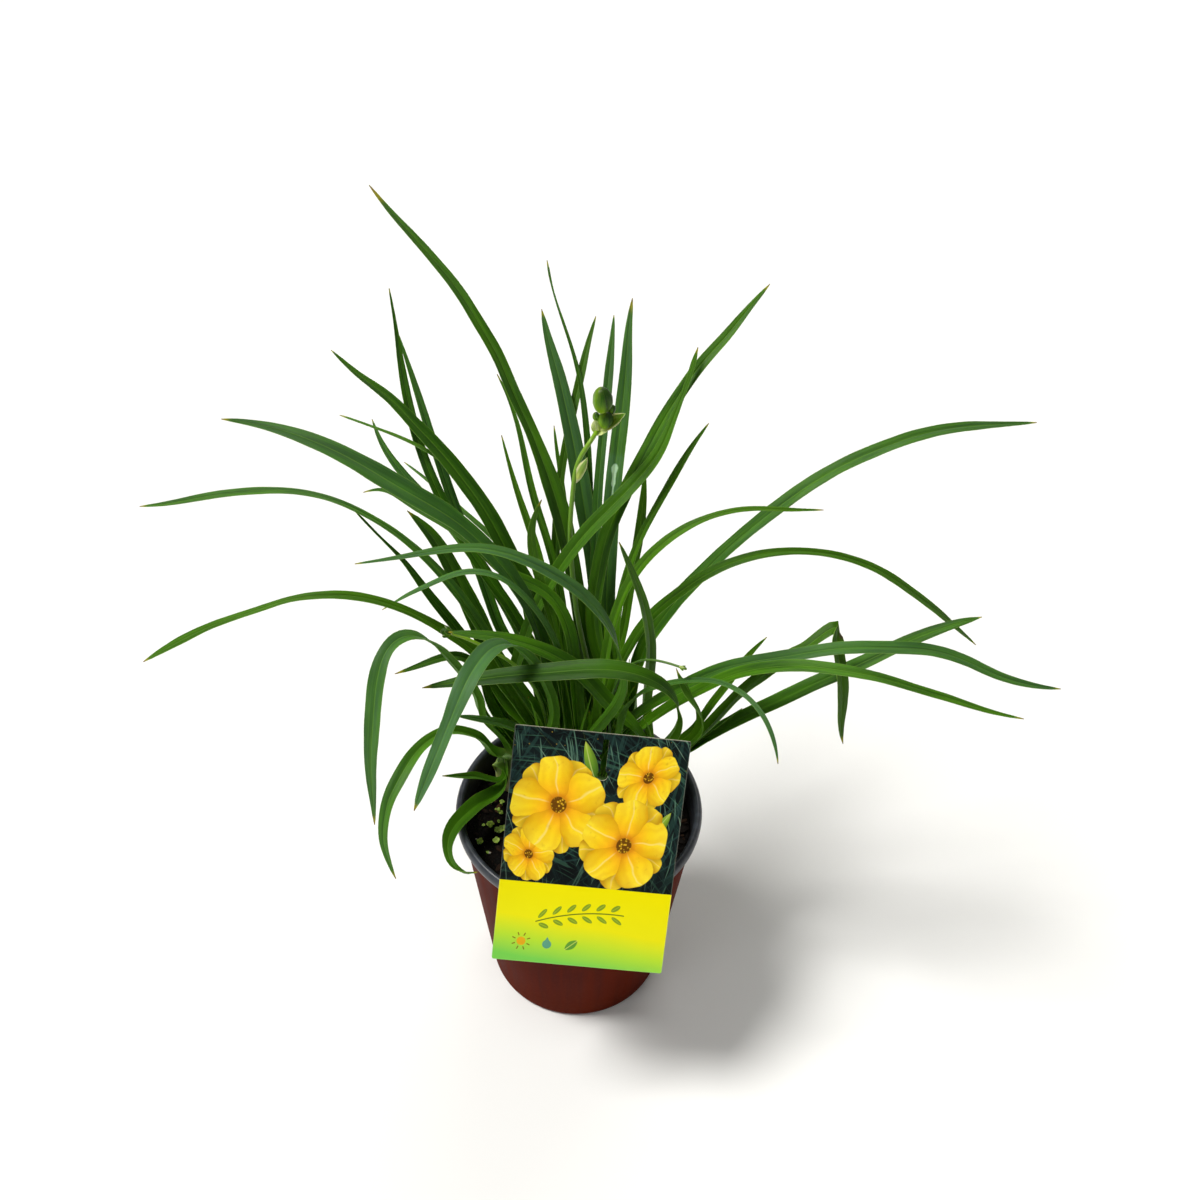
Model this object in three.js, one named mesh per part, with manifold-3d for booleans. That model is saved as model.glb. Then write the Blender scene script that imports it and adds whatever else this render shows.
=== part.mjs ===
// Daylily in its nursery pot.  Millimetres, +Z up.  Origin: centre of the pot's flat underside, on the
// surface that the pot stands on.  Front of the pot (the side with the picture tag) faces -Y.
//
// A clump daylily is a crown of several fans.  In a fan the strap leaves stand one beside the other with
// their folded bases joined in a short pale sheath; above the sheath each leaf is a blade of its own, with
// a shallow V section that opens upwards, arching out to a pointed tip.  A flowering scape rises among
// them with its bracts and buds.
import * as THREE from "three";
import { mergeVertices } from "three/addons/utils/BufferGeometryUtils.js";
import Module from "manifold-3d";

const wasm = await Module();
wasm.setup();

// ---- driving dimensions ------------------------------------------------------------------------------
const POT_HEIGHT = 166;          // underside to the top of the rolled rim
const RIM_RADIUS = 82.5;         // outside of the rolled rim (a #1, or one gallon, pot)
const BASE_RADIUS = 62.9;        // outside of the wall at the bottom
const WALL = 1.5;
const FLOOR = 1.8;
const POT_SIDES = 48;
const DRAIN_HOLES = 6;
const DRAIN_RADIUS = 46;         // of the circle the holes stand on
const DRAIN_SIZE = 9.4;
const SOIL_TOP = 146;            // 20 mm below the rim: the watering space
const SOIL_BOTTOM = FLOOR + 0.4;
const GAP = 0.4;                 // clearance between pieces that touch
const SHEATH_FOOT = 128;         // the fans' crowns reach this far down into the soil
const CUT = 3;                   // station of a leaf where its blade leaves the joined sheath
const BLADE_EDGE = 0.5;         // thickness at the edges of a leaf
const BLADE_KEEL = 0.78;         // thickness at its midrib
const TAG_WIDTH = 106;
const TAG_HEIGHT = 151;
const TAG_THICKNESS = 0.8;
const TAG_CENTRE = [8.27, -63.9, 197.05];
const TAG_TILT = -30.65;         // degrees back from upright, leaning on the rim
const TAG_YAW = 2.17;
const TAG_ROLL = 5.4;

// ---- colours -----------------------------------------------------------------------------------------
const material = (color, roughness, metalness = 0) =>
  new THREE.MeshStandardMaterial({ color, roughness, metalness });
const LEAF_GREENS = [0x3c6a22, 0x2f5a1a, 0x4c7a2e, 0x44702a, 0x35611f];

// ---- the leaves --------------------------------------------------------------------------------------
// Each row is one station along the midrib, base to tip:
// [x, y, z of the midrib, direction of the blade's width (x, y, z), half width, rise of the fold in degrees]
const FANS = {
  left_fan: { x: -47, y: 30, azimuth: 195, half: 12.8, depth: 6.4, top: 176 },
  back_left_fan: { x: -20, y: 54, azimuth: 170, half: 11.1, depth: 6.4, top: 176 },
  front_left_fan: { x: -20, y: 22, azimuth: 200, half: 14.5, depth: 6.4, top: 176 },
  back_fan: { x: 8, y: 62, azimuth: 180, half: 9.4, depth: 6.4, top: 176 },
  back_right_fan: { x: 28, y: 46, azimuth: -10, half: 9.4, depth: 6.4, top: 176 },
  middle_fan: { x: 9, y: 14, azimuth: -12, half: 17.9, depth: 6.4, top: 176 },
  right_fan: { x: 52, y: 22, azimuth: -5, half: 12.8, depth: 6.4, top: 176 },
};
const LEAVES = {
  left_fan_leaf_1: { fan: "left_fan", straight: true, root: [-37.8, 32.5, 154.1, -0.259, 0.966, -0, 3, 40], rows: [
    [-37.1, 32.6, 170, -0.229, 0.938, -0.262, 4.3, 40],
    [-39.3, 36.1, 184.4, -0.424, 0.858, -0.29, 5.23, 38],
    [-44.2, 38.7, 198.2, -0.607, 0.72, -0.336, 7.12, 34],
    [-48.3, 41.2, 211.5, -0.789, 0.579, -0.205, 4.6, 30],
    [-47.4, 46.9, 233.8, -0.865, 0.501, 0.002, 4.2, 23],
    [-41.4, 52.9, 255.5, -0.87, 0.478, 0.12, 4.1, 18],
    [-34.6, 59.5, 276.5, -0.853, 0.492, 0.176, 4.1, 16],
    [-25.2, 66.6, 296, -0.816, 0.529, 0.234, 4.3, 15],
    [-14, 74.7, 313.7, -0.774, 0.567, 0.282, 4.7, 14],
    [-0.8, 83.2, 329.6, -0.719, 0.609, 0.334, 4.9, 13],
    [14.3, 91.6, 343.9, -0.696, 0.627, 0.35, 4.8, 13],
    [29.3, 100.7, 358.1, -0.736, 0.604, 0.306, 4.5, 12],
    [42.5, 111.1, 373.2, -0.831, 0.524, 0.185, 3.7, 12],
    [50.8, 123.4, 390.4, -0.889, 0.45, 0.078, 2.3, 11],
    [58.2, 136.2, 407.8, -0.908, 0.419, 0.03, 1.6, 11],
    [61.3, 142.8, 416.6, -0.912, 0.41, 0.015, 1.68, 10],
    [64, 149.4, 425.5, -0.916, 0.4, -0, 0.6, 10],
  ] },
  left_fan_leaf_2: { fan: "left_fan", straight: true, root: [-40.9, 31.6, 155.2, 0.259, -0.966, 0, 2.76, 40], rows: [
    [-40.4, 31.8, 172, 0.228, -0.936, 0.27, 2.76, 40],
    [-42.5, 35.2, 185.6, 0.018, -0.976, 0.216, 3.03, 38],
    [-47.5, 37.5, 198.6, -0.188, -0.979, 0.073, 3.6, 35],
    [-53.4, 39.1, 210.4, -0.373, -0.927, -0.043, 3.52, 30],
    [-61.6, 41.8, 229.5, -0.515, -0.854, -0.071, 3.26, 23],
    [-68.7, 44.9, 249.4, -0.567, -0.815, -0.119, 3.17, 18],
    [-78.4, 47.1, 268.6, -0.548, -0.812, -0.199, 3.42, 15],
    [-89.9, 49, 287, -0.535, -0.816, -0.219, 3.46, 13],
    [-101.6, 51.7, 305.1, -0.543, -0.817, -0.196, 2.72, 12],
    [-113.2, 55.4, 322.9, -0.52, -0.825, -0.219, 1.67, 12],
    [-127, 58.3, 339.1, -0.471, -0.84, -0.27, 0.79, 11],
    [-134, 60.2, 347.1, -0.462, -0.843, -0.276, 0.8, 10],
    [-141.1, 62.4, 355, -0.454, -0.845, -0.282, 0.6, 10],
  ] },
  left_fan_leaf_3: { fan: "left_fan", straight: true, root: [-43.9, 30.8, 153.7, 0.259, -0.966, 0, 3, 40], rows: [
    [-43.7, 30.9, 174, 0.226, -0.965, 0.131, 3.1, 40],
    [-47.8, 32, 188.9, 0.106, -0.993, 0.047, 3.45, 38],
    [-53.5, 31.2, 203.5, -0.022, -0.998, -0.066, 4.16, 33],
    [-58.5, 30.3, 216.6, -0.181, -0.98, -0.088, 4.66, 28],
    [-62.2, 30.4, 230.2, -0.31, -0.951, -0.022, 4.75, 23],
    [-64.6, 31.7, 243.7, -0.342, -0.94, 0.002, 4.54, 19],
    [-69.5, 33, 256.4, -0.239, -0.963, -0.126, 3.83, 16],
    [-79.4, 32.1, 265.3, 0.077, -0.947, -0.313, 3.24, 14],
    [-92, 27.4, 266.9, 0.351, -0.877, -0.327, 2.69, 12],
    [-105, 22.4, 264.2, 0.375, -0.87, -0.321, 1.82, 11],
    [-111.7, 20.4, 262.5, 0.36, -0.875, -0.325, 1.2, 11],
    [-118.4, 18.8, 260.7, 0.344, -0.879, -0.329, 0.6, 10],
  ] },
  left_fan_leaf_4: { fan: "left_fan", straight: true, root: [-47, 30, 154.8, 0.259, -0.966, 0, 3, 40], rows: [
    [-47, 30, 176, 0.201, -0.969, 0.146, 4.3, 40],
    [-53.3, 31, 191.1, 0.304, -0.947, 0.107, 4.6, 38],
    [-61.4, 28.7, 205.4, 0.51, -0.852, 0.118, 4.3, 33],
    [-66.8, 26.8, 219.6, 0.761, -0.626, 0.167, 4.1, 28],
    [-67.5, 24.4, 234.7, 0.902, -0.393, 0.178, 4, 23],
    [-72, 23.9, 248.6, 0.933, -0.271, 0.236, 3.9, 20],
    [-77.4, 22.5, 261.8, 0.916, -0.24, 0.321, 3.9, 17],
    [-83.4, 20.6, 274.1, 0.873, -0.309, 0.376, 3.9, 16],
    [-89.5, 18.7, 286.1, 0.749, -0.54, 0.384, 4, 15],
    [-97.9, 15.8, 296.1, 0.55, -0.819, 0.163, 4.5, 14],
    [-108.5, 9.9, 301.2, 0.669, -0.725, -0.163, 4.9, 14],
    [-116.5, -0.7, 299, 0.896, -0.427, -0.121, 4.45, 13],
    [-120.1, -12.1, 291.6, 0.96, -0.281, 0.012, 5.17, 13],
    [-121.5, -21.9, 281.6, 0.965, -0.254, 0.07, 5.33, 13],
    [-122.4, -29.9, 269.8, 0.96, -0.269, 0.075, 5.14, 12],
    [-123.5, -36.2, 256.9, 0.956, -0.286, 0.061, 4.68, 12],
    [-124.2, -41.5, 243.6, 0.956, -0.286, 0.067, 4.01, 11],
    [-124.2, -46, 229.9, 0.957, -0.277, 0.088, 3.1, 11],
    [-124.1, -50, 216.1, 0.958, -0.268, 0.105, 1.8, 10],
    [-124.1, -51.9, 209.2, 0.958, -0.266, 0.108, 1.19, 10],
    [-124.1, -53.8, 202.2, 0.958, -0.263, 0.111, 0.6, 10],
  ] },
  left_fan_leaf_5: { fan: "left_fan", root: [-50.1, 29.2, 153.4, 0.259, -0.966, 0, 3, 40], rows: [
    [-50.3, 29.1, 174, 0.349, -0.933, -0.085, 4.3, 40],
    [-59, 25.1, 182.5, 0.274, -0.962, 0.019, 4.84, 38],
    [-66.6, 24.9, 195.2, 0.256, -0.965, 0.056, 4.6, 35],
    [-75.9, 21.9, 205.2, 0.354, -0.933, -0.058, 4.2, 30],
    [-85.4, 16.8, 212.4, 0.518, -0.837, -0.177, 3.9, 25],
    [-94.7, 8.3, 216, 0.69, -0.683, -0.239, 3.8, 21],
    [-102.5, -2.2, 216.7, 0.81, -0.538, -0.232, 4.1, 18],
    [-108.5, -13.6, 214.8, 0.89, -0.416, -0.185, 4.6, 16],
    [-113.6, -24.8, 210.6, 0.93, -0.345, -0.129, 4.79, 14],
    [-118.3, -35.2, 204.4, 0.961, -0.27, -0.053, 4.19, 13],
    [-120.5, -45, 196.1, 0.982, -0.179, 0.06, 3.47, 12],
    [-120.3, -53.7, 186.5, 0.974, -0.075, 0.212, 2.75, 11],
    [-117, -60.9, 176.3, 0.928, 0.013, 0.373, 1.75, 11],
    [-114.8, -64, 171, 0.914, 0.025, 0.406, 1.15, 10],
    [-112.3, -66.8, 165.6, 0.898, 0.036, 0.438, 0.6, 10],
  ] },
  left_fan_leaf_6: { fan: "left_fan", young: true, root: [-53.1, 28.4, 154.5, 0.259, -0.966, 0, 2.27, 40], rows: [
    [-53.6, 28.2, 172, 0.868, 0.071, 0.492, 2.27, 40],
    [-51.7, 13.9, 170.9, 0.965, -0.237, 0.109, 2.34, 37],
    [-59.4, 6.6, 176.2, 0.565, -0.825, -0.011, 2.92, 33],
    [-68.9, 1.9, 185.2, 0.432, -0.895, -0.107, 3.07, 28],
    [-73.9, -2.1, 189.7, 0.486, -0.843, -0.23, 2.5, 24],
    [-78.8, -6.3, 194.4, 0.488, -0.834, -0.258, 1.93, 21],
    [-83.4, -10.5, 199.2, 0.488, -0.828, -0.275, 1.13, 18],
    [-87.9, -14.9, 204.1, 0.484, -0.827, -0.287, 0.6, 15],
  ] },
  left_fan_leaf_7: { fan: "left_fan", root: [-56.2, 27.5, 153, 0.259, -0.966, 0, 3, 40], rows: [
    [-56.9, 27.4, 170, -0.859, -0.349, 0.375, 4.3, 40],
    [-51.6, 13.8, 169.4, 0.523, -0.019, 0.852, 5.08, 38],
    [-56.8, 1.1, 169.4, 0.833, -0.551, -0.045, 5.2, 34],
    [-66.4, -8.8, 171.3, 0.742, -0.659, -0.119, 5.7, 29],
    [-72.9, -17.5, 172, 0.809, -0.566, -0.16, 5.61, 24],
    [-78.6, -26.7, 172.5, 0.882, -0.446, -0.151, 5.3, 21],
    [-82.2, -36.9, 172.2, 0.978, -0.184, -0.102, 4.51, 18],
    [-82.2, -47.5, 171.3, 0.979, 0.199, -0.041, 3, 15],
    [-78.1, -57.3, 170.6, 0.793, 0.597, -0.12, 2.3, 13],
    [-70.1, -64.1, 171.9, 0.488, 0.544, -0.683, 2.1, 12],
    [-65.5, -66, 173.6, 0.452, 0.194, -0.871, 1.4, 11],
    [-60.5, -66.8, 176.1, 0.344, -0.187, -0.92, 0.6, 10],
  ] },
  back_left_fan_leaf_1: { fan: "back_left_fan", straight: true, root: [-12.2, 52.6, 154.1, -0.174, -0.985, 0, 3, 40], rows: [
    [-11.6, 52.5, 171, -0.163, -0.962, 0.218, 3.17, 40],
    [-10.6, 55.6, 185.5, -0.492, -0.844, 0.213, 3.51, 38],
    [-10.4, 59.1, 200, -0.787, -0.6, 0.14, 3.55, 34],
    [-11.1, 62.7, 213.3, -0.94, -0.341, -0, 3.18, 30],
    [-14, 69.1, 233.5, -0.98, -0.171, -0.098, 3.06, 23],
    [-17.5, 76.6, 253.2, -0.989, -0.088, -0.122, 3.03, 18],
    [-20.3, 85.4, 272.5, -0.995, -0.041, -0.086, 3.01, 16],
    [-21.5, 95.7, 291.2, -0.999, -0.003, -0.032, 2.99, 15],
    [-21.5, 107.2, 309.1, -1, 0.021, 0.004, 2.98, 14],
    [-20.9, 119.9, 326.2, -0.999, 0.041, 0.032, 2.9, 13],
    [-19.4, 133.5, 342.4, -0.994, 0.076, 0.076, 2.72, 13],
    [-16.4, 147.8, 357.8, -0.987, 0.109, 0.114, 2.68, 12],
    [-13, 162.6, 372.6, -0.984, 0.124, 0.129, 2.88, 12],
    [-9.3, 178, 386.8, -0.983, 0.128, 0.133, 2.83, 11],
    [-5.4, 193.8, 400.6, -0.982, 0.132, 0.137, 1.95, 11],
    [-3.2, 201.7, 407.4, -0.981, 0.135, 0.14, 1.29, 10],
    [-0.6, 209.6, 414.1, -0.98, 0.138, 0.142, 0.6, 10],
  ] },
  back_left_fan_leaf_2: { fan: "back_left_fan", straight: true, root: [-15.3, 53.2, 155.2, -0.174, -0.985, 0, 2.82, 40], rows: [
    [-15, 53.1, 173, -0.181, -0.979, 0.098, 2.82, 40],
    [-16.2, 55, 189.5, -0.473, -0.877, 0.084, 3.18, 38],
    [-16.6, 57.1, 205.6, -0.73, -0.675, 0.101, 3.33, 33],
    [-16.4, 59.8, 220, -0.883, -0.445, 0.152, 3.05, 28],
    [-15.1, 66, 240.5, -0.944, -0.298, 0.139, 2.83, 22],
    [-14.8, 73.5, 260.1, -0.963, -0.266, 0.049, 2.73, 18],
    [-17.5, 81.9, 279.1, -0.952, -0.299, -0.057, 2.68, 15],
    [-22.7, 91.2, 297.3, -0.935, -0.335, -0.121, 2.65, 14],
    [-29, 101.4, 314.6, -0.924, -0.354, -0.146, 2.6, 13],
    [-36, 112.6, 331.2, -0.931, -0.343, -0.125, 2.51, 13],
    [-41.7, 125.1, 347.6, -0.948, -0.308, -0.077, 2.18, 12],
    [-46.8, 138.5, 363.6, -0.948, -0.308, -0.08, 1.7, 11],
    [-53.7, 151.8, 378.9, -0.912, -0.375, -0.164, 1.11, 11],
    [-58.2, 158.3, 386.1, -0.896, -0.398, -0.195, 0.8, 10],
    [-63.3, 164.7, 393.1, -0.879, -0.421, -0.225, 0.6, 10],
  ] },
  back_left_fan_leaf_3: { fan: "back_left_fan", straight: true, root: [-18.4, 53.7, 153.7, -0.174, -0.985, 0, 3, 40], rows: [
    [-18.3, 53.7, 175, -0.2, -0.921, 0.335, 3.87, 40],
    [-18.9, 58.6, 188, -0.397, -0.874, 0.279, 4.24, 39],
    [-21.4, 63.4, 200.9, -0.576, -0.804, 0.146, 4.64, 35],
    [-25.4, 67.7, 212.9, -0.685, -0.728, -0.035, 4.31, 31],
    [-33.8, 73.6, 231.5, -0.733, -0.661, -0.157, 4.02, 24],
    [-43.7, 79.3, 249.9, -0.741, -0.631, -0.229, 3.87, 19],
    [-54.8, 85, 267.9, -0.723, -0.632, -0.279, 3.79, 16],
    [-67.1, 90.5, 285.1, -0.72, -0.632, -0.285, 3.75, 15],
    [-78.9, 97, 302.2, -0.75, -0.615, -0.242, 3.73, 14],
    [-89.6, 104.5, 319.4, -0.783, -0.592, -0.192, 3.69, 14],
    [-99.3, 112.8, 336.8, -0.814, -0.564, -0.138, 3.53, 13],
    [-107.7, 121.8, 354.5, -0.846, -0.529, -0.07, 3.37, 13],
    [-114.1, 131.2, 372.7, -0.87, -0.493, -0.001, 3.29, 12],
    [-118.9, 140.7, 391.4, -0.883, -0.467, 0.05, 2.92, 12],
    [-122.5, 150.4, 410.1, -0.889, -0.452, 0.08, 2.1, 11],
    [-125.6, 160.3, 428.8, -0.887, -0.458, 0.068, 1.12, 11],
    [-127.3, 165.2, 438.1, -0.885, -0.463, 0.056, 0.8, 10],
    [-129.2, 170.1, 447.4, -0.883, -0.468, 0.045, 0.6, 10],
  ] },
  back_left_fan_leaf_4: { fan: "back_left_fan", straight: true, root: [-21.6, 54.3, 154.8, -0.174, -0.985, 0, 3, 40], rows: [
    [-21.7, 54.3, 175, -0.191, -0.923, 0.334, 3.87, 40],
    [-21.9, 59, 187.8, -0.385, -0.885, 0.261, 4.23, 39],
    [-25.7, 63.4, 199.8, -0.542, -0.839, 0.053, 4.43, 35],
    [-31.6, 66.7, 210.9, -0.604, -0.775, -0.186, 3.69, 31],
    [-44.7, 71.1, 229.6, -0.677, -0.686, -0.266, 3.88, 24],
    [-57.3, 77.4, 248.6, -0.788, -0.587, -0.185, 3.83, 18],
    [-65.7, 87.1, 268.3, -0.855, -0.511, -0.093, 3.8, 16],
    [-73.8, 97.9, 287.3, -0.86, -0.502, -0.095, 3.77, 15],
    [-82.7, 109.1, 305.5, -0.86, -0.501, -0.097, 3.73, 14],
    [-91.3, 120.9, 323.5, -0.872, -0.484, -0.071, 3.55, 13],
    [-99.2, 133.3, 341.2, -0.881, -0.47, -0.051, 3.26, 12],
    [-107, 146, 358.8, -0.886, -0.462, -0.04, 2.91, 12],
    [-114.4, 158.9, 376.3, -0.887, -0.461, -0.04, 2.42, 11],
    [-122.1, 171.9, 393.5, -0.88, -0.471, -0.055, 1.54, 11],
    [-126, 178.4, 402.1, -0.879, -0.473, -0.06, 1.02, 10],
    [-130.1, 184.9, 410.6, -0.877, -0.476, -0.065, 0.6, 10],
  ] },
  back_left_fan_leaf_5: { fan: "back_left_fan", straight: true, root: [-24.7, 54.8, 153.4, -0.174, -0.985, 0, 3, 40], rows: [
    [-25, 54.9, 173, -0.237, -0.893, 0.381, 4.23, 40],
    [-26.6, 60.6, 185.5, -0.417, -0.847, 0.33, 4.63, 38],
    [-29.4, 66.7, 197.8, -0.585, -0.779, 0.226, 5.12, 35],
    [-32.9, 72.3, 209.5, -0.696, -0.715, 0.064, 4.87, 30],
    [-39.6, 79.4, 228.2, -0.748, -0.66, -0.061, 4.54, 23],
    [-48.2, 86.2, 246.8, -0.755, -0.64, -0.146, 4.34, 18],
    [-58.4, 93.4, 264.2, -0.74, -0.644, -0.193, 4.26, 16],
    [-70, 101.2, 280.3, -0.72, -0.658, -0.22, 4.23, 14],
    [-82.7, 109.7, 294.9, -0.7, -0.673, -0.238, 4.08, 13],
    [-96.3, 118.6, 308.3, -0.67, -0.694, -0.265, 3.72, 13],
    [-111.1, 127.4, 320.3, -0.652, -0.707, -0.274, 3.34, 12],
    [-125.8, 136.6, 332, -0.697, -0.68, -0.228, 2.99, 11],
    [-138.5, 147.3, 344.7, -0.79, -0.601, -0.119, 2.09, 11],
    [-143.5, 153.4, 351.5, -0.814, -0.575, -0.081, 1.38, 10],
    [-147.5, 159.9, 358.7, -0.835, -0.548, -0.043, 0.6, 10],
  ] },
  back_left_fan_leaf_6: { fan: "back_left_fan", straight: true, root: [-27.8, 55.4, 154.5, -0.174, -0.985, 0, 2, 40], rows: [
    [-28.4, 55.5, 171, -0.192, -0.974, 0.12, 2, 40],
    [-30.7, 57.9, 187.2, -0.371, -0.925, 0.081, 2.18, 38],
    [-33, 60.2, 203.1, -0.546, -0.836, 0.057, 2.24, 33],
    [-34.9, 62.7, 217.2, -0.69, -0.719, 0.088, 1.88, 29],
    [-36.8, 68.1, 238.3, -0.772, -0.629, 0.095, 1.99, 22],
    [-39.1, 74.2, 258.6, -0.803, -0.591, 0.068, 1.89, 18],
    [-42.8, 80.9, 278.7, -0.802, -0.597, 0.019, 1.83, 16],
    [-48.4, 88, 298.5, -0.779, -0.625, -0.047, 1.79, 14],
    [-56.7, 95.3, 317.9, -0.734, -0.666, -0.13, 1.74, 14],
    [-68.4, 102.7, 335.6, -0.661, -0.717, -0.222, 1.63, 13],
    [-83.8, 110.3, 350.1, -0.573, -0.764, -0.297, 1.47, 12],
    [-101.7, 117.9, 360.7, -0.474, -0.806, -0.354, 1.32, 12],
    [-121.7, 125, 367.1, -0.385, -0.838, -0.388, 1.21, 11],
    [-142.3, 131.8, 370.9, -0.347, -0.849, -0.398, 0.86, 11],
    [-152.6, 135.3, 372.5, -0.344, -0.85, -0.4, 0.8, 10],
    [-163, 138.7, 373.9, -0.341, -0.85, -0.402, 0.6, 10],
  ] },
  front_left_fan_leaf_1: { fan: "front_left_fan", straight: true, root: [-9.6, 25.8, 153, 0.342, -0.94, 0, 2.75, 40], rows: [
    [-8.8, 26.1, 169, 0.345, -0.921, 0.182, 2.75, 40],
    [-9.1, 28.9, 183.8, 0.003, -0.983, 0.183, 3.05, 38],
    [-9.5, 31.6, 198.5, -0.438, -0.888, 0.14, 3.66, 34],
    [-10.2, 34, 212.1, -0.762, -0.646, 0.057, 3.22, 29],
    [-12.1, 37.8, 234.8, -0.892, -0.452, -0.014, 2.8, 22],
    [-15, 42, 256.9, -0.926, -0.369, -0.072, 2.65, 17],
    [-19.3, 47.5, 277.6, -0.926, -0.358, -0.123, 2.56, 14],
    [-25.2, 54.4, 297.1, -0.917, -0.365, -0.16, 2.7, 13],
    [-31.5, 60, 317.8, -0.933, -0.338, -0.12, 3.12, 12],
    [-34.5, 63.5, 341.6, -0.959, -0.268, 0.094, 2.5, 11],
    [-32.5, 64.7, 353.6, -0.956, -0.235, 0.174, 1.65, 10],
    [-28.2, 65.5, 365.5, -0.946, -0.201, 0.254, 0.6, 10],
  ] },
  front_left_fan_leaf_2: { fan: "front_left_fan", straight: true, root: [-12.6, 24.7, 154.1, 0.342, -0.94, 0, 2.4, 40], rows: [
    [-12, 24.9, 171, 0.385, -0.866, 0.32, 2.4, 40],
    [-11, 30.2, 184.3, 0.05, -0.926, 0.373, 2.64, 38],
    [-10.9, 35.6, 197.5, -0.399, -0.854, 0.334, 3.15, 35],
    [-11.7, 40.6, 209.8, -0.737, -0.662, 0.138, 2.86, 30],
    [-15, 46.9, 229.3, -0.875, -0.484, -0.008, 2.48, 23],
    [-19.1, 53.3, 248.9, -0.922, -0.384, -0.056, 2.37, 18],
    [-23, 60.3, 268.5, -0.941, -0.336, -0.038, 2.33, 15],
    [-26.1, 68.1, 287.9, -0.945, -0.325, -0.03, 2.45, 14],
    [-30, 76.1, 307.4, -0.933, -0.35, -0.082, 2.71, 13],
    [-36.2, 83.8, 326.5, -0.914, -0.38, -0.141, 2.58, 12],
    [-43.4, 91.8, 345.1, -0.91, -0.388, -0.148, 2.03, 11],
    [-49.9, 100.5, 363.4, -0.908, -0.391, -0.15, 1.3, 11],
    [-52.9, 105, 372.5, -0.905, -0.395, -0.156, 0.86, 10],
    [-55.7, 109.8, 381.6, -0.902, -0.399, -0.162, 0.6, 10],
  ] },
  front_left_fan_leaf_3: { fan: "front_left_fan", straight: true, root: [-15.5, 23.6, 155.2, 0.342, -0.94, 0, 3, 40], rows: [
    [-15.2, 23.7, 173, 0.327, -0.92, 0.217, 4.3, 40],
    [-16.8, 26.7, 187.9, 0.105, -0.975, 0.196, 5.45, 38],
    [-18.4, 29.4, 202.9, -0.191, -0.968, 0.161, 5.2, 34],
    [-19.9, 32.1, 216.5, -0.469, -0.871, 0.144, 5, 30],
    [-21.8, 37, 237.9, -0.629, -0.771, 0.096, 5, 23],
    [-24.8, 41.4, 259.5, -0.677, -0.736, -0.013, 5, 18],
    [-29.9, 43.6, 282.4, -0.654, -0.744, -0.136, 5, 16],
    [-37.6, 43.9, 305.6, -0.611, -0.766, -0.198, 5, 15],
    [-48.5, 45.8, 325.3, -0.573, -0.789, -0.221, 5.75, 14],
    [-62.1, 49.2, 341.8, -0.513, -0.815, -0.268, 5.4, 14],
    [-78.1, 53, 356.1, -0.429, -0.842, -0.326, 5.92, 13],
    [-96.8, 56.8, 367.2, -0.378, -0.857, -0.35, 6.71, 13],
    [-116.5, 62.1, 376.5, -0.39, -0.854, -0.343, 6.72, 13],
    [-136.3, 69.2, 384.6, -0.394, -0.852, -0.345, 5.99, 12],
    [-156.8, 76.4, 390.7, -0.357, -0.861, -0.363, 5.23, 12],
    [-178, 83.4, 394.5, -0.292, -0.875, -0.386, 4.12, 11],
    [-199.9, 89.3, 396.1, -0.219, -0.889, -0.403, 2.41, 11],
    [-211, 91.8, 396.1, -0.202, -0.89, -0.41, 1.59, 10],
    [-222.2, 94, 395.7, -0.186, -0.89, -0.416, 0.6, 10],
  ] },
  front_left_fan_leaf_4: { fan: "front_left_fan", straight: true, root: [-18.5, 22.5, 153.7, 0.342, -0.94, 0, 3, 40], rows: [
    [-18.4, 22.6, 175, 0.315, -0.906, 0.282, 3.75, 40],
    [-20.5, 26.3, 189.4, 0.112, -0.962, 0.251, 4.16, 38],
    [-24.9, 29.2, 203.4, -0.133, -0.982, 0.132, 4.99, 34],
    [-30.4, 31.3, 216.2, -0.332, -0.942, -0.035, 5.07, 30],
    [-40.7, 33.6, 235.7, -0.452, -0.881, -0.14, 4.36, 23],
    [-51.5, 35.9, 255.1, -0.523, -0.838, -0.156, 4.11, 19],
    [-61.2, 39.2, 274.7, -0.557, -0.819, -0.14, 4.01, 16],
    [-71.5, 42.9, 294, -0.545, -0.823, -0.162, 3.77, 15],
    [-83.8, 46.9, 312.2, -0.509, -0.837, -0.202, 3.28, 15],
    [-98, 50.7, 328.9, -0.466, -0.852, -0.24, 2.67, 14],
    [-114.4, 54.6, 343.4, -0.412, -0.867, -0.281, 2.18, 14],
    [-133, 58.7, 354.5, -0.358, -0.879, -0.315, 1.95, 13],
    [-153.6, 63.7, 361.2, -0.286, -0.891, -0.353, 1.87, 13],
    [-175.5, 68.2, 362.7, -0.174, -0.906, -0.386, 2.06, 12],
    [-197.4, 71.6, 360.2, -0.075, -0.913, -0.402, 2.5, 12],
    [-219, 74.5, 355.5, -0.009, -0.913, -0.409, 2.66, 11],
    [-240.1, 77.2, 349.2, 0.029, -0.912, -0.409, 2.52, 11],
    [-261.1, 79.8, 342.2, 0.021, -0.909, -0.415, 1.75, 10],
    [-271.6, 81.5, 339.1, 0.012, -0.909, -0.417, 1.15, 10],
    [-282.2, 83.4, 336.1, 0.003, -0.908, -0.419, 0.6, 10],
  ] },
  side_scape: { fan: "front_left_fan", stem: true, straight: true, root: [-21.5, 21.5, 154.8, 0.342, -0.94, 0, 2, 40], rows: [
    [-21.6, 21.4, 175, 0.342, -0.916, 0.209, 1.3, 40],
    [-22.1, 24.4, 188.9, 0.276, -0.942, 0.192, 1.27, 38],
    [-23, 26.7, 203, 0.1, -0.983, 0.153, 1.25, 34],
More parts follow.
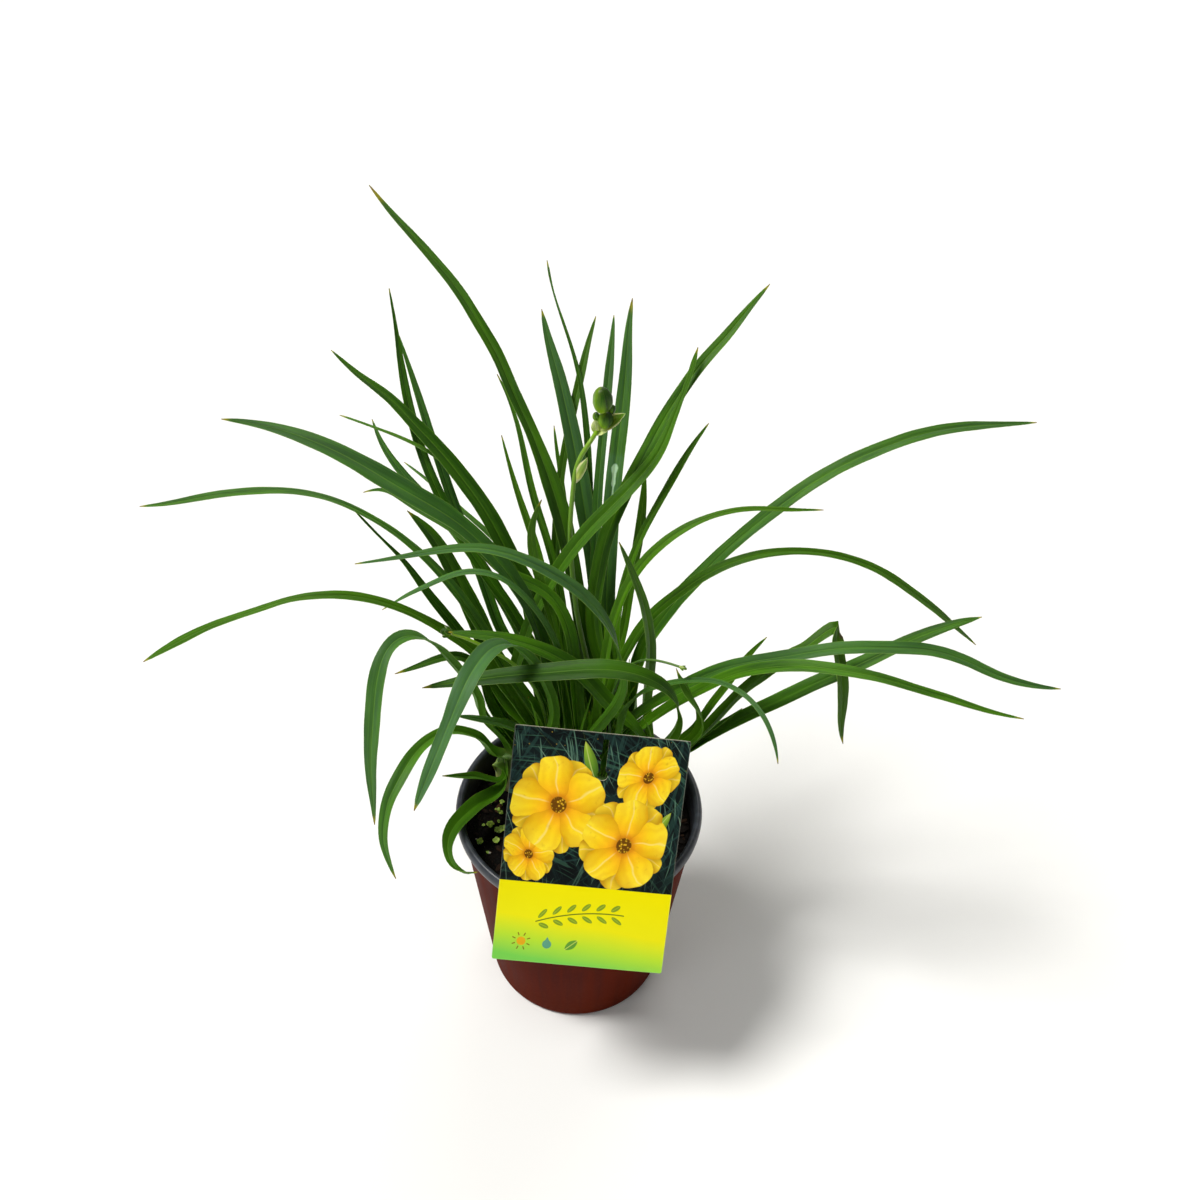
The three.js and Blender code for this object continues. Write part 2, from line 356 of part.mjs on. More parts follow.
    [-24.7, 28.4, 216.5, -0.173, -0.982, 0.073, 1.22, 29],
    [-27.6, 29.6, 230.1, -0.365, -0.929, -0.05, 1.2, 24],
    [-32.6, 30.1, 243.6, -0.406, -0.897, -0.172, 1.17, 20],
    [-40, 30.1, 256.3, -0.351, -0.897, -0.269, 1.14, 16],
    [-49.6, 29.6, 267.3, -0.262, -0.906, -0.333, 1.12, 14],
    [-60.9, 28.8, 276.3, -0.206, -0.914, -0.348, 1.09, 12],
    [-72.8, 28.4, 284.1, -0.152, -0.92, -0.362, 1.07, 11],
    [-85.3, 27.4, 290.2, -0.103, -0.922, -0.373, 1.04, 10],
  ] },
  front_left_fan_leaf_5: { fan: "front_left_fan", straight: true, root: [-24.5, 20.4, 153.4, 0.342, -0.94, 0, 3, 40], rows: [
    [-24.8, 20.3, 173, 0.317, -0.904, 0.285, 4.09, 40],
    [-26.8, 24.1, 187.3, 0.16, -0.953, 0.258, 4.53, 38],
    [-31.1, 26.9, 201.2, -0.038, -0.986, 0.16, 5.43, 34],
    [-36.5, 28.7, 213.7, -0.215, -0.976, 0.025, 6.15, 30],
    [-44.2, 30.5, 228.7, -0.325, -0.943, -0.074, 5.34, 25],
    [-52.6, 32, 243.1, -0.374, -0.92, -0.12, 4.89, 20],
    [-61.4, 33.7, 257.2, -0.364, -0.917, -0.164, 4.65, 18],
    [-71.8, 34.6, 270.3, -0.296, -0.925, -0.24, 4.26, 16],
    [-83.9, 33.9, 282.3, -0.222, -0.93, -0.293, 3.59, 15],
    [-96.9, 32.3, 294.2, -0.154, -0.932, -0.328, 2.99, 15],
    [-111, 30.3, 305.1, -0.071, -0.93, -0.36, 2.78, 14],
    [-126.5, 27.9, 313.7, 0.006, -0.927, -0.375, 2.9, 14],
    [-143, 25.3, 318.9, 0.076, -0.922, -0.38, 2.91, 13],
    [-160, 22.6, 320.3, 0.147, -0.913, -0.379, 2.51, 13],
    [-177, 19.9, 318.2, 0.22, -0.902, -0.373, 2.03, 12],
    [-193.2, 17.1, 313, 0.247, -0.895, -0.372, 2.06, 12],
    [-209.4, 15.3, 307, 0.25, -0.891, -0.379, 2.19, 12],
    [-225.3, 14.1, 300, 0.28, -0.883, -0.376, 2.43, 11],
    [-240.5, 12.5, 291.7, 0.311, -0.876, -0.369, 2.91, 11],
    [-255.4, 10.7, 282.8, 0.335, -0.869, -0.364, 2.22, 10],
    [-262.7, 9.6, 278.2, 0.342, -0.867, -0.363, 1.46, 10],
    [-269.9, 8.5, 273.5, 0.348, -0.864, -0.363, 0.6, 10],
  ] },
  front_left_fan_leaf_6: { fan: "front_left_fan", straight: true, root: [-27.4, 19.3, 154.5, 0.342, -0.94, 0, 3, 40], rows: [
    [-28, 19.1, 171, 0.338, -0.94, -0.038, 4.3, 40],
    [-26, 19.1, 189.4, 0.553, -0.822, -0.137, 4.6, 37],
    [-22.2, 18.3, 206.2, 0.729, -0.641, -0.242, 4.2, 32],
    [-19, 17.5, 221.1, 0.863, -0.461, -0.205, 3.9, 26],
    [-17.9, 17.1, 234.6, 0.941, -0.333, -0.064, 3.7, 21],
    [-19.6, 16.2, 247.9, 0.963, -0.252, 0.095, 3.7, 18],
    [-22.8, 15.4, 260.2, 0.954, -0.201, 0.222, 3.8, 16],
    [-26.7, 15, 271.5, 0.917, -0.189, 0.351, 4, 15],
    [-31.8, 14, 282.4, 0.827, -0.261, 0.498, 4.3, 14],
    [-38.3, 11.4, 293.2, 0.652, -0.512, 0.559, 4.8, 14],
    [-46.6, 5.6, 303.1, 0.526, -0.833, 0.17, 5.6, 14],
    [-55, -4.5, 306.5, 0.741, -0.65, -0.166, 6.2, 13],
    [-61.1, -15.7, 305.3, 0.875, -0.452, -0.174, 6.3, 13],
    [-66.1, -26.8, 301.4, 0.922, -0.364, -0.13, 6.3, 12],
    [-70.4, -36.6, 294.6, 0.935, -0.338, -0.103, 5.5, 12],
    [-74.7, -45.8, 286.5, 0.929, -0.354, -0.109, 4.43, 12],
    [-79.2, -54.3, 277.3, 0.92, -0.372, -0.123, 4.38, 11],
    [-83.8, -62, 267.2, 0.915, -0.382, -0.133, 4.12, 11],
    [-88.5, -69.2, 256.8, 0.913, -0.384, -0.135, 2.83, 10],
    [-90.7, -72.8, 251.4, 0.914, -0.383, -0.134, 1.86, 10],
    [-92.9, -76.3, 246, 0.915, -0.382, -0.133, 0.6, 10],
  ] },
  front_left_fan_leaf_7: { fan: "front_left_fan", straight: true, root: [-30.4, 18.2, 153, 0.342, -0.94, 0, 3, 40], rows: [
    [-31.2, 17.9, 169, 0.331, -0.937, -0.112, 3.07, 40],
    [-29.5, 16.8, 183.8, 0.512, -0.847, -0.141, 3.4, 38],
    [-28.4, 14.7, 198.6, 0.648, -0.755, -0.097, 4.05, 33],
    [-31.5, 11.4, 211.8, 0.634, -0.772, -0.037, 4.56, 28],
    [-37.2, 6.2, 224.3, 0.513, -0.847, -0.138, 4.65, 23],
    [-43.5, 0.2, 236.1, 0.407, -0.874, -0.265, 4.38, 19],
    [-50.5, -6.8, 246.9, 0.389, -0.859, -0.332, 3.32, 15],
    [-57.8, -14.4, 257.1, 0.407, -0.846, -0.345, 2.76, 13],
    [-65.3, -22.2, 267.1, 0.425, -0.837, -0.345, 1.97, 11],
    [-69, -26.2, 272, 0.431, -0.834, -0.345, 1.3, 11],
    [-72.8, -30.2, 276.8, 0.437, -0.831, -0.345, 0.6, 10],
  ] },
  back_fan_leaf_1: { fan: "back_fan", straight: true, root: [14.3, 62, 154.1, -0, -1, 0, 3, 40], rows: [
    [14.8, 62, 172, 0.012, -0.957, 0.289, 4.3, 40],
    [15.4, 66.2, 185.8, -0.308, -0.907, 0.287, 5.02, 38],
    [15.3, 70.6, 199.5, -0.63, -0.746, 0.213, 6.41, 35],
    [14.4, 74.6, 212.6, -0.842, -0.535, 0.073, 5.78, 30],
    [11.8, 80.5, 232.9, -0.93, -0.367, -0.021, 5.38, 23],
    [8.7, 86.9, 253.2, -0.96, -0.276, -0.051, 5.19, 19],
    [5.7, 94.3, 273, -0.971, -0.237, -0.041, 5.11, 16],
    [2.8, 102.8, 292.4, -0.974, -0.224, -0.032, 5.26, 15],
    [-0.9, 112.4, 311, -0.973, -0.226, -0.037, 5.81, 14],
    [-5, 123.1, 328.8, -0.971, -0.233, -0.049, 6.22, 13],
    [-9.1, 135, 345.7, -0.966, -0.249, -0.072, 6.01, 13],
    [-13.8, 147.9, 361.7, -0.958, -0.27, -0.101, 5.53, 12],
    [-19, 161.5, 376.9, -0.95, -0.287, -0.122, 5.02, 12],
    [-24.9, 175.6, 391.6, -0.945, -0.297, -0.134, 4.26, 11],
    [-31.3, 189.9, 405.9, -0.949, -0.29, -0.126, 2.75, 11],
    [-34.1, 197.2, 413, -0.951, -0.285, -0.12, 1.81, 10],
    [-36.7, 204.6, 420.2, -0.953, -0.28, -0.114, 0.6, 10],
  ] },
  back_fan_leaf_2: { fan: "back_fan", straight: true, root: [11.2, 62, 155.2, -0, -1, 0, 2.48, 40], rows: [
    [11.4, 62, 174, -0.016, -0.94, 0.341, 2.48, 40],
    [10.8, 66.8, 187.1, -0.331, -0.89, 0.313, 2.72, 38],
    [9.9, 71.8, 200.3, -0.649, -0.724, 0.233, 3.09, 35],
    [9, 76.6, 212.7, -0.862, -0.494, 0.112, 2.73, 31],
    [7.6, 83.5, 233.5, -0.951, -0.306, 0.033, 2.5, 24],
    [5.9, 90.6, 254.6, -0.978, -0.209, -0.005, 2.42, 19],
    [4.1, 98.8, 275.4, -0.985, -0.173, -0.015, 2.38, 16],
    [2.2, 108.2, 295.6, -0.987, -0.159, -0.007, 2.36, 15],
    [0.5, 119, 315.1, -0.989, -0.146, 0.011, 2.34, 14],
    [-0.9, 131, 333.9, -0.991, -0.135, 0.023, 2.33, 14],
    [-2.7, 144.1, 351.8, -0.99, -0.142, 0.007, 2.26, 13],
    [-5.4, 158.2, 368.6, -0.984, -0.176, -0.042, 2.06, 13],
    [-9.3, 173, 384.4, -0.967, -0.23, -0.11, 1.67, 12],
    [-15.2, 187.9, 399.3, -0.946, -0.278, -0.165, 1.22, 12],
    [-22.6, 202.9, 413.3, -0.941, -0.289, -0.176, 0.92, 11],
    [-29.8, 218.4, 427, -0.957, -0.254, -0.138, 0.62, 11],
    [-32.6, 226.4, 434, -0.963, -0.24, -0.121, 0.8, 10],
    [-34.8, 234.5, 441.1, -0.968, -0.227, -0.104, 0.6, 10],
  ] },
  scape: { fan: "back_fan", stem: true, straight: true, root: [8, 62, 153.7, -0, -1, 0, 2, 40], rows: [
    [8, 62, 176, -0.005, -0.993, 0.119, 1.75, 40],
    [7.4, 63.9, 191.5, -0.373, -0.924, 0.08, 1.73, 38],
    [5.8, 65.6, 206.9, -0.714, -0.7, -0.017, 1.7, 34],
    [3.5, 67.1, 221, -0.896, -0.429, -0.113, 1.68, 29],
    [0.3, 69, 236.6, -0.955, -0.247, -0.167, 1.66, 24],
    [-3, 71.4, 251.8, -0.971, -0.16, -0.175, 1.64, 20],
    [-5.9, 74.3, 266.5, -0.982, -0.121, -0.144, 1.61, 17],
    [-8.1, 77.7, 281.2, -0.99, -0.098, -0.104, 1.59, 15],
    [-9.7, 81.2, 295.9, -0.993, -0.083, -0.08, 1.57, 14],
    [-11, 84.6, 310.9, -0.996, -0.067, -0.052, 1.55, 14],
    [-11.7, 87.9, 326.2, -0.999, -0.045, 0.001, 1.52, 13],
    [-11.3, 91.1, 341.8, -0.998, -0.019, 0.053, 1.5, 13],
    [-10.2, 94.3, 357.4, -0.992, 0.015, 0.126, 1.48, 12],
    [-7.3, 97.5, 372.7, -0.944, 0.073, 0.321, 1.46, 12],
    [0.2, 100.2, 386.5, -0.897, 0.1, 0.43, 1.43, 11],
    [6.6, 103.4, 400.3, -0.984, 0.029, 0.176, 1.41, 11],
    [5.6, 107.6, 415.6, -0.997, -0.054, -0.052, 1.39, 10],
  ] },
  back_fan_leaf_3: { fan: "back_fan", straight: true, root: [4.8, 62, 154.8, -0, -1, 0, 3, 40], rows: [
    [4.6, 62, 174, -0.007, -0.991, 0.13, 4.3, 40],
    [3.8, 64.1, 190, -0.285, -0.952, 0.108, 5.29, 38],
    [2.6, 66.2, 205.8, -0.554, -0.829, 0.075, 7.21, 34],
    [1.3, 68.5, 220.2, -0.746, -0.664, 0.056, 6.72, 29],
    [-1.1, 73.4, 241.9, -0.841, -0.541, 0.024, 6.09, 22],
    [-4.1, 78.8, 263.2, -0.874, -0.486, -0.011, 5.78, 18],
    [-7.8, 84.4, 284.3, -0.879, -0.475, -0.038, 5.63, 16],
    [-12.1, 90.6, 305.2, -0.873, -0.483, -0.065, 5.77, 15],
    [-17.1, 97.5, 325.8, -0.865, -0.494, -0.087, 6.43, 15],
    [-23.6, 104.7, 345.9, -0.863, -0.498, -0.089, 6.29, 14],
    [-31.5, 112.4, 365.4, -0.85, -0.514, -0.12, 4.98, 14],
    [-40.4, 121.3, 383.9, -0.821, -0.543, -0.176, 4.24, 14],
    [-50.4, 131.4, 401.1, -0.83, -0.535, -0.161, 4.17, 13],
    [-59.9, 142.4, 418.2, -0.833, -0.53, -0.158, 4.06, 13],
    [-71.9, 153.8, 433.6, -0.803, -0.56, -0.206, 3.89, 12],
    [-84.5, 165.8, 447.9, -0.764, -0.593, -0.255, 3.61, 12],
    [-98.9, 177.8, 460.3, -0.724, -0.623, -0.297, 3.19, 11],
    [-114.2, 189.7, 471.8, -0.716, -0.627, -0.306, 2.7, 11],
    [-129.8, 201.6, 483, -0.727, -0.618, -0.298, 1.8, 10],
    [-137.3, 207.8, 488.7, -0.731, -0.616, -0.294, 1.19, 10],
    [-144.5, 214.3, 494.5, -0.735, -0.613, -0.291, 0.6, 10],
  ] },
  back_fan_leaf_4: { fan: "back_fan", straight: true, root: [1.7, 62, 153.4, -0, -1, 0, 3, 40], rows: [
    [1.2, 62, 172, -0.028, -0.967, 0.252, 4.3, 40],
    [-0.3, 65.7, 186.1, -0.223, -0.954, 0.198, 4.94, 38],
    [-4.1, 69.1, 200, -0.406, -0.911, 0.067, 6.28, 35],
    [-9, 71.6, 212.9, -0.538, -0.839, -0.082, 5.96, 30],
    [-18.2, 74.7, 234.1, -0.63, -0.762, -0.148, 5.52, 23],
    [-26.9, 77.9, 255.8, -0.684, -0.714, -0.15, 5.28, 18],
    [-35.3, 81.6, 277.5, -0.687, -0.704, -0.181, 5.34, 16],
    [-46.7, 84.8, 297.6, -0.686, -0.704, -0.184, 5.95, 15],
    [-56.9, 90.3, 317.4, -0.701, -0.697, -0.15, 6.33, 14],
    [-68, 97.5, 335.6, -0.683, -0.709, -0.176, 6.02, 13],
    [-81.4, 105.2, 351.9, -0.654, -0.727, -0.211, 5.74, 13],
    [-96.1, 113.6, 366.9, -0.62, -0.745, -0.247, 5.3, 12],
    [-112.3, 122.4, 380.3, -0.599, -0.755, -0.268, 4.36, 12],
    [-128.9, 131.8, 392.9, -0.546, -0.78, -0.307, 3.37, 11],
    [-147.7, 140.2, 402.9, -0.545, -0.781, -0.307, 2.15, 11],
    [-156.7, 144.8, 408.4, -0.571, -0.768, -0.29, 1.42, 10],
    [-165.3, 149.5, 414.3, -0.596, -0.755, -0.272, 0.6, 10],
  ] },
  back_right_fan_leaf_1: { fan: "back_right_fan", straight: true, root: [21.8, 47.1, 154.5, -0.174, -0.985, -0, 3, 40], rows: [
    [21.3, 47.2, 172, -0.212, -0.927, 0.31, 3.5, 40],
    [20.1, 52, 185.4, -0.503, -0.829, 0.245, 3.86, 38],
    [17.9, 57.1, 198.8, -0.762, -0.637, 0.114, 3.91, 35],
    [15.5, 62, 211.3, -0.912, -0.41, -0.026, 3.6, 30],
    [11.7, 68.8, 231.6, -0.968, -0.234, -0.094, 3.42, 23],
    [8.1, 76.1, 252, -0.986, -0.133, -0.097, 3.37, 19],
    [5.6, 84.6, 271.9, -0.996, -0.075, -0.049, 3.34, 16],
    [4.8, 94.8, 291, -0.999, -0.038, -0.002, 3.31, 15],
    [4.7, 106.3, 309.2, -1, -0.023, 0.016, 3.3, 14],
    [4.8, 119.1, 326.3, -0.999, -0.009, 0.032, 3.22, 13],
    [5.6, 133.3, 342.3, -0.999, 0.011, 0.052, 3.02, 13],
    [6.8, 148.6, 357.3, -0.998, 0.019, 0.059, 2.99, 12],
    [8.1, 164.6, 371.7, -0.998, 0.019, 0.057, 3.22, 12],
    [9.3, 181.1, 385.6, -0.998, 0.024, 0.06, 3.1, 11],
    [10.4, 197.8, 399.2, -0.998, 0.024, 0.058, 2.06, 11],
    [10.9, 206.2, 406.1, -0.998, 0.022, 0.056, 1.36, 10],
    [11.4, 214.6, 412.9, -0.998, 0.02, 0.053, 0.6, 10],
  ] },
  back_right_fan_leaf_2: { fan: "back_right_fan", straight: true, root: [24.9, 46.5, 153, -0.174, -0.985, -0, 3, 40], rows: [
    [24.7, 46.6, 174, -0.198, -0.937, 0.289, 4.3, 40],
    [23.9, 51, 187.7, -0.5, -0.834, 0.234, 5.18, 38],
    [22.3, 55.6, 201.3, -0.772, -0.624, 0.117, 5.91, 35],
    [20.6, 60, 214.1, -0.927, -0.376, -0.009, 5.87, 30],
    [17.6, 66.6, 234.9, -0.98, -0.188, -0.072, 5.78, 23],
    [14.9, 73.5, 255.9, -0.994, -0.084, -0.073, 5.69, 18],
    [13.3, 81.4, 276.5, -0.999, -0.027, -0.027, 5.63, 16],
    [13.3, 90.6, 296.6, -1, 0.003, 0.011, 5.58, 15],
    [13.8, 101.1, 316, -1, 0.012, 0.021, 5.54, 14],
    [14.4, 112.9, 334.5, -0.999, 0.026, 0.039, 5.4, 13],
    [15.8, 125.7, 352.3, -0.997, 0.043, 0.06, 5.23, 13],
    [17.6, 139.4, 369.2, -0.997, 0.049, 0.065, 5.17, 12],
    [19.3, 153.9, 385.6, -0.998, 0.042, 0.053, 4.7, 12],
    [20.5, 168.9, 401.5, -0.999, 0.029, 0.037, 3.8, 11],
    [21.1, 184.2, 417.2, -0.999, 0.034, 0.042, 2.45, 11],
    [21.9, 191.9, 424.9, -0.998, 0.04, 0.048, 1.62, 10],
    [22.9, 199.6, 432.6, -0.997, 0.045, 0.055, 0.6, 10],
  ] },
  back_right_fan_leaf_3: { fan: "back_right_fan", straight: true, root: [28, 46, 154.1, 0.174, 0.985, 0, 3, 40], rows: [
    [28, 46, 176, 0.184, 0.976, -0.114, 4.3, 40],
    [26.8, 48.1, 192, -0.139, 0.978, -0.155, 5.15, 38],
    [23.6, 50.3, 207.3, -0.515, 0.8, -0.308, 6.75, 34],
    [19.5, 54, 219.4, -0.744, 0.477, -0.467, 5.4, 29],
    [12.4, 61.4, 236.4, -0.864, 0.276, -0.421, 5.2, 23],
    [6.6, 68.2, 255.3, -0.938, 0.239, -0.253, 5.4, 19],
    [4.9, 74.2, 276.2, -0.958, 0.277, -0.071, 5.14, 16],
    [7.1, 80.6, 297.2, -0.947, 0.32, 0.026, 5.03, 15],
    [10.7, 88, 317.6, -0.927, 0.362, 0.099, 4.95, 15],
    [17.4, 96.2, 336.7, -0.895, 0.409, 0.18, 4.89, 14],
    [26, 105.3, 354.5, -0.874, 0.436, 0.215, 4.77, 13],
    [35.4, 115.3, 371.4, -0.869, 0.445, 0.219, 4.6, 13],
    [45.1, 126.3, 387.5, -0.857, 0.46, 0.234, 4.3, 12],
    [56.1, 137.6, 402.4, -0.828, 0.491, 0.271, 3.96, 12],
    [68.3, 149.1, 416.1, -0.782, 0.535, 0.32, 3.8, 11],
    [82.1, 160.5, 428.2, -0.768, 0.548, 0.332, 3.41, 11],
    [95, 172.6, 440.6, -0.781, 0.537, 0.319, 2.23, 10],
    [101.7, 178.5, 446.6, -0.779, 0.539, 0.32, 1.47, 10],
    [108.5, 184.5, 452.5, -0.777, 0.541, 0.322, 0.6, 10],
  ] },
  back_right_fan_leaf_4: { fan: "back_right_fan", straight: true, root: [31.1, 45.5, 155.2, 0.174, 0.985, 0, 2.79, 40], rows: [
    [31.3, 45.4, 174, 0.176, 0.973, -0.151, 2.79, 40],
    [31.3, 47.8, 189.4, -0.156, 0.976, -0.154, 3.12, 38],
    [29.9, 50.1, 204.9, -0.56, 0.816, -0.145, 3.76, 34],
    [27.5, 50.7, 220.6, -0.828, 0.532, -0.176, 3.47, 28],
    [22.8, 52.3, 244.9, -0.924, 0.328, -0.197, 2.94, 21],
    [20, 57.2, 266.7, -0.959, 0.259, -0.114, 2.71, 17],
    [21.5, 65.6, 286, -0.957, 0.29, 0.011, 2.64, 15],
    [25.9, 75.4, 304.1, -0.937, 0.337, 0.093, 2.57, 14],
    [32.4, 86.2, 321.2, -0.905, 0.391, 0.169, 2.37, 13],
    [41.5, 97.6, 337, -0.872, 0.435, 0.224, 2.35, 12],
    [51.5, 109.7, 352.1, -0.858, 0.452, 0.242, 2.5, 11],
    [62.1, 122.4, 366.5, -0.849, 0.464, 0.253, 1.87, 11],
    [68, 128.6, 373.5, -0.845, 0.468, 0.257, 1.24, 10],
    [74.2, 134.7, 380.3, -0.842, 0.472, 0.26, 0.6, 10],
  ] },
  back_right_fan_leaf_5: { fan: "back_right_fan", straight: true, root: [34.2, 44.9, 153.7, 0.174, 0.985, 0, 3, 40], rows: [
    [34.7, 44.8, 172, 0.18, 0.954, -0.24, 4.3, 40],
    [34.6, 48.5, 186.5, -0.004, 0.97, -0.244, 5.04, 38],
    [34.3, 52.1, 200.9, -0.245, 0.941, -0.233, 6.55, 35],
    [34.3, 55.3, 214.3, -0.472, 0.867, -0.161, 5.8, 30],
    [35.6, 60.2, 235.3, -0.594, 0.804, -0.023, 5.8, 23],
    [41.4, 63.8, 255.9, -0.601, 0.787, 0.138, 5.7, 19],
    [50.7, 66.3, 275.1, -0.57, 0.792, 0.219, 5.6, 17],
    [61.7, 68.3, 293.5, -0.548, 0.801, 0.241, 5.3, 16],
    [74.1, 70.1, 311, -0.526, 0.811, 0.257, 4.98, 15],
    [87.2, 72.7, 327.7, -0.503, 0.82, 0.273, 4.51, 14],
    [101.8, 75.9, 343.1, -0.491, 0.825, 0.278, 4.62, 14],
    [117.2, 79.6, 357.4, -0.489, 0.828, 0.276, 4.79, 14],
    [133.8, 84.4, 370.2, -0.469, 0.834, 0.29, 4.59, 13],
    [151.6, 89.6, 380.8, -0.423, 0.847, 0.322, 4.45, 13],
    [170.6, 94.9, 388.8, -0.371, 0.86, 0.351, 4.38, 12],
    [190.3, 100.7, 394.7, -0.32, 0.869, 0.377, 4.16, 12],
    [210.7, 106.1, 398.4, -0.246, 0.882, 0.402, 3.85, 11],
    [231.5, 110.7, 399.5, -0.175, 0.892, 0.417, 3.17, 11],
    [252.5, 114.8, 399.1, -0.159, 0.892, 0.424, 1.86, 10],
    [263.1, 116.8, 399, -0.164, 0.89, 0.425, 1.23, 10],
    [273.6, 118.9, 398.8, -0.169, 0.889, 0.426, 0.6, 10],
  ] },
  middle_fan_leaf_1: { fan: "middle_fan", straight: true, root: [-4.9, 17, 154.8, -0.208, -0.978, -0, 3, 40], rows: [
    [-6, 17.2, 167, -0.205, -0.978, 0.026, 4.3, 40],
    [-4.1, 17.3, 185.9, 0.015, -0.999, -0.051, 5.05, 37],
    [0.9, 15.4, 203.8, 0.209, -0.957, -0.201, 6.3, 32],
    [7, 12.6, 219.6, 0.365, -0.892, -0.267, 4.2, 26],
    [17.6, 11.2, 240.7, 0.496, -0.845, -0.201, 4, 20],
    [24.7, 13.4, 259.9, 0.559, -0.828, 0.048, 4.1, 17],
    [23.5, 17.4, 278.9, 0.334, -0.918, 0.213, 4.2, 15],
    [17.9, 19.9, 298.3, -0.049, -0.997, 0.061, 4.5, 15],
    [8.4, 20.5, 317.5, -0.229, -0.961, -0.157, 4.7, 14],
    [-4.8, 19.3, 334.9, -0.203, -0.936, -0.287, 4.5, 13],
    [-21, 17, 349.7, -0.126, -0.935, -0.331, 4.14, 13],
    [-39.3, 14.3, 362.2, -0.032, -0.933, -0.357, 3.55, 12],
    [-60, 10.5, 370.2, 0.12, -0.912, -0.391, 2.91, 12],
    [-81.8, 4.8, 372, 0.241, -0.887, -0.394, 2.25, 11],
    [-103.7, -1.1, 370.5, 0.238, -0.889, -0.391, 1.35, 11],
    [-114.7, -3.7, 369.8, 0.222, -0.893, -0.392, 0.89, 10],
    [-125.9, -6, 369.1, 0.206, -0.896, -0.393, 0.6, 10],
  ] },
  middle_fan_leaf_2: { fan: "middle_fan", straight: true, root: [-1.8, 16.3, 153.4, -0.208, -0.978, -0, 2.04, 40], rows: [
    [-2.6, 16.5, 169, -0.227, -0.926, 0.303, 2.04, 40],
    [-3, 21.1, 182.8, -0.32, -0.913, 0.252, 2.25, 38],
    [-3.8, 24.5, 196.8, -0.424, -0.89, 0.167, 2.69, 35],
    [-4.9, 27.1, 210, -0.523, -0.849, 0.076, 3.06, 30],
    [-7.1, 29.6, 230.5, -0.588, -0.809, 0.004, 2.8, 23],
    [-10.5, 31.3, 251.2, -0.606, -0.793, -0.068, 2.52, 18],
    [-15.6, 32.5, 272.1, -0.579, -0.804, -0.136, 2.35, 16],
    [-23.3, 33.6, 292.7, -0.517, -0.833, -0.196, 2.22, 14],
    [-34.7, 35.1, 311.5, -0.428, -0.872, -0.238, 2.06, 13],
    [-50.6, 38, 325.6, -0.262, -0.914, -0.311, 1.82, 13],
    [-71, 39.5, 329, 0.023, -0.939, -0.344, 2, 12],
    [-90.7, 38.6, 321.1, 0.184, -0.932, -0.312, 1.8, 11],
    [-108.9, 38.5, 309.7, 0.225, -0.922, -0.316, 1.4, 11],
    [-117.6, 38.4, 303.4, 0.237, -0.918, -0.317, 0.8, 10],
    [-126, 38.4, 296.6, 0.248, -0.915, -0.318, 0.6, 10],
  ] },
  middle_fan_leaf_3: { fan: "middle_fan", straight: true, root: [1.3, 15.6, 154.5, -0.208, -0.978, -0, 3, 40], rows: [
    [0.7, 15.8, 171, -0.22, -0.949, 0.226, 4.08, 40],
    [0.3, 19.4, 185.7, -0.376, -0.907, 0.19, 4.53, 38],
    [-0.6, 22.5, 200.6, -0.532, -0.837, 0.129, 5.45, 34],
    [-1.8, 25.1, 214.5, -0.662, -0.746, 0.078, 5.33, 29],
    [-3.3, 27.9, 229.2, -0.745, -0.664, 0.055, 4.87, 24],
    [-4.7, 30.8, 243.8, -0.789, -0.61, 0.067, 4.63, 21],
    [-5.9, 34.4, 257.9, -0.807, -0.583, 0.089, 4.5, 18],
    [-7.6, 39, 271.2, -0.806, -0.587, 0.076, 4.39, 16],
    [-10.9, 44.6, 283.7, -0.768, -0.64, -0.017, 4.27, 15],
    [-17.3, 50, 295.3, -0.642, -0.739, -0.202, 4.14, 14],
    [-27.6, 53.2, 305.4, -0.418, -0.819, -0.394, 4.01, 14],
    [-40.8, 53.5, 312.9, -0.319, -0.838, -0.443, 3.87, 13],
    [-53.8, 55.2, 320.4, -0.467, -0.814, -0.346, 3.7, 13],
    [-64.9, 60.5, 328.8, -0.563, -0.776, -0.284, 3.44, 13],
    [-76.8, 66.4, 335.3, -0.52, -0.796, -0.309, 3.12, 12],
    [-89.6, 72.4, 340, -0.48, -0.815, -0.324, 2.73, 12],
    [-102.7, 78.5, 343.6, -0.49, -0.809, -0.325, 2.4, 11],
    [-115.2, 85.5, 347.1, -0.482, -0.81, -0.334, 2.14, 11],
    [-128.3, 92, 349.3, -0.26, -0.891, -0.373, 1.51, 10],
    [-135.3, 93.4, 348.2, -0.159, -0.911, -0.379, 1, 10],
    [-142.6, 93.7, 345.8, -0.058, -0.923, -0.381, 0.6, 10],
  ] },
  middle_fan_leaf_4: { fan: "middle_fan", straight: true, root: [4.4, 15, 153, 0.208, 0.978, 0, 3, 40], rows: [
    [4, 15.1, 173, 0.246, 0.825, -0.509, 3.05, 40],
    [3.9, 22, 184.2, -0.102, 0.837, -0.537, 3.32, 38],
    [5.2, 29.4, 195.2, -0.531, 0.73, -0.431, 3.92, 35],
    [7.8, 37.1, 205, -0.804, 0.578, -0.138, 3.13, 31],
    [13.6, 47.4, 221.8, -0.902, 0.427, 0.064, 3.12, 24],
    [19.8, 57.1, 240, -0.941, 0.317, 0.119, 3.03, 18],
    [24.7, 66.2, 259.9, -0.967, 0.242, 0.073, 3, 15],
    [27.5, 75.7, 279.9, -0.979, 0.203, 0.03, 2.86, 14],
    [30, 86.1, 299.1, -0.98, 0.197, 0.03, 2.93, 12],
    [32.7, 97.2, 317.5, -0.983, 0.185, 0.011, 3.26, 12],
    [34.3, 108.8, 335.4, -0.988, 0.147, -0.046, 2.5, 11],
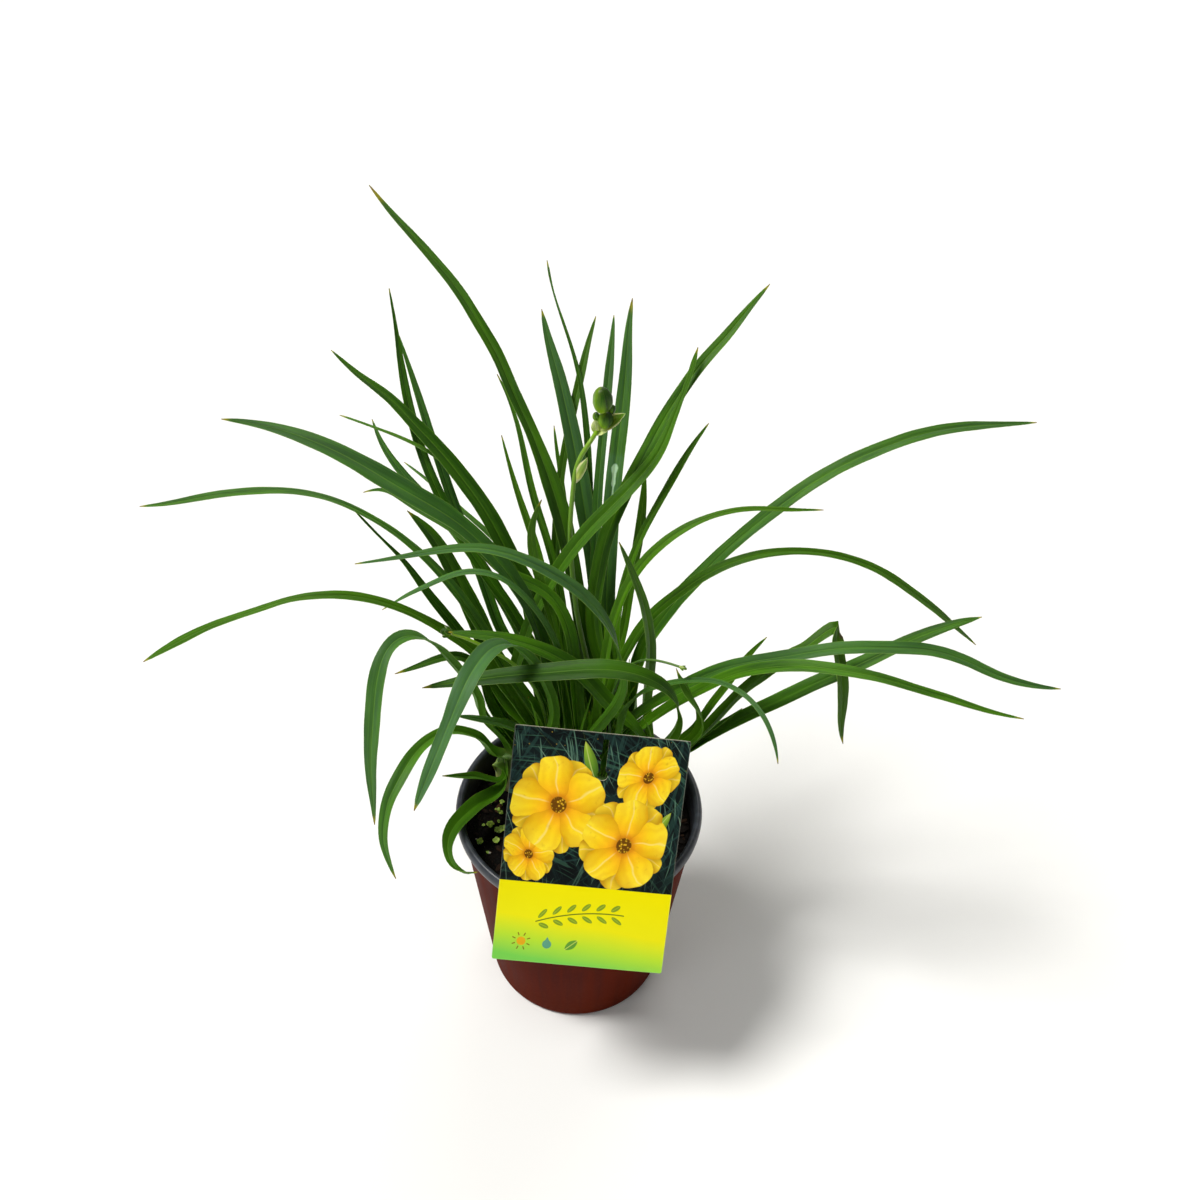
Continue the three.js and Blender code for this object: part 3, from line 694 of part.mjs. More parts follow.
    [34.7, 114.6, 344.3, -0.989, 0.135, -0.063, 1.65, 10],
    [34.8, 120.5, 353.1, -0.989, 0.123, -0.081, 0.6, 10],
  ] },
  middle_fan_leaf_5: { fan: "middle_fan", straight: true, root: [7.5, 14.3, 154.1, 0.208, 0.978, 0, 3, 40], rows: [
    [7.3, 14.4, 175, 0.198, 0.903, -0.381, 3.04, 40],
    [8.2, 19.5, 187.6, 0.01, 0.934, -0.357, 3.32, 39],
    [9.1, 24, 200.4, -0.241, 0.922, -0.304, 3.93, 35],
    [9.8, 28, 212.4, -0.493, 0.849, -0.192, 4.49, 31],
    [11.1, 32.6, 233.3, -0.657, 0.748, -0.091, 4.22, 24],
    [12.8, 35.9, 255.3, -0.727, 0.686, -0.016, 3.7, 19],
    [15.4, 38.2, 278.1, -0.737, 0.675, 0.037, 3.47, 16],
    [19.4, 40.6, 301, -0.709, 0.699, 0.096, 3.3, 15],
    [26.9, 43.9, 322.8, -0.643, 0.743, 0.186, 3.2, 14],
    [39.3, 48, 341.8, -0.543, 0.793, 0.276, 3.17, 13],
    [56.2, 52.8, 356.2, -0.427, 0.839, 0.338, 2.65, 12],
    [76.3, 57.6, 364.9, -0.296, 0.876, 0.38, 1.88, 12],
    [98.1, 61.5, 367.4, -0.16, 0.905, 0.395, 1.68, 11],
    [119.9, 64.6, 365.3, -0.111, 0.912, 0.395, 1.35, 11],
    [130.7, 66.6, 364.2, -0.118, 0.91, 0.397, 0.89, 10],
    [141.5, 68.8, 363, -0.124, 0.909, 0.399, 0.6, 10],
  ] },
  middle_fan_leaf_6: { fan: "middle_fan", straight: true, root: [10.5, 13.7, 155.2, 0.208, 0.978, 0, 3, 40], rows: [
    [10.7, 13.6, 175, 0.19, 0.858, -0.477, 3.38, 40],
    [11.8, 20, 186.9, 0.021, 0.89, -0.456, 3.69, 39],
    [13.3, 25.9, 199, -0.205, 0.898, -0.389, 4.36, 35],
    [14.9, 30.9, 210.5, -0.427, 0.874, -0.231, 4.6, 31],
    [18, 36.6, 231.2, -0.567, 0.819, -0.084, 4.3, 24],
    [23, 40.8, 252.6, -0.606, 0.794, 0.047, 4, 19],
    [31, 44, 273.7, -0.573, 0.805, 0.154, 3.8, 17],
    [42, 46.6, 293.5, -0.491, 0.834, 0.254, 3.7, 16],
    [57.1, 48.2, 310.5, -0.407, 0.859, 0.309, 3.6, 15],
    [74.2, 50.6, 325, -0.339, 0.879, 0.334, 3.5, 14],
    [93.9, 53.5, 334.8, -0.25, 0.898, 0.363, 3.1, 14],
    [115.2, 56.6, 339, -0.165, 0.91, 0.38, 2.73, 14],
    [136.8, 59.4, 338.1, -0.086, 0.917, 0.39, 2.44, 13],
    [157.7, 62.2, 332.8, 0.006, 0.92, 0.391, 2.6, 13],
    [177.4, 64.5, 323.8, 0.102, 0.92, 0.379, 3, 12],
    [195.5, 66.3, 311.8, 0.17, 0.915, 0.366, 3.27, 12],
    [212.6, 67.8, 298.2, 0.209, 0.908, 0.362, 3.26, 11],
    [229.3, 69.4, 283.9, 0.239, 0.904, 0.355, 2.81, 11],
    [245.4, 71.1, 269, 0.264, 0.901, 0.345, 1.79, 10],
    [253.5, 72, 261.5, 0.269, 0.9, 0.344, 1.18, 10],
    [261.5, 72.8, 253.9, 0.274, 0.898, 0.344, 0.6, 10],
  ] },
  middle_fan_leaf_7: { fan: "middle_fan", straight: true, root: [13.6, 13, 153.7, 0.208, 0.978, 0, 3, 40], rows: [
    [14, 12.9, 173, 0.197, 0.789, -0.582, 4.06, 40],
    [15, 20.4, 183.4, 0.009, 0.825, -0.565, 4.4, 39],
    [19.4, 26.8, 193.3, -0.197, 0.886, -0.421, 5.15, 36],
    [25.8, 31.6, 202, -0.263, 0.959, -0.107, 4.6, 32],
    [38.8, 35.2, 217.3, -0.259, 0.957, 0.129, 4, 25],
    [54, 35.1, 233.1, -0.222, 0.939, 0.262, 4.2, 20],
    [70.1, 33.1, 249.8, -0.16, 0.93, 0.332, 4.2, 17],
    [87.6, 29.3, 265.6, -0.066, 0.92, 0.387, 4.1, 15],
    [106.5, 23.4, 278.8, 0.004, 0.913, 0.408, 4.1, 15],
    [126.1, 17.9, 289.6, -0.001, 0.923, 0.384, 4.2, 14],
    [146.1, 14.7, 298.6, -0.015, 0.931, 0.365, 4.2, 13],
    [166.9, 12.7, 303.5, -0.002, 0.932, 0.362, 4.2, 13],
    [188.3, 12, 304.8, 0.014, 0.931, 0.366, 4.2, 12],
    [209.7, 11.9, 303.4, 0.108, 0.923, 0.37, 4, 12],
    [230.2, 10.1, 297.6, 0.226, 0.91, 0.348, 3.69, 12],
    [250.2, 7.7, 289.3, 0.203, 0.912, 0.356, 3.1, 11],
    [270.9, 7.2, 282.8, 0.085, 0.921, 0.38, 2.04, 11],
    [281.6, 7.8, 280.3, 0.055, 0.924, 0.378, 1.35, 10],
    [292.3, 9, 278.3, 0.025, 0.926, 0.376, 0.6, 10],
  ] },
  middle_fan_leaf_8: { fan: "middle_fan", straight: true, root: [16.7, 12.4, 154.8, 0.208, 0.978, 0, 3, 40], rows: [
    [17.3, 12.2, 171, 0.08, 0.849, -0.522, 4.29, 40],
    [20.7, 18.6, 181.8, -0.053, 0.893, -0.447, 4.6, 39],
    [27.1, 23.8, 192.5, -0.136, 0.963, -0.231, 4.82, 35],
    [34.5, 27, 203.6, -0.142, 0.989, 0.049, 3.9, 31],
    [47.2, 25.6, 223.2, -0.177, 0.968, 0.177, 3.9, 24],
    [61.4, 24.1, 239.8, -0.183, 0.954, 0.238, 4, 19],
    [76.9, 22.7, 254.9, -0.136, 0.949, 0.286, 4, 16],
    [93.5, 19.5, 270.2, -0.033, 0.939, 0.341, 4.1, 15],
    [112, 13.8, 282.8, 0.081, 0.923, 0.375, 4.1, 14],
    [132, 7.4, 291.6, 0.169, 0.909, 0.381, 4.1, 13],
    [152.9, 0.5, 295.9, 0.221, 0.901, 0.372, 3.8, 13],
    [174.3, -5.7, 297, 0.253, 0.896, 0.364, 3.15, 12],
    [195.5, -11.6, 294.9, 0.263, 0.896, 0.358, 2.73, 12],
    [216.8, -16.4, 291.5, 0.246, 0.901, 0.358, 2.36, 11],
    [238, -20.6, 287.3, 0.22, 0.906, 0.361, 1.56, 11],
    [248.7, -21.9, 285.5, 0.209, 0.909, 0.362, 1.03, 10],
    [259.6, -22.8, 283.9, 0.198, 0.911, 0.362, 0.6, 10],
  ] },
  young_scape: { fan: "middle_fan", stem: true, straight: true, root: [19.8, 11.7, 153.4, 0.208, 0.978, 0, 2, 40], rows: [
    [20.6, 11.5, 169, 0.225, 0.932, -0.284, 0.95, 40],
    [20.3, 15.4, 181.5, 0.253, 0.938, -0.238, 0.93, 38],
    [19.4, 18.2, 194.2, 0.221, 0.955, -0.196, 0.92, 35],
    [18.6, 20.7, 205.6, 0.048, 0.968, -0.246, 0.9, 31],
    [18.1, 23.6, 215.2, -0.257, 0.917, -0.305, 0.88, 27],
    [18, 27, 224.7, -0.489, 0.838, -0.244, 0.86, 23],
    [18.9, 30, 235.1, -0.553, 0.83, -0.078, 0.85, 20],
    [21.9, 31.7, 247.1, -0.481, 0.871, 0.099, 0.83, 17],
    [27.5, 31.8, 260.3, -0.277, 0.914, 0.296, 0.81, 14],
    [37.5, 28.7, 270.9, 0.054, 0.889, 0.455, 0.79, 12],
    [49.6, 22.2, 276.4, 0.324, 0.821, 0.47, 0.78, 11],
    [61.4, 14.6, 279.1, 0.423, 0.804, 0.418, 0.76, 10],
  ] },
  middle_fan_leaf_9: { fan: "middle_fan", straight: true, root: [22.9, 11, 154.5, 0.208, 0.978, 0, 2.37, 40], rows: [
    [24, 10.8, 167, 0.208, 0.977, -0.051, 2.37, 40],
    [24, 11.7, 184, 0.415, 0.91, -0.012, 2.69, 38],
    [24, 11.3, 200.8, 0.611, 0.791, 0.021, 3.27, 33],
    [24.3, 10.6, 215.6, 0.756, 0.654, -0.023, 3.17, 28],
    [24.9, 11.2, 227.4, 0.82, 0.552, -0.154, 2.98, 24],
    [26.5, 13.3, 236.9, 0.756, 0.531, -0.384, 3.4, 21],
    [30, 16.3, 244.5, 0.446, 0.681, -0.58, 3.59, 19],
    [35.9, 18.7, 250.5, 0.034, 0.945, -0.325, 2.7, 17],
    [43.6, 19.6, 255.5, -0.013, 0.999, 0.038, 2.4, 16],
    [52.2, 18.5, 260.9, 0.102, 0.969, 0.226, 2.1, 15],
    [61.5, 14.9, 267.3, 0.237, 0.921, 0.31, 1.9, 14],
    [71.2, 8.9, 275, 0.365, 0.867, 0.34, 1.8, 13],
    [81.6, 0.7, 282, 0.508, 0.79, 0.345, 1.7, 13],
    [91.8, -9.6, 286.3, 0.661, 0.684, 0.31, 1.6, 12],
    [100.8, -20.8, 286.9, 0.801, 0.555, 0.225, 1.6, 11],
    [107.6, -32.2, 283.9, 0.903, 0.417, 0.099, 1.5, 11],
    [111.9, -43.1, 278.4, 0.958, 0.283, -0.046, 1.2, 10],
    [113.2, -48.4, 275.2, 0.962, 0.255, -0.094, 0.8, 10],
    [114, -53.5, 271.6, 0.963, 0.227, -0.143, 0.6, 10],
  ] },
  right_fan_leaf_1: { fan: "right_fan", straight: true, root: [42.6, 22.8, 153, -0.087, -0.996, -0, 3, 40], rows: [
    [41.8, 22.9, 170, -0.117, -0.986, -0.117, 4.3, 40],
    [46.8, 19.9, 190, 0.054, -0.971, -0.233, 4.8, 37],
    [54.5, 14.3, 208.7, 0.214, -0.912, -0.349, 4.5, 30],
    [60.3, 9, 226.8, 0.349, -0.898, -0.268, 4.2, 24],
    [61.4, 6.2, 245.5, 0.262, -0.96, -0.097, 3.8, 19],
    [57.3, 4.9, 261.8, -0.043, -0.995, -0.092, 3.8, 17],
    [48.7, 3, 274.7, -0.181, -0.954, -0.241, 4.6, 15],
    [37.9, 1.8, 282.8, -0.154, -0.937, -0.313, 5.3, 15],
    [26.1, 1.6, 287.1, -0.133, -0.932, -0.336, 5.93, 14],
    [13.7, 1.9, 288.1, -0.109, -0.926, -0.362, 6.25, 14],
    [0.6, 3, 286.1, -0.072, -0.923, -0.379, 6.42, 13],
    [-13, 4.7, 282.4, -0.026, -0.925, -0.38, 6.2, 13],
    [-27, 6, 278.8, 0.029, -0.928, -0.37, 5.76, 12],
    [-41.3, 6.4, 276.1, 0.099, -0.929, -0.357, 5.42, 12],
    [-55.6, 5.9, 273.8, 0.16, -0.923, -0.349, 5.01, 11],
    [-69.9, 5.2, 271.1, 0.196, -0.918, -0.345, 4.09, 11],
    [-84.1, 3.7, 268.7, 0.238, -0.909, -0.341, 2.45, 10],
    [-91.2, 3.2, 267.2, 0.252, -0.906, -0.34, 1.62, 10],
    [-98.2, 1.6, 266.6, 0.266, -0.902, -0.339, 0.6, 10],
  ] },
  right_fan_leaf_2: { fan: "right_fan", straight: true, root: [45.7, 22.6, 154.1, -0.087, -0.996, -0, 3, 40], rows: [
    [45.2, 22.6, 172, -0.081, -0.993, -0.089, 4.28, 40],
    [43.7, 20.5, 191.8, -0.184, -0.978, -0.093, 4.76, 37],
    [40, 18, 209.5, -0.277, -0.954, -0.113, 3.67, 31],
    [33, 19.4, 221.2, -0.319, -0.931, -0.179, 4.35, 26],
    [22.9, 21.6, 231.2, -0.351, -0.914, -0.206, 5.8, 22],
    [13.3, 23.5, 241.8, -0.383, -0.902, -0.198, 6.18, 18],
    [3.8, 24.7, 254.2, -0.354, -0.907, -0.229, 6.11, 16],
    [-7, 25.1, 266.9, -0.276, -0.917, -0.289, 5.7, 14],
    [-20, 24.6, 277.4, -0.188, -0.925, -0.329, 5.03, 13],
    [-34.7, 24.2, 285.2, -0.119, -0.931, -0.345, 4.42, 12],
    [-50.4, 23.8, 290.1, -0.058, -0.933, -0.355, 3.92, 11],
    [-66.7, 23.3, 292.7, -0.021, -0.933, -0.358, 2.77, 11],
    [-74.9, 23.1, 293.7, -0.017, -0.933, -0.359, 1.83, 10],
    [-83.2, 22.9, 294.4, -0.013, -0.933, -0.359, 0.6, 10],
  ] },
  right_fan_leaf_3: { fan: "right_fan", straight: true, root: [48.9, 22.3, 155.2, -0.087, -0.996, -0, 3, 40], rows: [
    [48.6, 22.3, 174, -0.15, -0.809, 0.568, 3.75, 40],
    [47.9, 28.8, 183, -0.27, -0.812, 0.517, 3.99, 39],
    [45.6, 34.7, 192, -0.394, -0.811, 0.432, 4.56, 36],
    [43.5, 40.3, 200.6, -0.507, -0.813, 0.286, 5.16, 33],
    [42, 44.4, 213.9, -0.615, -0.777, 0.137, 5.14, 28],
    [42.5, 45.5, 230.1, -0.691, -0.722, 0.026, 5.09, 23],
    [42.8, 43.6, 249, -0.722, -0.688, -0.073, 4.83, 18],
    [42.2, 40.9, 269.2, -0.713, -0.684, -0.155, 4.38, 15],
    [39.9, 38.4, 289.4, -0.683, -0.7, -0.211, 4.03, 13],
    [36.1, 36.2, 308.8, -0.649, -0.72, -0.248, 3.49, 12],
    [31, 34.1, 327.4, -0.618, -0.734, -0.28, 2.92, 12],
    [24.8, 32, 345.4, -0.599, -0.744, -0.297, 2.05, 11],
    [21.7, 30.9, 354.3, -0.594, -0.747, -0.299, 1.36, 10],
    [18.6, 29.8, 363.2, -0.589, -0.75, -0.3, 0.6, 10],
  ] },
  right_fan_leaf_4: { fan: "right_fan", straight: true, root: [52, 22, 153.7, 0.087, 0.996, 0, 2.72, 40], rows: [
    [52, 22, 176, 0.102, 0.994, 0.046, 2.72, 40],
    [57, 20.8, 191.5, -0, 0.984, 0.179, 3.06, 37],
    [65.4, 16.7, 205.1, -0.101, 0.936, 0.338, 3, 32],
    [72.7, 12.9, 217.9, -0.306, 0.903, 0.302, 3.6, 26],
    [76.2, 11.7, 231, -0.449, 0.893, 0.022, 4.4, 21],
    [73.8, 12.8, 243.5, -0.244, 0.944, -0.225, 4.7, 17],
    [68.4, 15, 253.5, 0.168, 0.965, -0.203, 4.8, 14],
    [62.6, 18.7, 262, 0.448, 0.879, -0.162, 3.5, 12],
    [60.2, 20.9, 266.1, 0.504, 0.849, -0.161, 1.48, 12],
    [58, 23.5, 270.3, 0.557, 0.815, -0.16, 0.6, 11],
  ] },
  right_fan_leaf_5: { fan: "right_fan", straight: true, root: [55.1, 21.7, 154.8, 0.087, 0.996, 0, 2.73, 40], rows: [
    [55.4, 21.7, 174, 0.015, 0.952, -0.306, 2.73, 40],
    [58.6, 25.8, 186.9, -0.19, 0.959, -0.212, 2.99, 38],
    [67, 29.2, 197.5, -0.345, 0.938, -0.04, 3.14, 34],
    [75.9, 33, 206.8, -0.531, 0.847, 0.021, 2.66, 29],
    [85.7, 40.4, 221.5, -0.637, 0.767, 0.072, 2.91, 22],
    [96.4, 47.3, 236.4, -0.669, 0.733, 0.122, 2.65, 16],
    [106.5, 54.3, 251.7, -0.652, 0.737, 0.177, 2.05, 13],
    [112.4, 57.3, 259, -0.633, 0.747, 0.203, 1.36, 12],
    [118.8, 60, 266, -0.614, 0.756, 0.229, 0.6, 10],
  ] },
  right_fan_leaf_6: { fan: "right_fan", straight: true, root: [58.3, 21.4, 153.4, 0.087, 0.996, 0, 3, 40], rows: [
    [58.8, 21.4, 172, 0.009, 0.979, -0.202, 4.3, 40],
    [64.2, 24.2, 185.6, -0.088, 0.991, -0.097, 5.39, 38],
    [73.8, 25.2, 197, -0.141, 0.988, 0.066, 6.59, 34],
    [84, 25.6, 206.5, -0.207, 0.963, 0.171, 5, 29],
    [99.8, 26, 220.9, -0.255, 0.938, 0.235, 4.8, 23],
    [116.6, 26.4, 234.1, -0.277, 0.923, 0.267, 5, 18],
    [134, 27.7, 246.2, -0.298, 0.916, 0.268, 5.1, 15],
    [151.7, 29.9, 257.6, -0.291, 0.916, 0.275, 5.1, 14],
    [170.2, 32.3, 267.8, -0.284, 0.917, 0.279, 4.9, 13],
    [188.5, 36.1, 277.9, -0.291, 0.916, 0.275, 4.6, 12],
    [207.1, 40, 287.5, -0.274, 0.919, 0.285, 4.2, 11],
    [226.4, 43.1, 295.9, -0.228, 0.924, 0.307, 3.2, 11],
    [236.3, 44.1, 299.7, -0.212, 0.925, 0.314, 2.25, 10],
    [246.3, 44.8, 303.1, -0.197, 0.926, 0.321, 0.6, 10],
  ] },
  right_fan_leaf_7: { fan: "right_fan", straight: true, root: [61.4, 21.2, 154.5, 0.087, 0.996, 0, 3, 40], rows: [
    [62.2, 21.1, 170, 0.011, 0.967, -0.254, 4.3, 40],
    [66.6, 24.8, 184.2, -0.039, 0.987, -0.154, 4.83, 38],
    [73.4, 26, 198.2, -0.069, 0.998, 0.005, 5.91, 34],
    [80.2, 25.6, 210.6, -0.117, 0.987, 0.106, 4.6, 29],
    [85.1, 25, 220, -0.173, 0.974, 0.147, 4.6, 25],
    [89.6, 24.5, 229.2, -0.215, 0.964, 0.155, 4.5, 22],
    [93.9, 24.1, 238.2, -0.231, 0.959, 0.164, 4.3, 20],
    [98.5, 23.7, 246.9, -0.227, 0.957, 0.18, 4.2, 18],
    [103.4, 23.1, 255.3, -0.216, 0.957, 0.194, 4.2, 17],
    [108.9, 22.4, 263.3, -0.213, 0.958, 0.193, 4.3, 16],
    [114.8, 21.9, 271.1, -0.232, 0.958, 0.168, 4.4, 15],
    [121.1, 21.9, 278.8, -0.257, 0.956, 0.144, 4.4, 14],
    [128, 22.4, 286.3, -0.246, 0.958, 0.145, 4.2, 14],
    [136.1, 23.1, 293.2, -0.256, 0.965, 0.064, 3.8, 13],
    [154.2, 28.1, 303.7, 0.006, 1, -0.009, 4.74, 13],
    [153.9, 23.7, 301.5, 0.737, 0.538, -0.41, 5.15, 12],
    [155.1, 17.1, 292.5, 0.804, 0.559, -0.205, 4.61, 12],
    [157.4, 11.2, 283.9, 0.819, 0.556, -0.142, 4.66, 12],
    [159.1, 6.4, 275.3, 0.826, 0.531, -0.191, 4.76, 11],
    [159.9, 2.8, 266.2, 0.821, 0.524, -0.227, 4.27, 11],
    [160.3, -0.4, 257.1, 0.817, 0.548, -0.181, 3.41, 11],
    [161.2, -3.9, 248.2, 0.807, 0.584, -0.094, 2.1, 10],
    [162.1, -5.6, 243.8, 0.802, 0.592, -0.072, 1.38, 10],
    [163.4, -7.2, 239.5, 0.798, 0.601, -0.049, 0.6, 10],
  ] },
  front_left_fan_leaf_8: { fan: "front_left_fan", straight: true, young: true, root: [-15.5, 23.6, 153, 0.342, -0.94, 0, 3, 40], rows: [
    [-15.2, 23.7, 173, 0.287, -0.916, 0.282, 4.3, 40],
    [-18.7, 27, 187.1, 0.029, -0.977, 0.21, 5.6, 38],
    [-26.2, 29.2, 199.9, -0.195, -0.981, 0.011, 7.95, 34],
    [-35.1, 30.5, 210.6, -0.356, -0.92, -0.164, 7.88, 29],
    [-48.2, 33, 226.3, -0.546, -0.821, -0.166, 7.72, 22],
    [-57.1, 38.5, 243.8, -0.702, -0.712, -0.036, 7.64, 18],
    [-62.8, 45.6, 262.3, -0.744, -0.668, -0.011, 7.49, 15],
    [-70, 52.3, 280.5, -0.73, -0.68, -0.065, 6.98, 13],
    [-78.3, 58.7, 298.3, -0.713, -0.694, -0.094, 6.05, 12],
    [-87.2, 65.1, 315.7, -0.683, -0.717, -0.137, 5.19, 12],
    [-97.9, 70.9, 332.3, -0.604, -0.76, -0.24, 3.92, 11],
    [-111.8, 74.8, 346.9, -0.539, -0.786, -0.303, 0.6, 10],
  ] },
  back_fan_leaf_5: { fan: "back_fan", straight: true, young: true, root: [12.7, 62, 154.1, -0, -1, 0, 2.13, 40], rows: [
    [13.1, 62, 173, -0.024, -0.961, 0.274, 2.13, 40],
    [11.8, 66.1, 187.4, -0.29, -0.921, 0.262, 2.36, 38],
    [8.4, 71.4, 200.9, -0.543, -0.82, 0.181, 2.72, 34],
    [3.2, 77.4, 212.4, -0.698, -0.716, 0.029, 2.44, 30],
    [-6.4, 86.9, 226.2, -0.752, -0.652, -0.1, 2.27, 23],
    [-17.7, 97.5, 237.6, -0.758, -0.629, -0.174, 2.21, 19],
    [-29.7, 109.1, 247.2, -0.762, -0.616, -0.197, 2.2, 16],
    [-41.7, 121.5, 255.8, -0.771, -0.604, -0.201, 2.2, 15],
    [-53.7, 134.4, 263.6, -0.754, -0.619, -0.219, 2.2, 14],
    [-66.8, 146.9, 270.2, -0.709, -0.659, -0.25, 2.11, 13],
    [-80.9, 158.9, 275.7, -0.675, -0.686, -0.272, 1.92, 12],
    [-95.2, 170.8, 280.6, -0.667, -0.691, -0.28, 1.77, 12],
    [-109.6, 182.7, 285.5, -0.662, -0.693, -0.286, 1.55, 11],
    [-124.2, 194.5, 290.1, -0.642, -0.708, -0.296, 1.14, 11],
    [-139.2, 205.8, 294.4, -0.628, -0.717, -0.304, 0.6, 10],
  ] },
  back_fan_leaf_6: { fan: "back_fan", straight: true, young: true, root: [3.3, 62, 155.2, -0, -1, 0, 2.49, 40], rows: [
    [2.9, 62, 173, -0.006, -0.972, 0.235, 2.49, 40],
    [2.5, 65.5, 187.6, -0.346, -0.911, 0.224, 2.76, 38],
    [1.5, 69.6, 202, -0.674, -0.719, 0.169, 3.01, 34],
    [0.1, 74.2, 215.1, -0.874, -0.481, 0.072, 2.65, 29],
    [-2.5, 81.6, 232.6, -0.949, -0.315, -0.01, 2.47, 23],
    [-5.6, 90.2, 249.4, -0.97, -0.237, -0.05, 2.41, 18],
    [-8.8, 100.2, 265.3, -0.977, -0.204, -0.053, 2.4, 16],
    [-11.7, 111.5, 280.5, -0.982, -0.187, -0.04, 2.36, 14],
    [-14.4, 123.7, 295, -0.983, -0.18, -0.034, 2.18, 13],
    [-17.3, 136.7, 308.8, -0.983, -0.182, -0.038, 1.95, 12],
    [-20.4, 150.1, 322, -0.98, -0.195, -0.051, 1.7, 11],
    [-24, 163.8, 334.9, -0.981, -0.19, -0.047, 1.28, 11],
    [-27, 177.8, 347.6, -0.984, -0.177, -0.032, 0.6, 10],
  ] },
};

// ---- geometry helpers --------------------------------------------------------------------------------
function solid(geometry) {
  const g = geometry.clone();
  g.deleteAttribute("normal");
  g.deleteAttribute("uv");
  const m = mergeVertices(g, 1e-4);
  return new wasm.Manifold(
    new wasm.Mesh({
      numProp: 3,
      vertProperties: new Float32Array(m.attributes.position.array),
      triVerts: new Uint32Array(m.index.array),
    }),
  );
}
// The outer skin of a union: no crumbs, no pockets shut in between the folded leaf bases, and no place
// where the skin only touches itself along an edge.
function whole(manifold) {
  const largest = (m) => m.decompose().reduce((a, b) => (b.volume() > a.volume() ? b : a));
  const welded = (m, tolerance) => {
    const mesh = m.getMesh(),
      n = mesh.numProp,
      p = new Float32Array(mesh.numVert * 3);
    for (let i = 0; i < mesh.numVert; i++) p.set(mesh.vertProperties.subarray(i * n, i * n + 3), i * 3);
    const g = new THREE.BufferGeometry();
    g.setAttribute("position", new THREE.BufferAttribute(p, 3));
    g.setIndex(new THREE.BufferAttribute(new Uint32Array(mesh.triVerts), 1));
    return mergeVertices(g, tolerance);
  };
  const asSolid = (g) =>
    new wasm.Manifold(
      new wasm.Mesh({ numProp: 3, vertProperties: new Float32Array(g.attributes.position.array), triVerts: new Uint32Array(g.index.array) }),
    );
  const kisses = (m) => {
    const g = welded(m, 1e-3),
      seen = new Map(),
      idx = g.index.array;
    for (let i = 0; i < idx.length; i += 3)
      for (let j = 0; j < 3; j++) {
        const a = idx[i + j],
          b = idx[i + ((j + 1) % 3)],
          key = a < b ? a + "_" + b : b + "_" + a;
        seen.set(key, (seen.get(key) || 0) + 1);
      }
    return [...seen.values()].filter((v) => v !== 2).length;
  };
  let best = largest(manifold.simplify(0.05));
  for (const tolerance of [2e-3, 4e-3, 8e-3, 0.015, 0.03, 0.05]) {
    best = largest(asSolid(welded(best, tolerance))).simplify(tolerance * 4);
    best = largest(best);
    if (!kisses(best)) break;
  }
  return best;
}
function geometryOf(manifold) {
  const mesh = manifold.getMesh(),
    n = mesh.numProp,
    p = new Float32Array(mesh.numVert * 3);
  for (let i = 0; i < mesh.numVert; i++)
    p.set(mesh.vertProperties.subarray(i * n, i * n + 3), i * 3);
  const g = new THREE.BufferGeometry();
  g.setAttribute("position", new THREE.BufferAttribute(p, 3));
  g.setIndex(new THREE.BufferAttribute(new Uint32Array(mesh.triVerts), 1));
  const flat = g.toNonIndexed();
  flat.computeVertexNormals();
  return flat;
}
// Closed skin over rings of equal length, with a fan cap at each end; the rings run counter-clockwise seen
// from the last ring.  Where turned(j) holds, the strip's quads are split along their other diagonal.
// ends: the triangles of an end cap, for a ring that isn't convex.
function skin(rings, turned = () => false, ends = null) {
  const n = rings[0].length,
    p = [],
    idx = [];
  for (const r of rings) for (const v of r) p.push(v.x, v.y, v.z);
  for (let i = 0; i + 1 < rings.length; i++)
    for (let j = 0; j < n; j++) {
      const a = i * n + j,
        b = i * n + ((j + 1) % n);
      if (turned(j)) idx.push(a, b, a + n, b, b + n, a + n);
      else idx.push(a, b, b + n, a, b + n, a + n);
    }
  const cap = (start, flip) => {
    const triangles = ends ?? Array.from({ length: n - 2 }, (_, j) => [0, j + 1, j + 2]);
    for (const [a, b, c] of triangles) idx.push(start + a, start + (flip ? c : b), start + (flip ? b : c));
  };
  cap(0, true);
  cap((rings.length - 1) * n, false);
  const g = new THREE.BufferGeometry();
  g.setAttribute("position", new THREE.BufferAttribute(new Float32Array(p), 3));
  g.setIndex(idx);
  return g;
}
const vec = (a) => new THREE.Vector3(a[0], a[1], a[2]);

// Rows with their tangents: {p, b (width direction), n (upper face), w, fold}
function stations(rows) {
  return rows.map((r, i) => {
    const p = vec(r),
      t = vec(rows[Math.min(i + 1, rows.length - 1)]).sub(vec(rows[Math.max(i - 1, 0)])).normalize(),
      b = new THREE.Vector3(r[3], r[4], r[5]);
    b.addScaledVector(t, -b.dot(t)).normalize();
    return { p, t, b, n: new THREE.Vector3().crossVectors(t, b), w: r[6], fold: THREE.MathUtils.degToRad(r[7]) };
  });
}
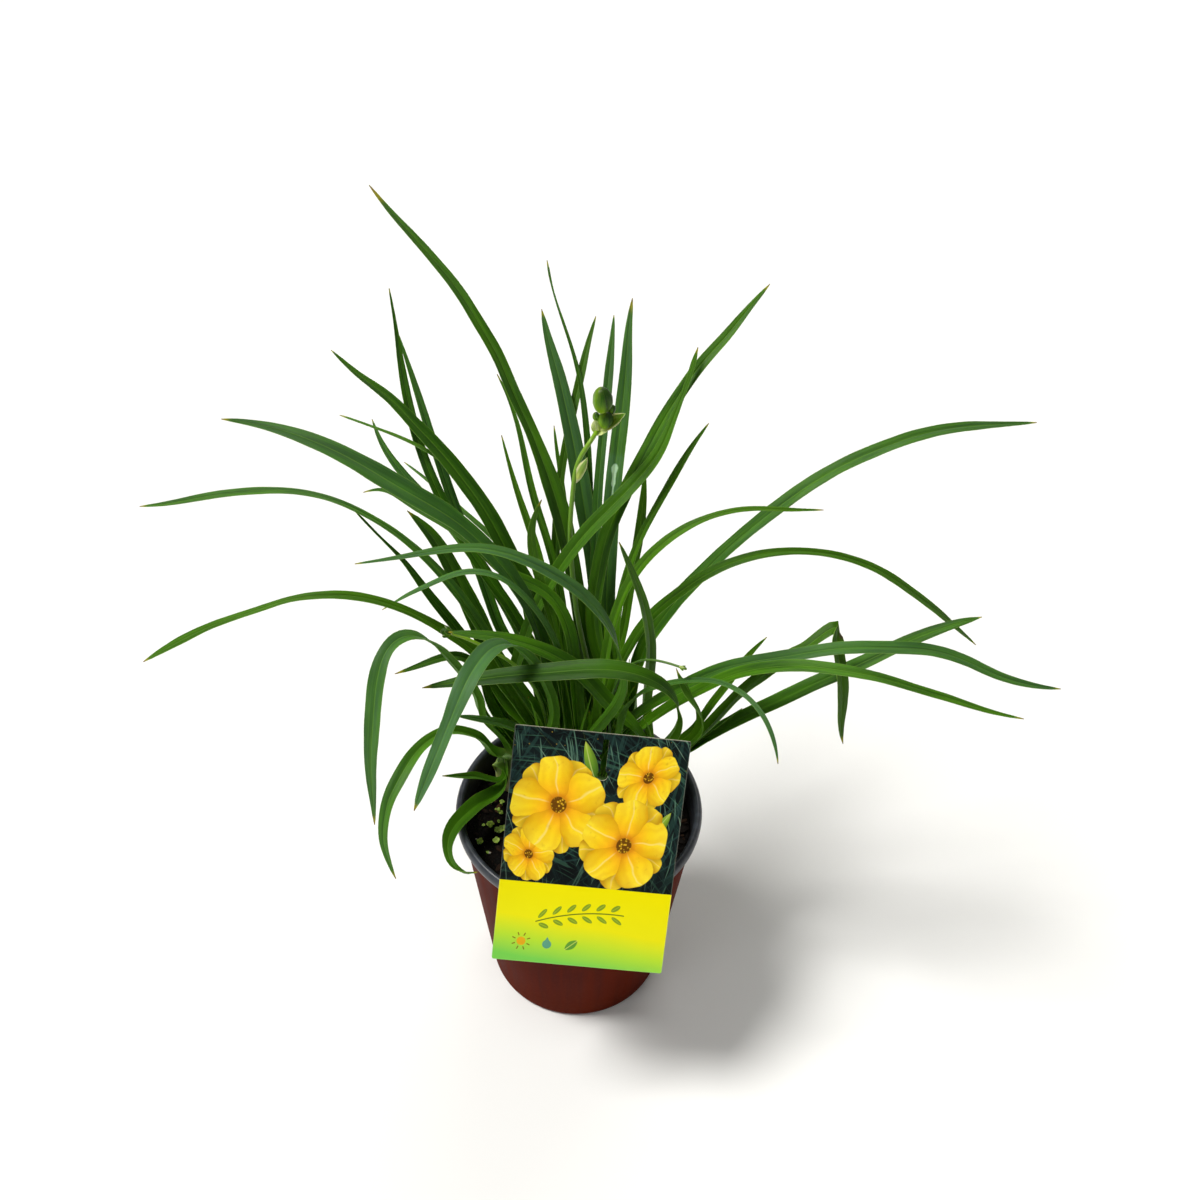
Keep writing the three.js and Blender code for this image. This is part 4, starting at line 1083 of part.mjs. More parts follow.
// The blade's section: edge, midrib, edge on the upper face, and the same three on the underside.
function section(s, last) {
  const rise = s.w * Math.tan(s.fold),
    k = last ? 0.85 : 1,
    at = (u, h) => s.p.clone().addScaledVector(s.b, u).addScaledVector(s.n, h);
  return [
    at(-s.w, rise / 2 - (BLADE_EDGE / 2) * k),
    at(0, -rise / 2 - (BLADE_KEEL / 2) * k),
    at(s.w, rise / 2 - (BLADE_EDGE / 2) * k),
    at(s.w, rise / 2 + (BLADE_EDGE / 2) * k),
    at(0, -rise / 2 + (BLADE_KEEL / 2) * k),
    at(-s.w, rise / 2 + (BLADE_EDGE / 2) * k),
  ];
}
const UPPER = (j) => j === 3 || j === 4;
const CHEVRON = [[0, 1, 4], [0, 4, 5], [1, 2, 3], [1, 3, 4]];
function blade(rows, from, to, inset = 0) {
  const all = stations(rows),
    part = all.slice(from, to).map((s) => ({ ...s, p: s.p.clone() }));
  if (inset) part[0].p.addScaledVector(all[from + 1].p.clone().sub(part[0].p).normalize(), inset);
  // the upper face is split along the same diagonals as the underside, so a twisted blade keeps its thickness
  return skin(part.map((s, i) => section(s, from + i === rows.length - 1)), UPPER, CHEVRON);
}
// A round stem through the midrib points of the rows.
function stem(rows, from, to, sides, inset = 0) {
  const all = stations(rows),
    part = all.slice(from, to).map((s) => ({ ...s, p: s.p.clone() }));
  if (inset) part[0].p.addScaledVector(all[from + 1].p.clone().sub(part[0].p).normalize(), inset);
  return skin(
    part.map((s) =>
      Array.from({ length: sides }, (_, j) => {
        const a = (2 * Math.PI * j) / sides;
        return s.p.clone().addScaledVector(s.b, s.w * Math.cos(a)).addScaledVector(s.n, s.w * Math.sin(a));
      }),
    ),
  );
}
// A bud: an egg-shaped body of revolution about its own axis.
function bud(centre, axis, radius, length, sides = 10) {
  const dir = vec(axis).normalize(),
    x = new THREE.Vector3().crossVectors(dir, new THREE.Vector3(0.3, 1, 0.1)).normalize(),
    y = new THREE.Vector3().crossVectors(dir, x),
    c = vec(centre),
    prof = [
      [-0.5, 0.3], [-0.44, 0.58], [-0.3, 0.86], [-0.1, 1], [0.12, 0.97], [0.3, 0.78], [0.42, 0.48], [0.5, 0.16],
    ];
  return skin(
    prof.map(([h, r]) =>
      Array.from({ length: sides }, (_, j) => {
        const a = (2 * Math.PI * j) / sides;
        return c.clone().addScaledVector(dir, h * length).addScaledVector(x, r * radius * Math.cos(a)).addScaledVector(y, r * radius * Math.sin(a));
      }),
    ),
  );
}
// A pointed bract: a small boat-shaped blade from `from` to `to`, cupped to one side.
function bract(from, to, side, width, cup) {
  const a = vec(from),
    b = vec(to),
    t = b.clone().sub(a).normalize(),
    u = vec(side);
  u.addScaledVector(t, -u.dot(t)).normalize();
  const n = new THREE.Vector3().crossVectors(t, u),
    prof = [[0, 0.45], [0.25, 0.95], [0.55, 1], [0.8, 0.62], [1, 0.1]];
  return skin(
    prof.map(([s, w]) => {
      const c = a.clone().lerp(b, s).addScaledVector(n, -cup * Math.sin(Math.PI * s)),
        at = (x, h) => c.clone().addScaledVector(u, x * w * width).addScaledVector(n, h);
      return [at(-1, 0.55 * w * width - 0.3), at(0, -0.35), at(1, 0.55 * w * width - 0.3), at(1, 0.55 * w * width + 0.3), at(0, 0.35), at(-1, 0.55 * w * width + 0.3)];
    }),
    UPPER,
    CHEVRON,
  );
}

const plant = new THREE.Group();
function add(name, geometry, mat) {
  const m = new THREE.Mesh(geometry, mat);
  m.name = name;
  plant.add(m);
  return m;
}

// ---- pot: thin moulded wall, rolled rim, drain holes through the floor -----------------------------
{
  const taper = (z) => BASE_RADIUS + ((RIM_RADIUS - 4.1 - BASE_RADIUS) * z) / (POT_HEIGHT - 12);
  const H = POT_HEIGHT,
    R = RIM_RADIUS;
  const profile = [
    [0, 0], [BASE_RADIUS - 2, 0], [BASE_RADIUS - 0.3, 1.2], [taper(12), 12], [taper(H - 12), H - 12],
    [R - 3.6, H - 9.4], [R - 1.1, H - 8.8], [R - 0.2, H - 7], [R, H - 4], [R - 0.8, H - 1.3], [R - 2.6, H],
    [R - 4.4, H - 0.5], [R - 5.4, H - 2.4], [R - 5.7, H - 6],
    [taper(H - 12) - WALL, H - 12], [taper(12) - WALL, 12], [taper(FLOOR) - WALL - 1.2, FLOOR + 0.8],
    [taper(FLOOR) - WALL - 3, FLOOR], [0, FLOOR],
  ].map(([x, y]) => new THREE.Vector2(x, y));
  const lathe = new THREE.LatheGeometry(profile, POT_SIDES);
  lathe.rotateX(Math.PI / 2);
  let body = solid(lathe);
  for (let i = 0; i < DRAIN_HOLES; i++) {
    const hole = new THREE.CylinderGeometry(DRAIN_SIZE / 2, DRAIN_SIZE / 2, 3 * FLOOR, 16);
    hole.rotateX(Math.PI / 2);
    hole.translate(DRAIN_RADIUS, 0, FLOOR / 2);
    hole.rotateZ((2 * Math.PI * (i + 0.5)) / DRAIN_HOLES);
    body = body.subtract(solid(hole));
  }
  add("pot", geometryOf(body), material(0x6b3024, 0.62));
}

// ---- crowns: one for each fan --------------------------------------------------------------------------
const foot = (f, grow, bottom, top) => {
  // an upright, slightly tapering sheath with an oval plan, long across the fan
  const a = THREE.MathUtils.degToRad(f.azimuth),
    ux = Math.cos(a),
    uy = Math.sin(a),
    sides = 12;
  const ring = (z, k, d) =>
    Array.from({ length: sides }, (_, j) => {
      const t = (2 * Math.PI * j) / sides,
        cu = Math.sign(Math.cos(t)) * Math.abs(Math.cos(t)) ** 0.8 * (f.half * k + grow),
        cv = Math.sin(t) * (f.depth * k * d + grow);
      return new THREE.Vector3(f.x + ux * cu - uy * cv, f.y + uy * cu + ux * cv, z);
    });
  return skin([ring(bottom, 0.62, 1), ring(SOIL_TOP - 2, 0.93, 1.05), ring(top - 9, 0.92, 0.78), ring(top, 0.84, 0.42)]);
};
for (const [name, f] of Object.entries(FANS)) {
  let body = solid(foot(f, 0, SHEATH_FOOT, f.top));
  for (const [leaf, d] of Object.entries(LEAVES))
    if (d.fan === name) {
      const rows = [d.root, ...d.rows.slice(d.straight ? 1 : 0)],
        end = rows.length - d.rows.length + CUT + 1;
      body = body.add(solid(d.stem ? stem(rows, 0, end, 6) : blade(rows, 0, d.young ? rows.length : end)));
    }
  add(name + "_crown", geometryOf(whole(body)), material(0x9aa860, 0.55));
}

// ---- leaf blades ---------------------------------------------------------------------------------------
let tone = 0;
for (const [name, d] of Object.entries(LEAVES)) {
  if (d.stem || d.young) continue;
  add(name, blade(d.rows, CUT, d.rows.length, GAP), material(LEAF_GREENS[tone++ % LEAF_GREENS.length], 0.5));
}

// ---- scapes, bracts and buds ---------------------------------------------------------------------------
const BUD_UPPER = [5.8, 107.0, 410.5], BUD_UPPER_RADIUS = 6, BUD_UPPER_LENGTH = 16.6; // terminal flower bud
const BUD_LOWER = [8.4, 108.5, 395.9], BUD_LOWER_RADIUS = 4.6, BUD_LOWER_LENGTH = 11.4;   // second bud, on the front of the stem
const BUD_LEAN = [-0.05, 0, 1], BUD_LOWER_LEAN = [0.12, -0.05, 1];
const SCAPE_HEAD = [[3.0, 108.5, 387.8], [5.2, 113.3, 392.7], [5.8, 109.2, 403.5]];          // the stem behind the two buds
const BUD_TINY = [[11.7, 112.5, 400.9], [2.7, 111.5, 396.2]];                           // two undeveloped buds beside them
const HEAD_BRACTS = [
  // from, to, width direction, half width, cup
  [[7.5, 112.5, 387.6], [20.3, 108.0, 401.2], [0.3, 0.25, 0.9], 4.1, 0.9],
  [[4.0, 108.5, 386.4], [1.3, 108.0, 395.8], [0.9, 0.3, 0.1], 3.2, 0.8],
  [[4.0, 108.0, 386.0], [10.0, 104.0, 391.2], [0.4, 0.7, 0.5], 2.6, 0.5],
];
const LOWER_BRACT = [[-9.0, 94.9, 358.0], [-1.9, 96.2, 376.3], [0.8, 0.25, -0.45], 3.3, 1.2];
{
  const green = material(0x7fae2a, 0.45);
  const s = LEAVES.scape,
    head = SCAPE_HEAD.map((q, i) => [...q, ...s.rows[s.rows.length - 1].slice(3, 6), 1.5 - 0.15 * i, 0]),
    rows = [...s.rows.slice(0, s.rows.length - 2), ...head];
  const grown = (lean, centre, radius, length, clear) => solid(bud(centre, lean, radius + clear, length + 2 * clear));
  let body = solid(stem(rows, CUT, rows.length, 8, GAP));
  for (const q of BUD_TINY) body = body.add(solid(bud(q, [0.1, 0.3, 1], 2.4, 5.6, 8)));
  for (const q of HEAD_BRACTS) body = body.add(solid(bract(...q)));
  body = body.subtract(grown(BUD_LEAN, BUD_UPPER, BUD_UPPER_RADIUS, BUD_UPPER_LENGTH, GAP));
  body = body.subtract(grown(BUD_LOWER_LEAN, BUD_LOWER, BUD_LOWER_RADIUS, BUD_LOWER_LENGTH, GAP));
  const thick = stem(rows.map((r) => [...r.slice(0, 6), r[6] + 0.35, 0]), CUT, rows.length, 8);
  add("scape", geometryOf(whole(body)), material(0x6f9a24, 0.45));
  add("scape_bract", geometryOf(whole(solid(bract(...LOWER_BRACT)).subtract(solid(thick)))), material(0xc9d68a, 0.5));
  add("bud_upper", bud(BUD_UPPER, BUD_LEAN, BUD_UPPER_RADIUS, BUD_UPPER_LENGTH, 12), green);
  add("bud_lower", bud(BUD_LOWER, BUD_LOWER_LEAN, BUD_LOWER_RADIUS, BUD_LOWER_LENGTH, 12), green);
  for (const [name, radius, length] of [["side_scape", 3.6, 7.5], ["young_scape", 1.5, 6]]) {
    const d = LEAVES[name], m = d.rows.length, a = vec(d.rows[m - 1]), b = vec(d.rows[m - 2]),
      dir = a.clone().sub(b).normalize();
    let twig = solid(stem(d.rows, CUT, m, 6, GAP));
    twig = twig.add(solid(bud(a.toArray(), dir.toArray(), radius, length, 8)));
    add(name, geometryOf(whole(twig)), green);
  }
}

// ---- potting soil: fills the pot, with a socket for each crown -------------------------------------------
{
  const inner = (z) => BASE_RADIUS + ((RIM_RADIUS - 4.1 - BASE_RADIUS) * z) / (POT_HEIGHT - 12) - WALL - GAP;
  const profile = [
    [0, SOIL_BOTTOM], [inner(4) - 4, SOIL_BOTTOM], [inner(14) - 0.2, 14], [inner(SOIL_TOP - 3), SOIL_TOP - 3], [inner(SOIL_TOP) - 2, SOIL_TOP], [0, SOIL_TOP],
  ].map(([x, y]) => new THREE.Vector2(x, y));
  const lathe = new THREE.LatheGeometry(profile, POT_SIDES);
  lathe.rotateX(Math.PI / 2);
  let body = solid(lathe);
  for (const f of Object.values(FANS)) body = body.subtract(solid(foot(f, GAP, SHEATH_FOOT - GAP, f.top)));
  add("soil", geometryOf(body), material(0x1a1512, 0.95));
}

// ---- picture tag: a thin plastic card with a keyhole hanging slot, leaning on the rim ---------------------
{
  const w = TAG_WIDTH / 2,
    h = TAG_HEIGHT / 2,
    r = 1.2;
  const SLOT_X = 2.2, SLOT_TOP = 71.6, SLOT_MIDDLE = 60.4, SLOT_BOTTOM = 49, NECK = 1.7, EYE = 3.3;
  const outline = new THREE.Shape(
    [[-w + r, -h], [w - r, -h], [w - 0.3, -h + 0.3], [w, -h + r], [w, h - r], [w - 0.3, h - 0.3], [w - r, h], [-w + r, h],
     [-w + 0.3, h - 0.3], [-w, h - r], [-w, -h + r], [-w + 0.3, -h + 0.3]].map(([x, y]) => new THREE.Vector2(x, y)),
  );
  const slot = [[-NECK, SLOT_TOP], [-NECK, SLOT_MIDDLE + 2.6], [-EYE + 0.4, SLOT_MIDDLE + 1.2], [-EYE + 0.4, SLOT_MIDDLE - 1.2], [-NECK, SLOT_MIDDLE - 2.6]];
  for (let i = 0; i <= 8; i++) {
    const a = THREE.MathUtils.degToRad(120 + (i * 300) / 8);
    slot.push([EYE * Math.cos(a), SLOT_BOTTOM + EYE * Math.sin(a)]);
  }
  slot.push([NECK, SLOT_MIDDLE - 2.6], [NECK, SLOT_TOP]);
  outline.holes.push(new THREE.Path(slot.map(([x, y]) => new THREE.Vector2(SLOT_X + x, y))));
  const card = new THREE.ExtrudeGeometry(outline, { depth: TAG_THICKNESS, bevelEnabled: false, curveSegments: 3 });
  card.rotateX(Math.PI / 2);      // the card stands upright, its printed face towards -Y
  card.translate(0, TAG_THICKNESS / 2, 0);
  const tag = add("picture_tag", card, material(0xe9c52a, 0.35));
  const turn = (x, y, z, deg) => new THREE.Quaternion().setFromAxisAngle(new THREE.Vector3(x, y, z), THREE.MathUtils.degToRad(deg));
  tag.quaternion.copy(turn(0, 0, 1, TAG_YAW)).multiply(turn(1, 0, 0, TAG_TILT)).multiply(turn(0, 1, 0, TAG_ROLL));
  tag.position.set(...TAG_CENTRE);
}

export default plant;
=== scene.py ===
"""A daylily in its nursery pot: fine leaves, crowns, scapes, buds, pot, soil and picture tag around the
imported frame.  Lengths in the tables are millimetres in the frame of the part; Blender works in metres."""
import math

import bpy
import numpy as np
from mathutils import Matrix, Vector, noise


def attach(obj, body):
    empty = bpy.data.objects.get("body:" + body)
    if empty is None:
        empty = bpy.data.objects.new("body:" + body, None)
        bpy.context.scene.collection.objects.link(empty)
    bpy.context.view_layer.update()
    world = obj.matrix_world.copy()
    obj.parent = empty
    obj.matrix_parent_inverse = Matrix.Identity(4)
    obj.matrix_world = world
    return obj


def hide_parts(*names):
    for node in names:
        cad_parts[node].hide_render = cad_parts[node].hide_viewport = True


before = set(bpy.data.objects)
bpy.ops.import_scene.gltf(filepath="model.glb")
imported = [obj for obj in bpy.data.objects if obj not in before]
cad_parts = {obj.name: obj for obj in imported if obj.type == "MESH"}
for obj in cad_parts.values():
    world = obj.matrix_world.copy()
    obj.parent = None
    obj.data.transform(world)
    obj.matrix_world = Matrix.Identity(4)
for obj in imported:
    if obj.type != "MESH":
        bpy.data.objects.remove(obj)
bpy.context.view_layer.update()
MM = 0.001

# ---- driving dimensions, the same as the part's -----------------------------------------------------
POT_HEIGHT, RIM_RADIUS, BASE_RADIUS, WALL, FLOOR = 166.0, 82.5, 62.9, 1.5, 1.8
SOIL_TOP, SHEATH_FOOT = 146.0, 128.0
TAG_WIDTH, TAG_HEIGHT, TAG_THICKNESS = 106.0, 151.0, 0.8
TAG_CENTRE, TAG_TILT, TAG_YAW, TAG_ROLL = (8.27, -63.9, 197.05), -30.65, 2.17, 5.4
CUT = 3  # station where a blade leaves the joined sheath

# crown of each fan: centre x, y, azimuth of its long axis, half length, half depth, top
FANS = {
    "left_fan": (-47, 30, 195, 12.8, 6.4, 176),
    "back_left_fan": (-20, 54, 170, 11.1, 6.4, 176),
    "front_left_fan": (-20, 22, 200, 14.5, 6.4, 176),
    "back_fan": (8, 62, 180, 9.4, 6.4, 176),
    "back_right_fan": (28, 46, -10, 9.4, 6.4, 176),
    "middle_fan": (9, 14, -12, 17.9, 6.4, 176),
    "right_fan": (52, 22, -5, 12.8, 6.4, 176),
}
# leaf: (fan, root row, rows); a row is x, y, z of the midrib, direction of the width, half width, fold in degrees
LEAVES = {
    "left_fan_leaf_1": ("left_fan", (-37.8, 32.5, 154.1, -0.26, 0.97, 0, 3, 40), [
        (-37.15, 32.64, 170, -0.229, 0.938, -0.262, 4.3, 40),
        (-39.33, 36.13, 184.41, -0.424, 0.858, -0.29, 5.23, 38.3),
        (-44.17, 38.69, 198.2, -0.607, 0.72, -0.336, 7.12, 34.4),
        (-48.34, 41.17, 211.46, -0.789, 0.579, -0.205, 4.6, 29.8),
        (-47.38, 46.91, 233.79, -0.865, 0.501, 0.002, 4.2, 22.6),
        (-41.44, 52.89, 255.46, -0.87, 0.478, 0.12, 4.1, 18),
        (-34.59, 59.45, 276.52, -0.853, 0.492, 0.176, 4.1, 15.8),
        (-25.16, 66.6, 295.96, -0.816, 0.529, 0.234, 4.3, 14.7),
        (-14.02, 74.7, 313.73, -0.774, 0.567, 0.282, 4.7, 14),
        (-0.77, 83.17, 329.62, -0.719, 0.609, 0.334, 4.9, 13.4),
        (14.31, 91.61, 343.93, -0.696, 0.627, 0.35, 4.8, 12.9),
        (29.3, 100.69, 358.07, -0.736, 0.604, 0.306, 4.5, 12.3),
        (42.47, 111.07, 373.22, -0.831, 0.524, 0.185, 3.7, 11.7),
        (50.8, 123.39, 390.36, -0.889, 0.45, 0.078, 2.3, 11.2),
        (58.2, 136.18, 407.76, -0.908, 0.419, 0.03, 1.6, 10.6),
        (61.29, 142.75, 416.61, -0.912, 0.41, 0.015, 1.68, 10.3),
        (63.99, 149.43, 425.53, -0.916, 0.4, 0, 0.6, 10),
    ]),
    "left_fan_leaf_2": ("left_fan", (-40.9, 31.6, 155.2, 0.26, -0.97, 0, 2.76, 40), [
        (-40.43, 31.76, 172, 0.228, -0.936, 0.27, 2.76, 40),
        (-42.5, 35.19, 185.64, 0.018, -0.976, 0.216, 3.03, 38.3),
        (-47.47, 37.51, 198.6, -0.188, -0.979, 0.073, 3.6, 34.6),
        (-53.4, 39.12, 210.35, -0.373, -0.927, -0.043, 3.52, 30.1),
        (-61.61, 41.78, 229.51, -0.515, -0.854, -0.071, 3.26, 23.1),
        (-68.73, 44.94, 249.44, -0.567, -0.815, -0.119, 3.17, 18),
        (-78.45, 47.12, 268.65, -0.548, -0.812, -0.199, 3.42, 15),
        (-89.87, 48.96, 286.99, -0.535, -0.816, -0.219, 3.46, 13.5),
        (-101.58, 51.65, 305.06, -0.543, -0.817, -0.196, 2.72, 12.5),
        (-113.15, 55.37, 322.89, -0.52, -0.825, -0.219, 1.67, 11.6),
        (-126.97, 58.33, 339.1, -0.471, -0.84, -0.27, 0.79, 10.8),
        (-134.01, 60.22, 347.12, -0.462, -0.843, -0.276, 0.8, 10.4),
        (-141.1, 62.36, 355.03, -0.454, -0.845, -0.282, 0.6, 10),
    ]),
    "left_fan_leaf_3": ("left_fan", (-43.9, 30.8, 153.7, 0.26, -0.97, 0, 3, 40), [
        (-43.72, 30.88, 174, 0.226, -0.965, 0.131, 3.1, 40),
        (-47.78, 31.95, 188.92, 0.106, -0.993, 0.047, 3.45, 37.7),
        (-53.48, 31.23, 203.49, -0.022, -0.998, -0.066, 4.16, 33),
        (-58.54, 30.35, 216.61, -0.181, -0.98, -0.088, 4.66, 27.9),
        (-62.18, 30.43, 230.2, -0.31, -0.951, -0.022, 4.75, 22.9),
        (-64.64, 31.7, 243.67, -0.342, -0.94, 0.002, 4.54, 18.9),
        (-69.45, 33.01, 256.36, -0.239, -0.963, -0.126, 3.83, 15.8),
        (-79.37, 32.14, 265.33, 0.077, -0.947, -0.313, 3.24, 13.7),
        (-92, 27.38, 266.86, 0.351, -0.877, -0.327, 2.69, 12.2),
        (-105, 22.4, 264.17, 0.375, -0.87, -0.321, 1.82, 11),
        (-111.65, 20.44, 262.52, 0.36, -0.875, -0.325, 1.2, 10.6),
        (-118.37, 18.82, 260.66, 0.344, -0.879, -0.329, 0.6, 10.1),
    ]),
    "left_fan_leaf_4": ("left_fan", (-47, 30, 154.8, 0.26, -0.97, 0, 3, 40), [
        (-47, 30, 176, 0.201, -0.969, 0.146, 4.3, 40),
        (-53.28, 30.97, 191.09, 0.304, -0.947, 0.107, 4.6, 37.9),
        (-61.39, 28.72, 205.42, 0.51, -0.852, 0.118, 4.3, 33.3),
        (-66.84, 26.78, 219.56, 0.761, -0.626, 0.167, 4.1, 28.1),
        (-67.52, 24.43, 234.67, 0.902, -0.393, 0.178, 4, 23.4),
        (-71.97, 23.91, 248.65, 0.933, -0.271, 0.236, 3.9, 19.8),
        (-77.39, 22.51, 261.79, 0.916, -0.24, 0.321, 3.9, 17.4),
        (-83.36, 20.6, 274.14, 0.873, -0.309, 0.376, 3.9, 15.9),
        (-89.51, 18.7, 286.08, 0.749, -0.54, 0.384, 4, 14.9),
        (-97.89, 15.81, 296.06, 0.55, -0.819, 0.163, 4.5, 14.3),
        (-108.48, 9.86, 301.16, 0.669, -0.725, -0.163, 4.9, 13.8),
        (-116.54, -0.75, 299.02, 0.896, -0.427, -0.121, 4.45, 13.4),
        (-120.07, -12.1, 291.64, 0.96, -0.281, 0.012, 5.17, 12.9),
        (-121.5, -21.91, 281.61, 0.965, -0.254, 0.07, 5.33, 12.5),
        (-122.37, -29.91, 269.81, 0.96, -0.269, 0.075, 5.14, 12.1),
        (-123.48, -36.17, 256.93, 0.956, -0.286, 0.061, 4.68, 11.7),
        (-124.18, -41.53, 243.58, 0.956, -0.286, 0.067, 4.01, 11.3),
        (-124.22, -46.03, 229.93, 0.957, -0.277, 0.088, 3.1, 10.8),
        (-124.1, -50.03, 216.12, 0.958, -0.268, 0.105, 1.8, 10.4),
        (-124.08, -51.93, 209.17, 0.958, -0.266, 0.108, 1.19, 10.2),
        (-124.1, -53.78, 202.21, 0.958, -0.263, 0.111, 0.6, 10),
    ]),
    "left_fan_leaf_5": ("left_fan", (-50.1, 29.2, 153.4, 0.26, -0.97, 0, 3, 40), [
        (-50.28, 29.12, 174, 0.349, -0.933, -0.085, 4.3, 40),
        (-59.05, 25.06, 182.51, 0.274, -0.962, 0.019, 4.84, 38.4),
        (-66.56, 24.91, 195.22, 0.256, -0.965, 0.056, 4.6, 34.5),
        (-75.92, 21.91, 205.16, 0.354, -0.933, -0.058, 4.2, 29.7),
        (-85.45, 16.81, 212.38, 0.518, -0.837, -0.177, 3.9, 25.1),
        (-94.73, 8.29, 215.97, 0.69, -0.683, -0.239, 3.8, 21),
        (-102.53, -2.17, 216.73, 0.81, -0.538, -0.232, 4.1, 17.9),
        (-108.53, -13.56, 214.84, 0.89, -0.416, -0.185, 4.6, 15.6),
        (-113.64, -24.76, 210.63, 0.93, -0.345, -0.129, 4.79, 14),
        (-118.31, -35.21, 204.42, 0.961, -0.27, -0.053, 4.19, 12.8),
        (-120.48, -44.98, 196.11, 0.982, -0.179, 0.06, 3.47, 12),
        (-120.32, -53.7, 186.5, 0.974, -0.075, 0.212, 2.75, 11.3),
        (-116.98, -60.86, 176.25, 0.928, 0.013, 0.373, 1.75, 10.6),
        (-114.8, -63.99, 170.97, 0.914, 0.025, 0.406, 1.15, 10.3),
        (-112.33, -66.83, 165.61, 0.898, 0.036, 0.438, 0.6, 10),
    ]),
    "left_fan_leaf_6": ("left_fan", (-53.1, 28.4, 154.5, 0.26, -0.97, 0, 2.27, 40), [
        (-53.57, 28.24, 172, 0.868, 0.071, 0.492, 2.27, 40),
        (-51.75, 13.85, 170.87, 0.965, -0.237, 0.109, 2.34, 37.1),
        (-59.36, 6.57, 176.25, 0.565, -0.825, -0.011, 2.92, 33.2),
        (-68.85, 1.94, 185.22, 0.432, -0.895, -0.107, 3.07, 27.6),
        (-73.94, -2.09, 189.74, 0.486, -0.843, -0.23, 2.5, 24.2),
        (-78.76, -6.27, 194.42, 0.488, -0.834, -0.258, 1.93, 21),
        (-83.37, -10.54, 199.23, 0.488, -0.828, -0.275, 1.13, 17.9),
        (-87.87, -14.86, 204.1, 0.484, -0.827, -0.287, 0.6, 15.2),
    ]),
    "left_fan_leaf_7": ("left_fan", (-56.2, 27.5, 153, 0.26, -0.97, 0, 3, 40), [
        (-56.85, 27.36, 170, -0.859, -0.349, 0.375, 4.3, 40),
        (-51.6, 13.75, 169.37, 0.523, -0.019, 0.852, 5.08, 37.7),
        (-56.77, 1.05, 169.36, 0.833, -0.551, -0.045, 5.2, 33.7),
        (-66.39, -8.78, 171.33, 0.742, -0.659, -0.119, 5.7, 28.6),
        (-72.85, -17.53, 171.99, 0.809, -0.566, -0.16, 5.61, 24.4),
        (-78.62, -26.75, 172.46, 0.882, -0.446, -0.151, 5.3, 20.7),
        (-82.21, -36.91, 172.22, 0.978, -0.184, -0.102, 4.51, 17.6),
        (-82.19, -47.5, 171.31, 0.979, 0.199, -0.041, 3, 15.1),
        (-78.14, -57.26, 170.63, 0.793, 0.597, -0.12, 2.3, 13.1),
        (-70.14, -64.14, 171.86, 0.488, 0.544, -0.683, 2.1, 11.6),
        (-65.51, -65.99, 173.61, 0.452, 0.194, -0.871, 1.4, 11.1),
        (-60.53, -66.8, 176.07, 0.344, -0.187, -0.92, 0.6, 10.5),
    ]),
    "back_left_fan_leaf_1": ("back_left_fan", (-12.2, 52.6, 154.1, -0.17, -0.98, 0, 3, 40), [
        (-11.63, 52.52, 171, -0.163, -0.962, 0.218, 3.17, 40),
        (-10.6, 55.64, 185.55, -0.492, -0.844, 0.213, 3.51, 38.3),
        (-10.36, 59.11, 199.98, -0.787, -0.6, 0.14, 3.55, 34.4),
        (-11.07, 62.73, 213.34, -0.94, -0.341, 0, 3.18, 29.8),
        (-13.98, 69.08, 233.46, -0.98, -0.171, -0.098, 3.06, 23.1),
        (-17.46, 76.6, 253.22, -0.989, -0.088, -0.122, 3.03, 18.5),
        (-20.27, 85.43, 272.5, -0.995, -0.041, -0.086, 3.01, 16),
        (-21.53, 95.65, 291.18, -0.999, -0.003, -0.032, 2.99, 14.8),
        (-21.51, 107.18, 309.09, -1, 0.021, 0.004, 2.98, 14),
        (-20.88, 119.89, 326.16, -0.999, 0.041, 0.032, 2.9, 13.4),
        (-19.38, 133.55, 342.39, -0.994, 0.076, 0.076, 2.72, 12.8),
        (-16.39, 147.85, 357.78, -0.987, 0.109, 0.114, 2.68, 12.3),
        (-13.02, 162.63, 372.59, -0.984, 0.124, 0.129, 2.88, 11.7),
        (-9.29, 177.96, 386.8, -0.983, 0.128, 0.133, 2.83, 11.1),
        (-5.45, 193.79, 400.59, -0.982, 0.132, 0.137, 1.95, 10.6),
        (-3.16, 201.7, 407.39, -0.981, 0.135, 0.14, 1.29, 10.3),
        (-0.63, 209.6, 414.13, -0.98, 0.138, 0.142, 0.6, 10),
    ]),
    "back_left_fan_leaf_2": ("back_left_fan", (-15.3, 53.2, 155.2, -0.17, -0.98, 0, 2.82, 40), [
        (-14.98, 53.11, 173, -0.181, -0.979, 0.098, 2.82, 40),
        (-16.16, 54.98, 189.45, -0.473, -0.877, 0.084, 3.18, 37.9),
        (-16.64, 57.14, 205.63, -0.73, -0.675, 0.101, 3.33, 33.3),
        (-16.42, 59.85, 220.04, -0.883, -0.445, 0.152, 3.05, 28.3),
        (-15.08, 65.97, 240.45, -0.944, -0.298, 0.139, 2.83, 21.8),
        (-14.84, 73.48, 260.08, -0.963, -0.266, 0.049, 2.73, 17.6),
        (-17.54, 81.93, 279.08, -0.952, -0.299, -0.057, 2.68, 15.3),
        (-22.65, 91.2, 297.25, -0.935, -0.335, -0.121, 2.65, 14.1),
        (-29.04, 101.42, 314.62, -0.924, -0.354, -0.146, 2.6, 13.3),
        (-35.99, 112.65, 331.25, -0.931, -0.343, -0.125, 2.51, 12.6),
        (-41.71, 125.14, 347.57, -0.948, -0.308, -0.077, 2.18, 12),
        (-46.79, 138.45, 363.59, -0.948, -0.308, -0.08, 1.7, 11.3),
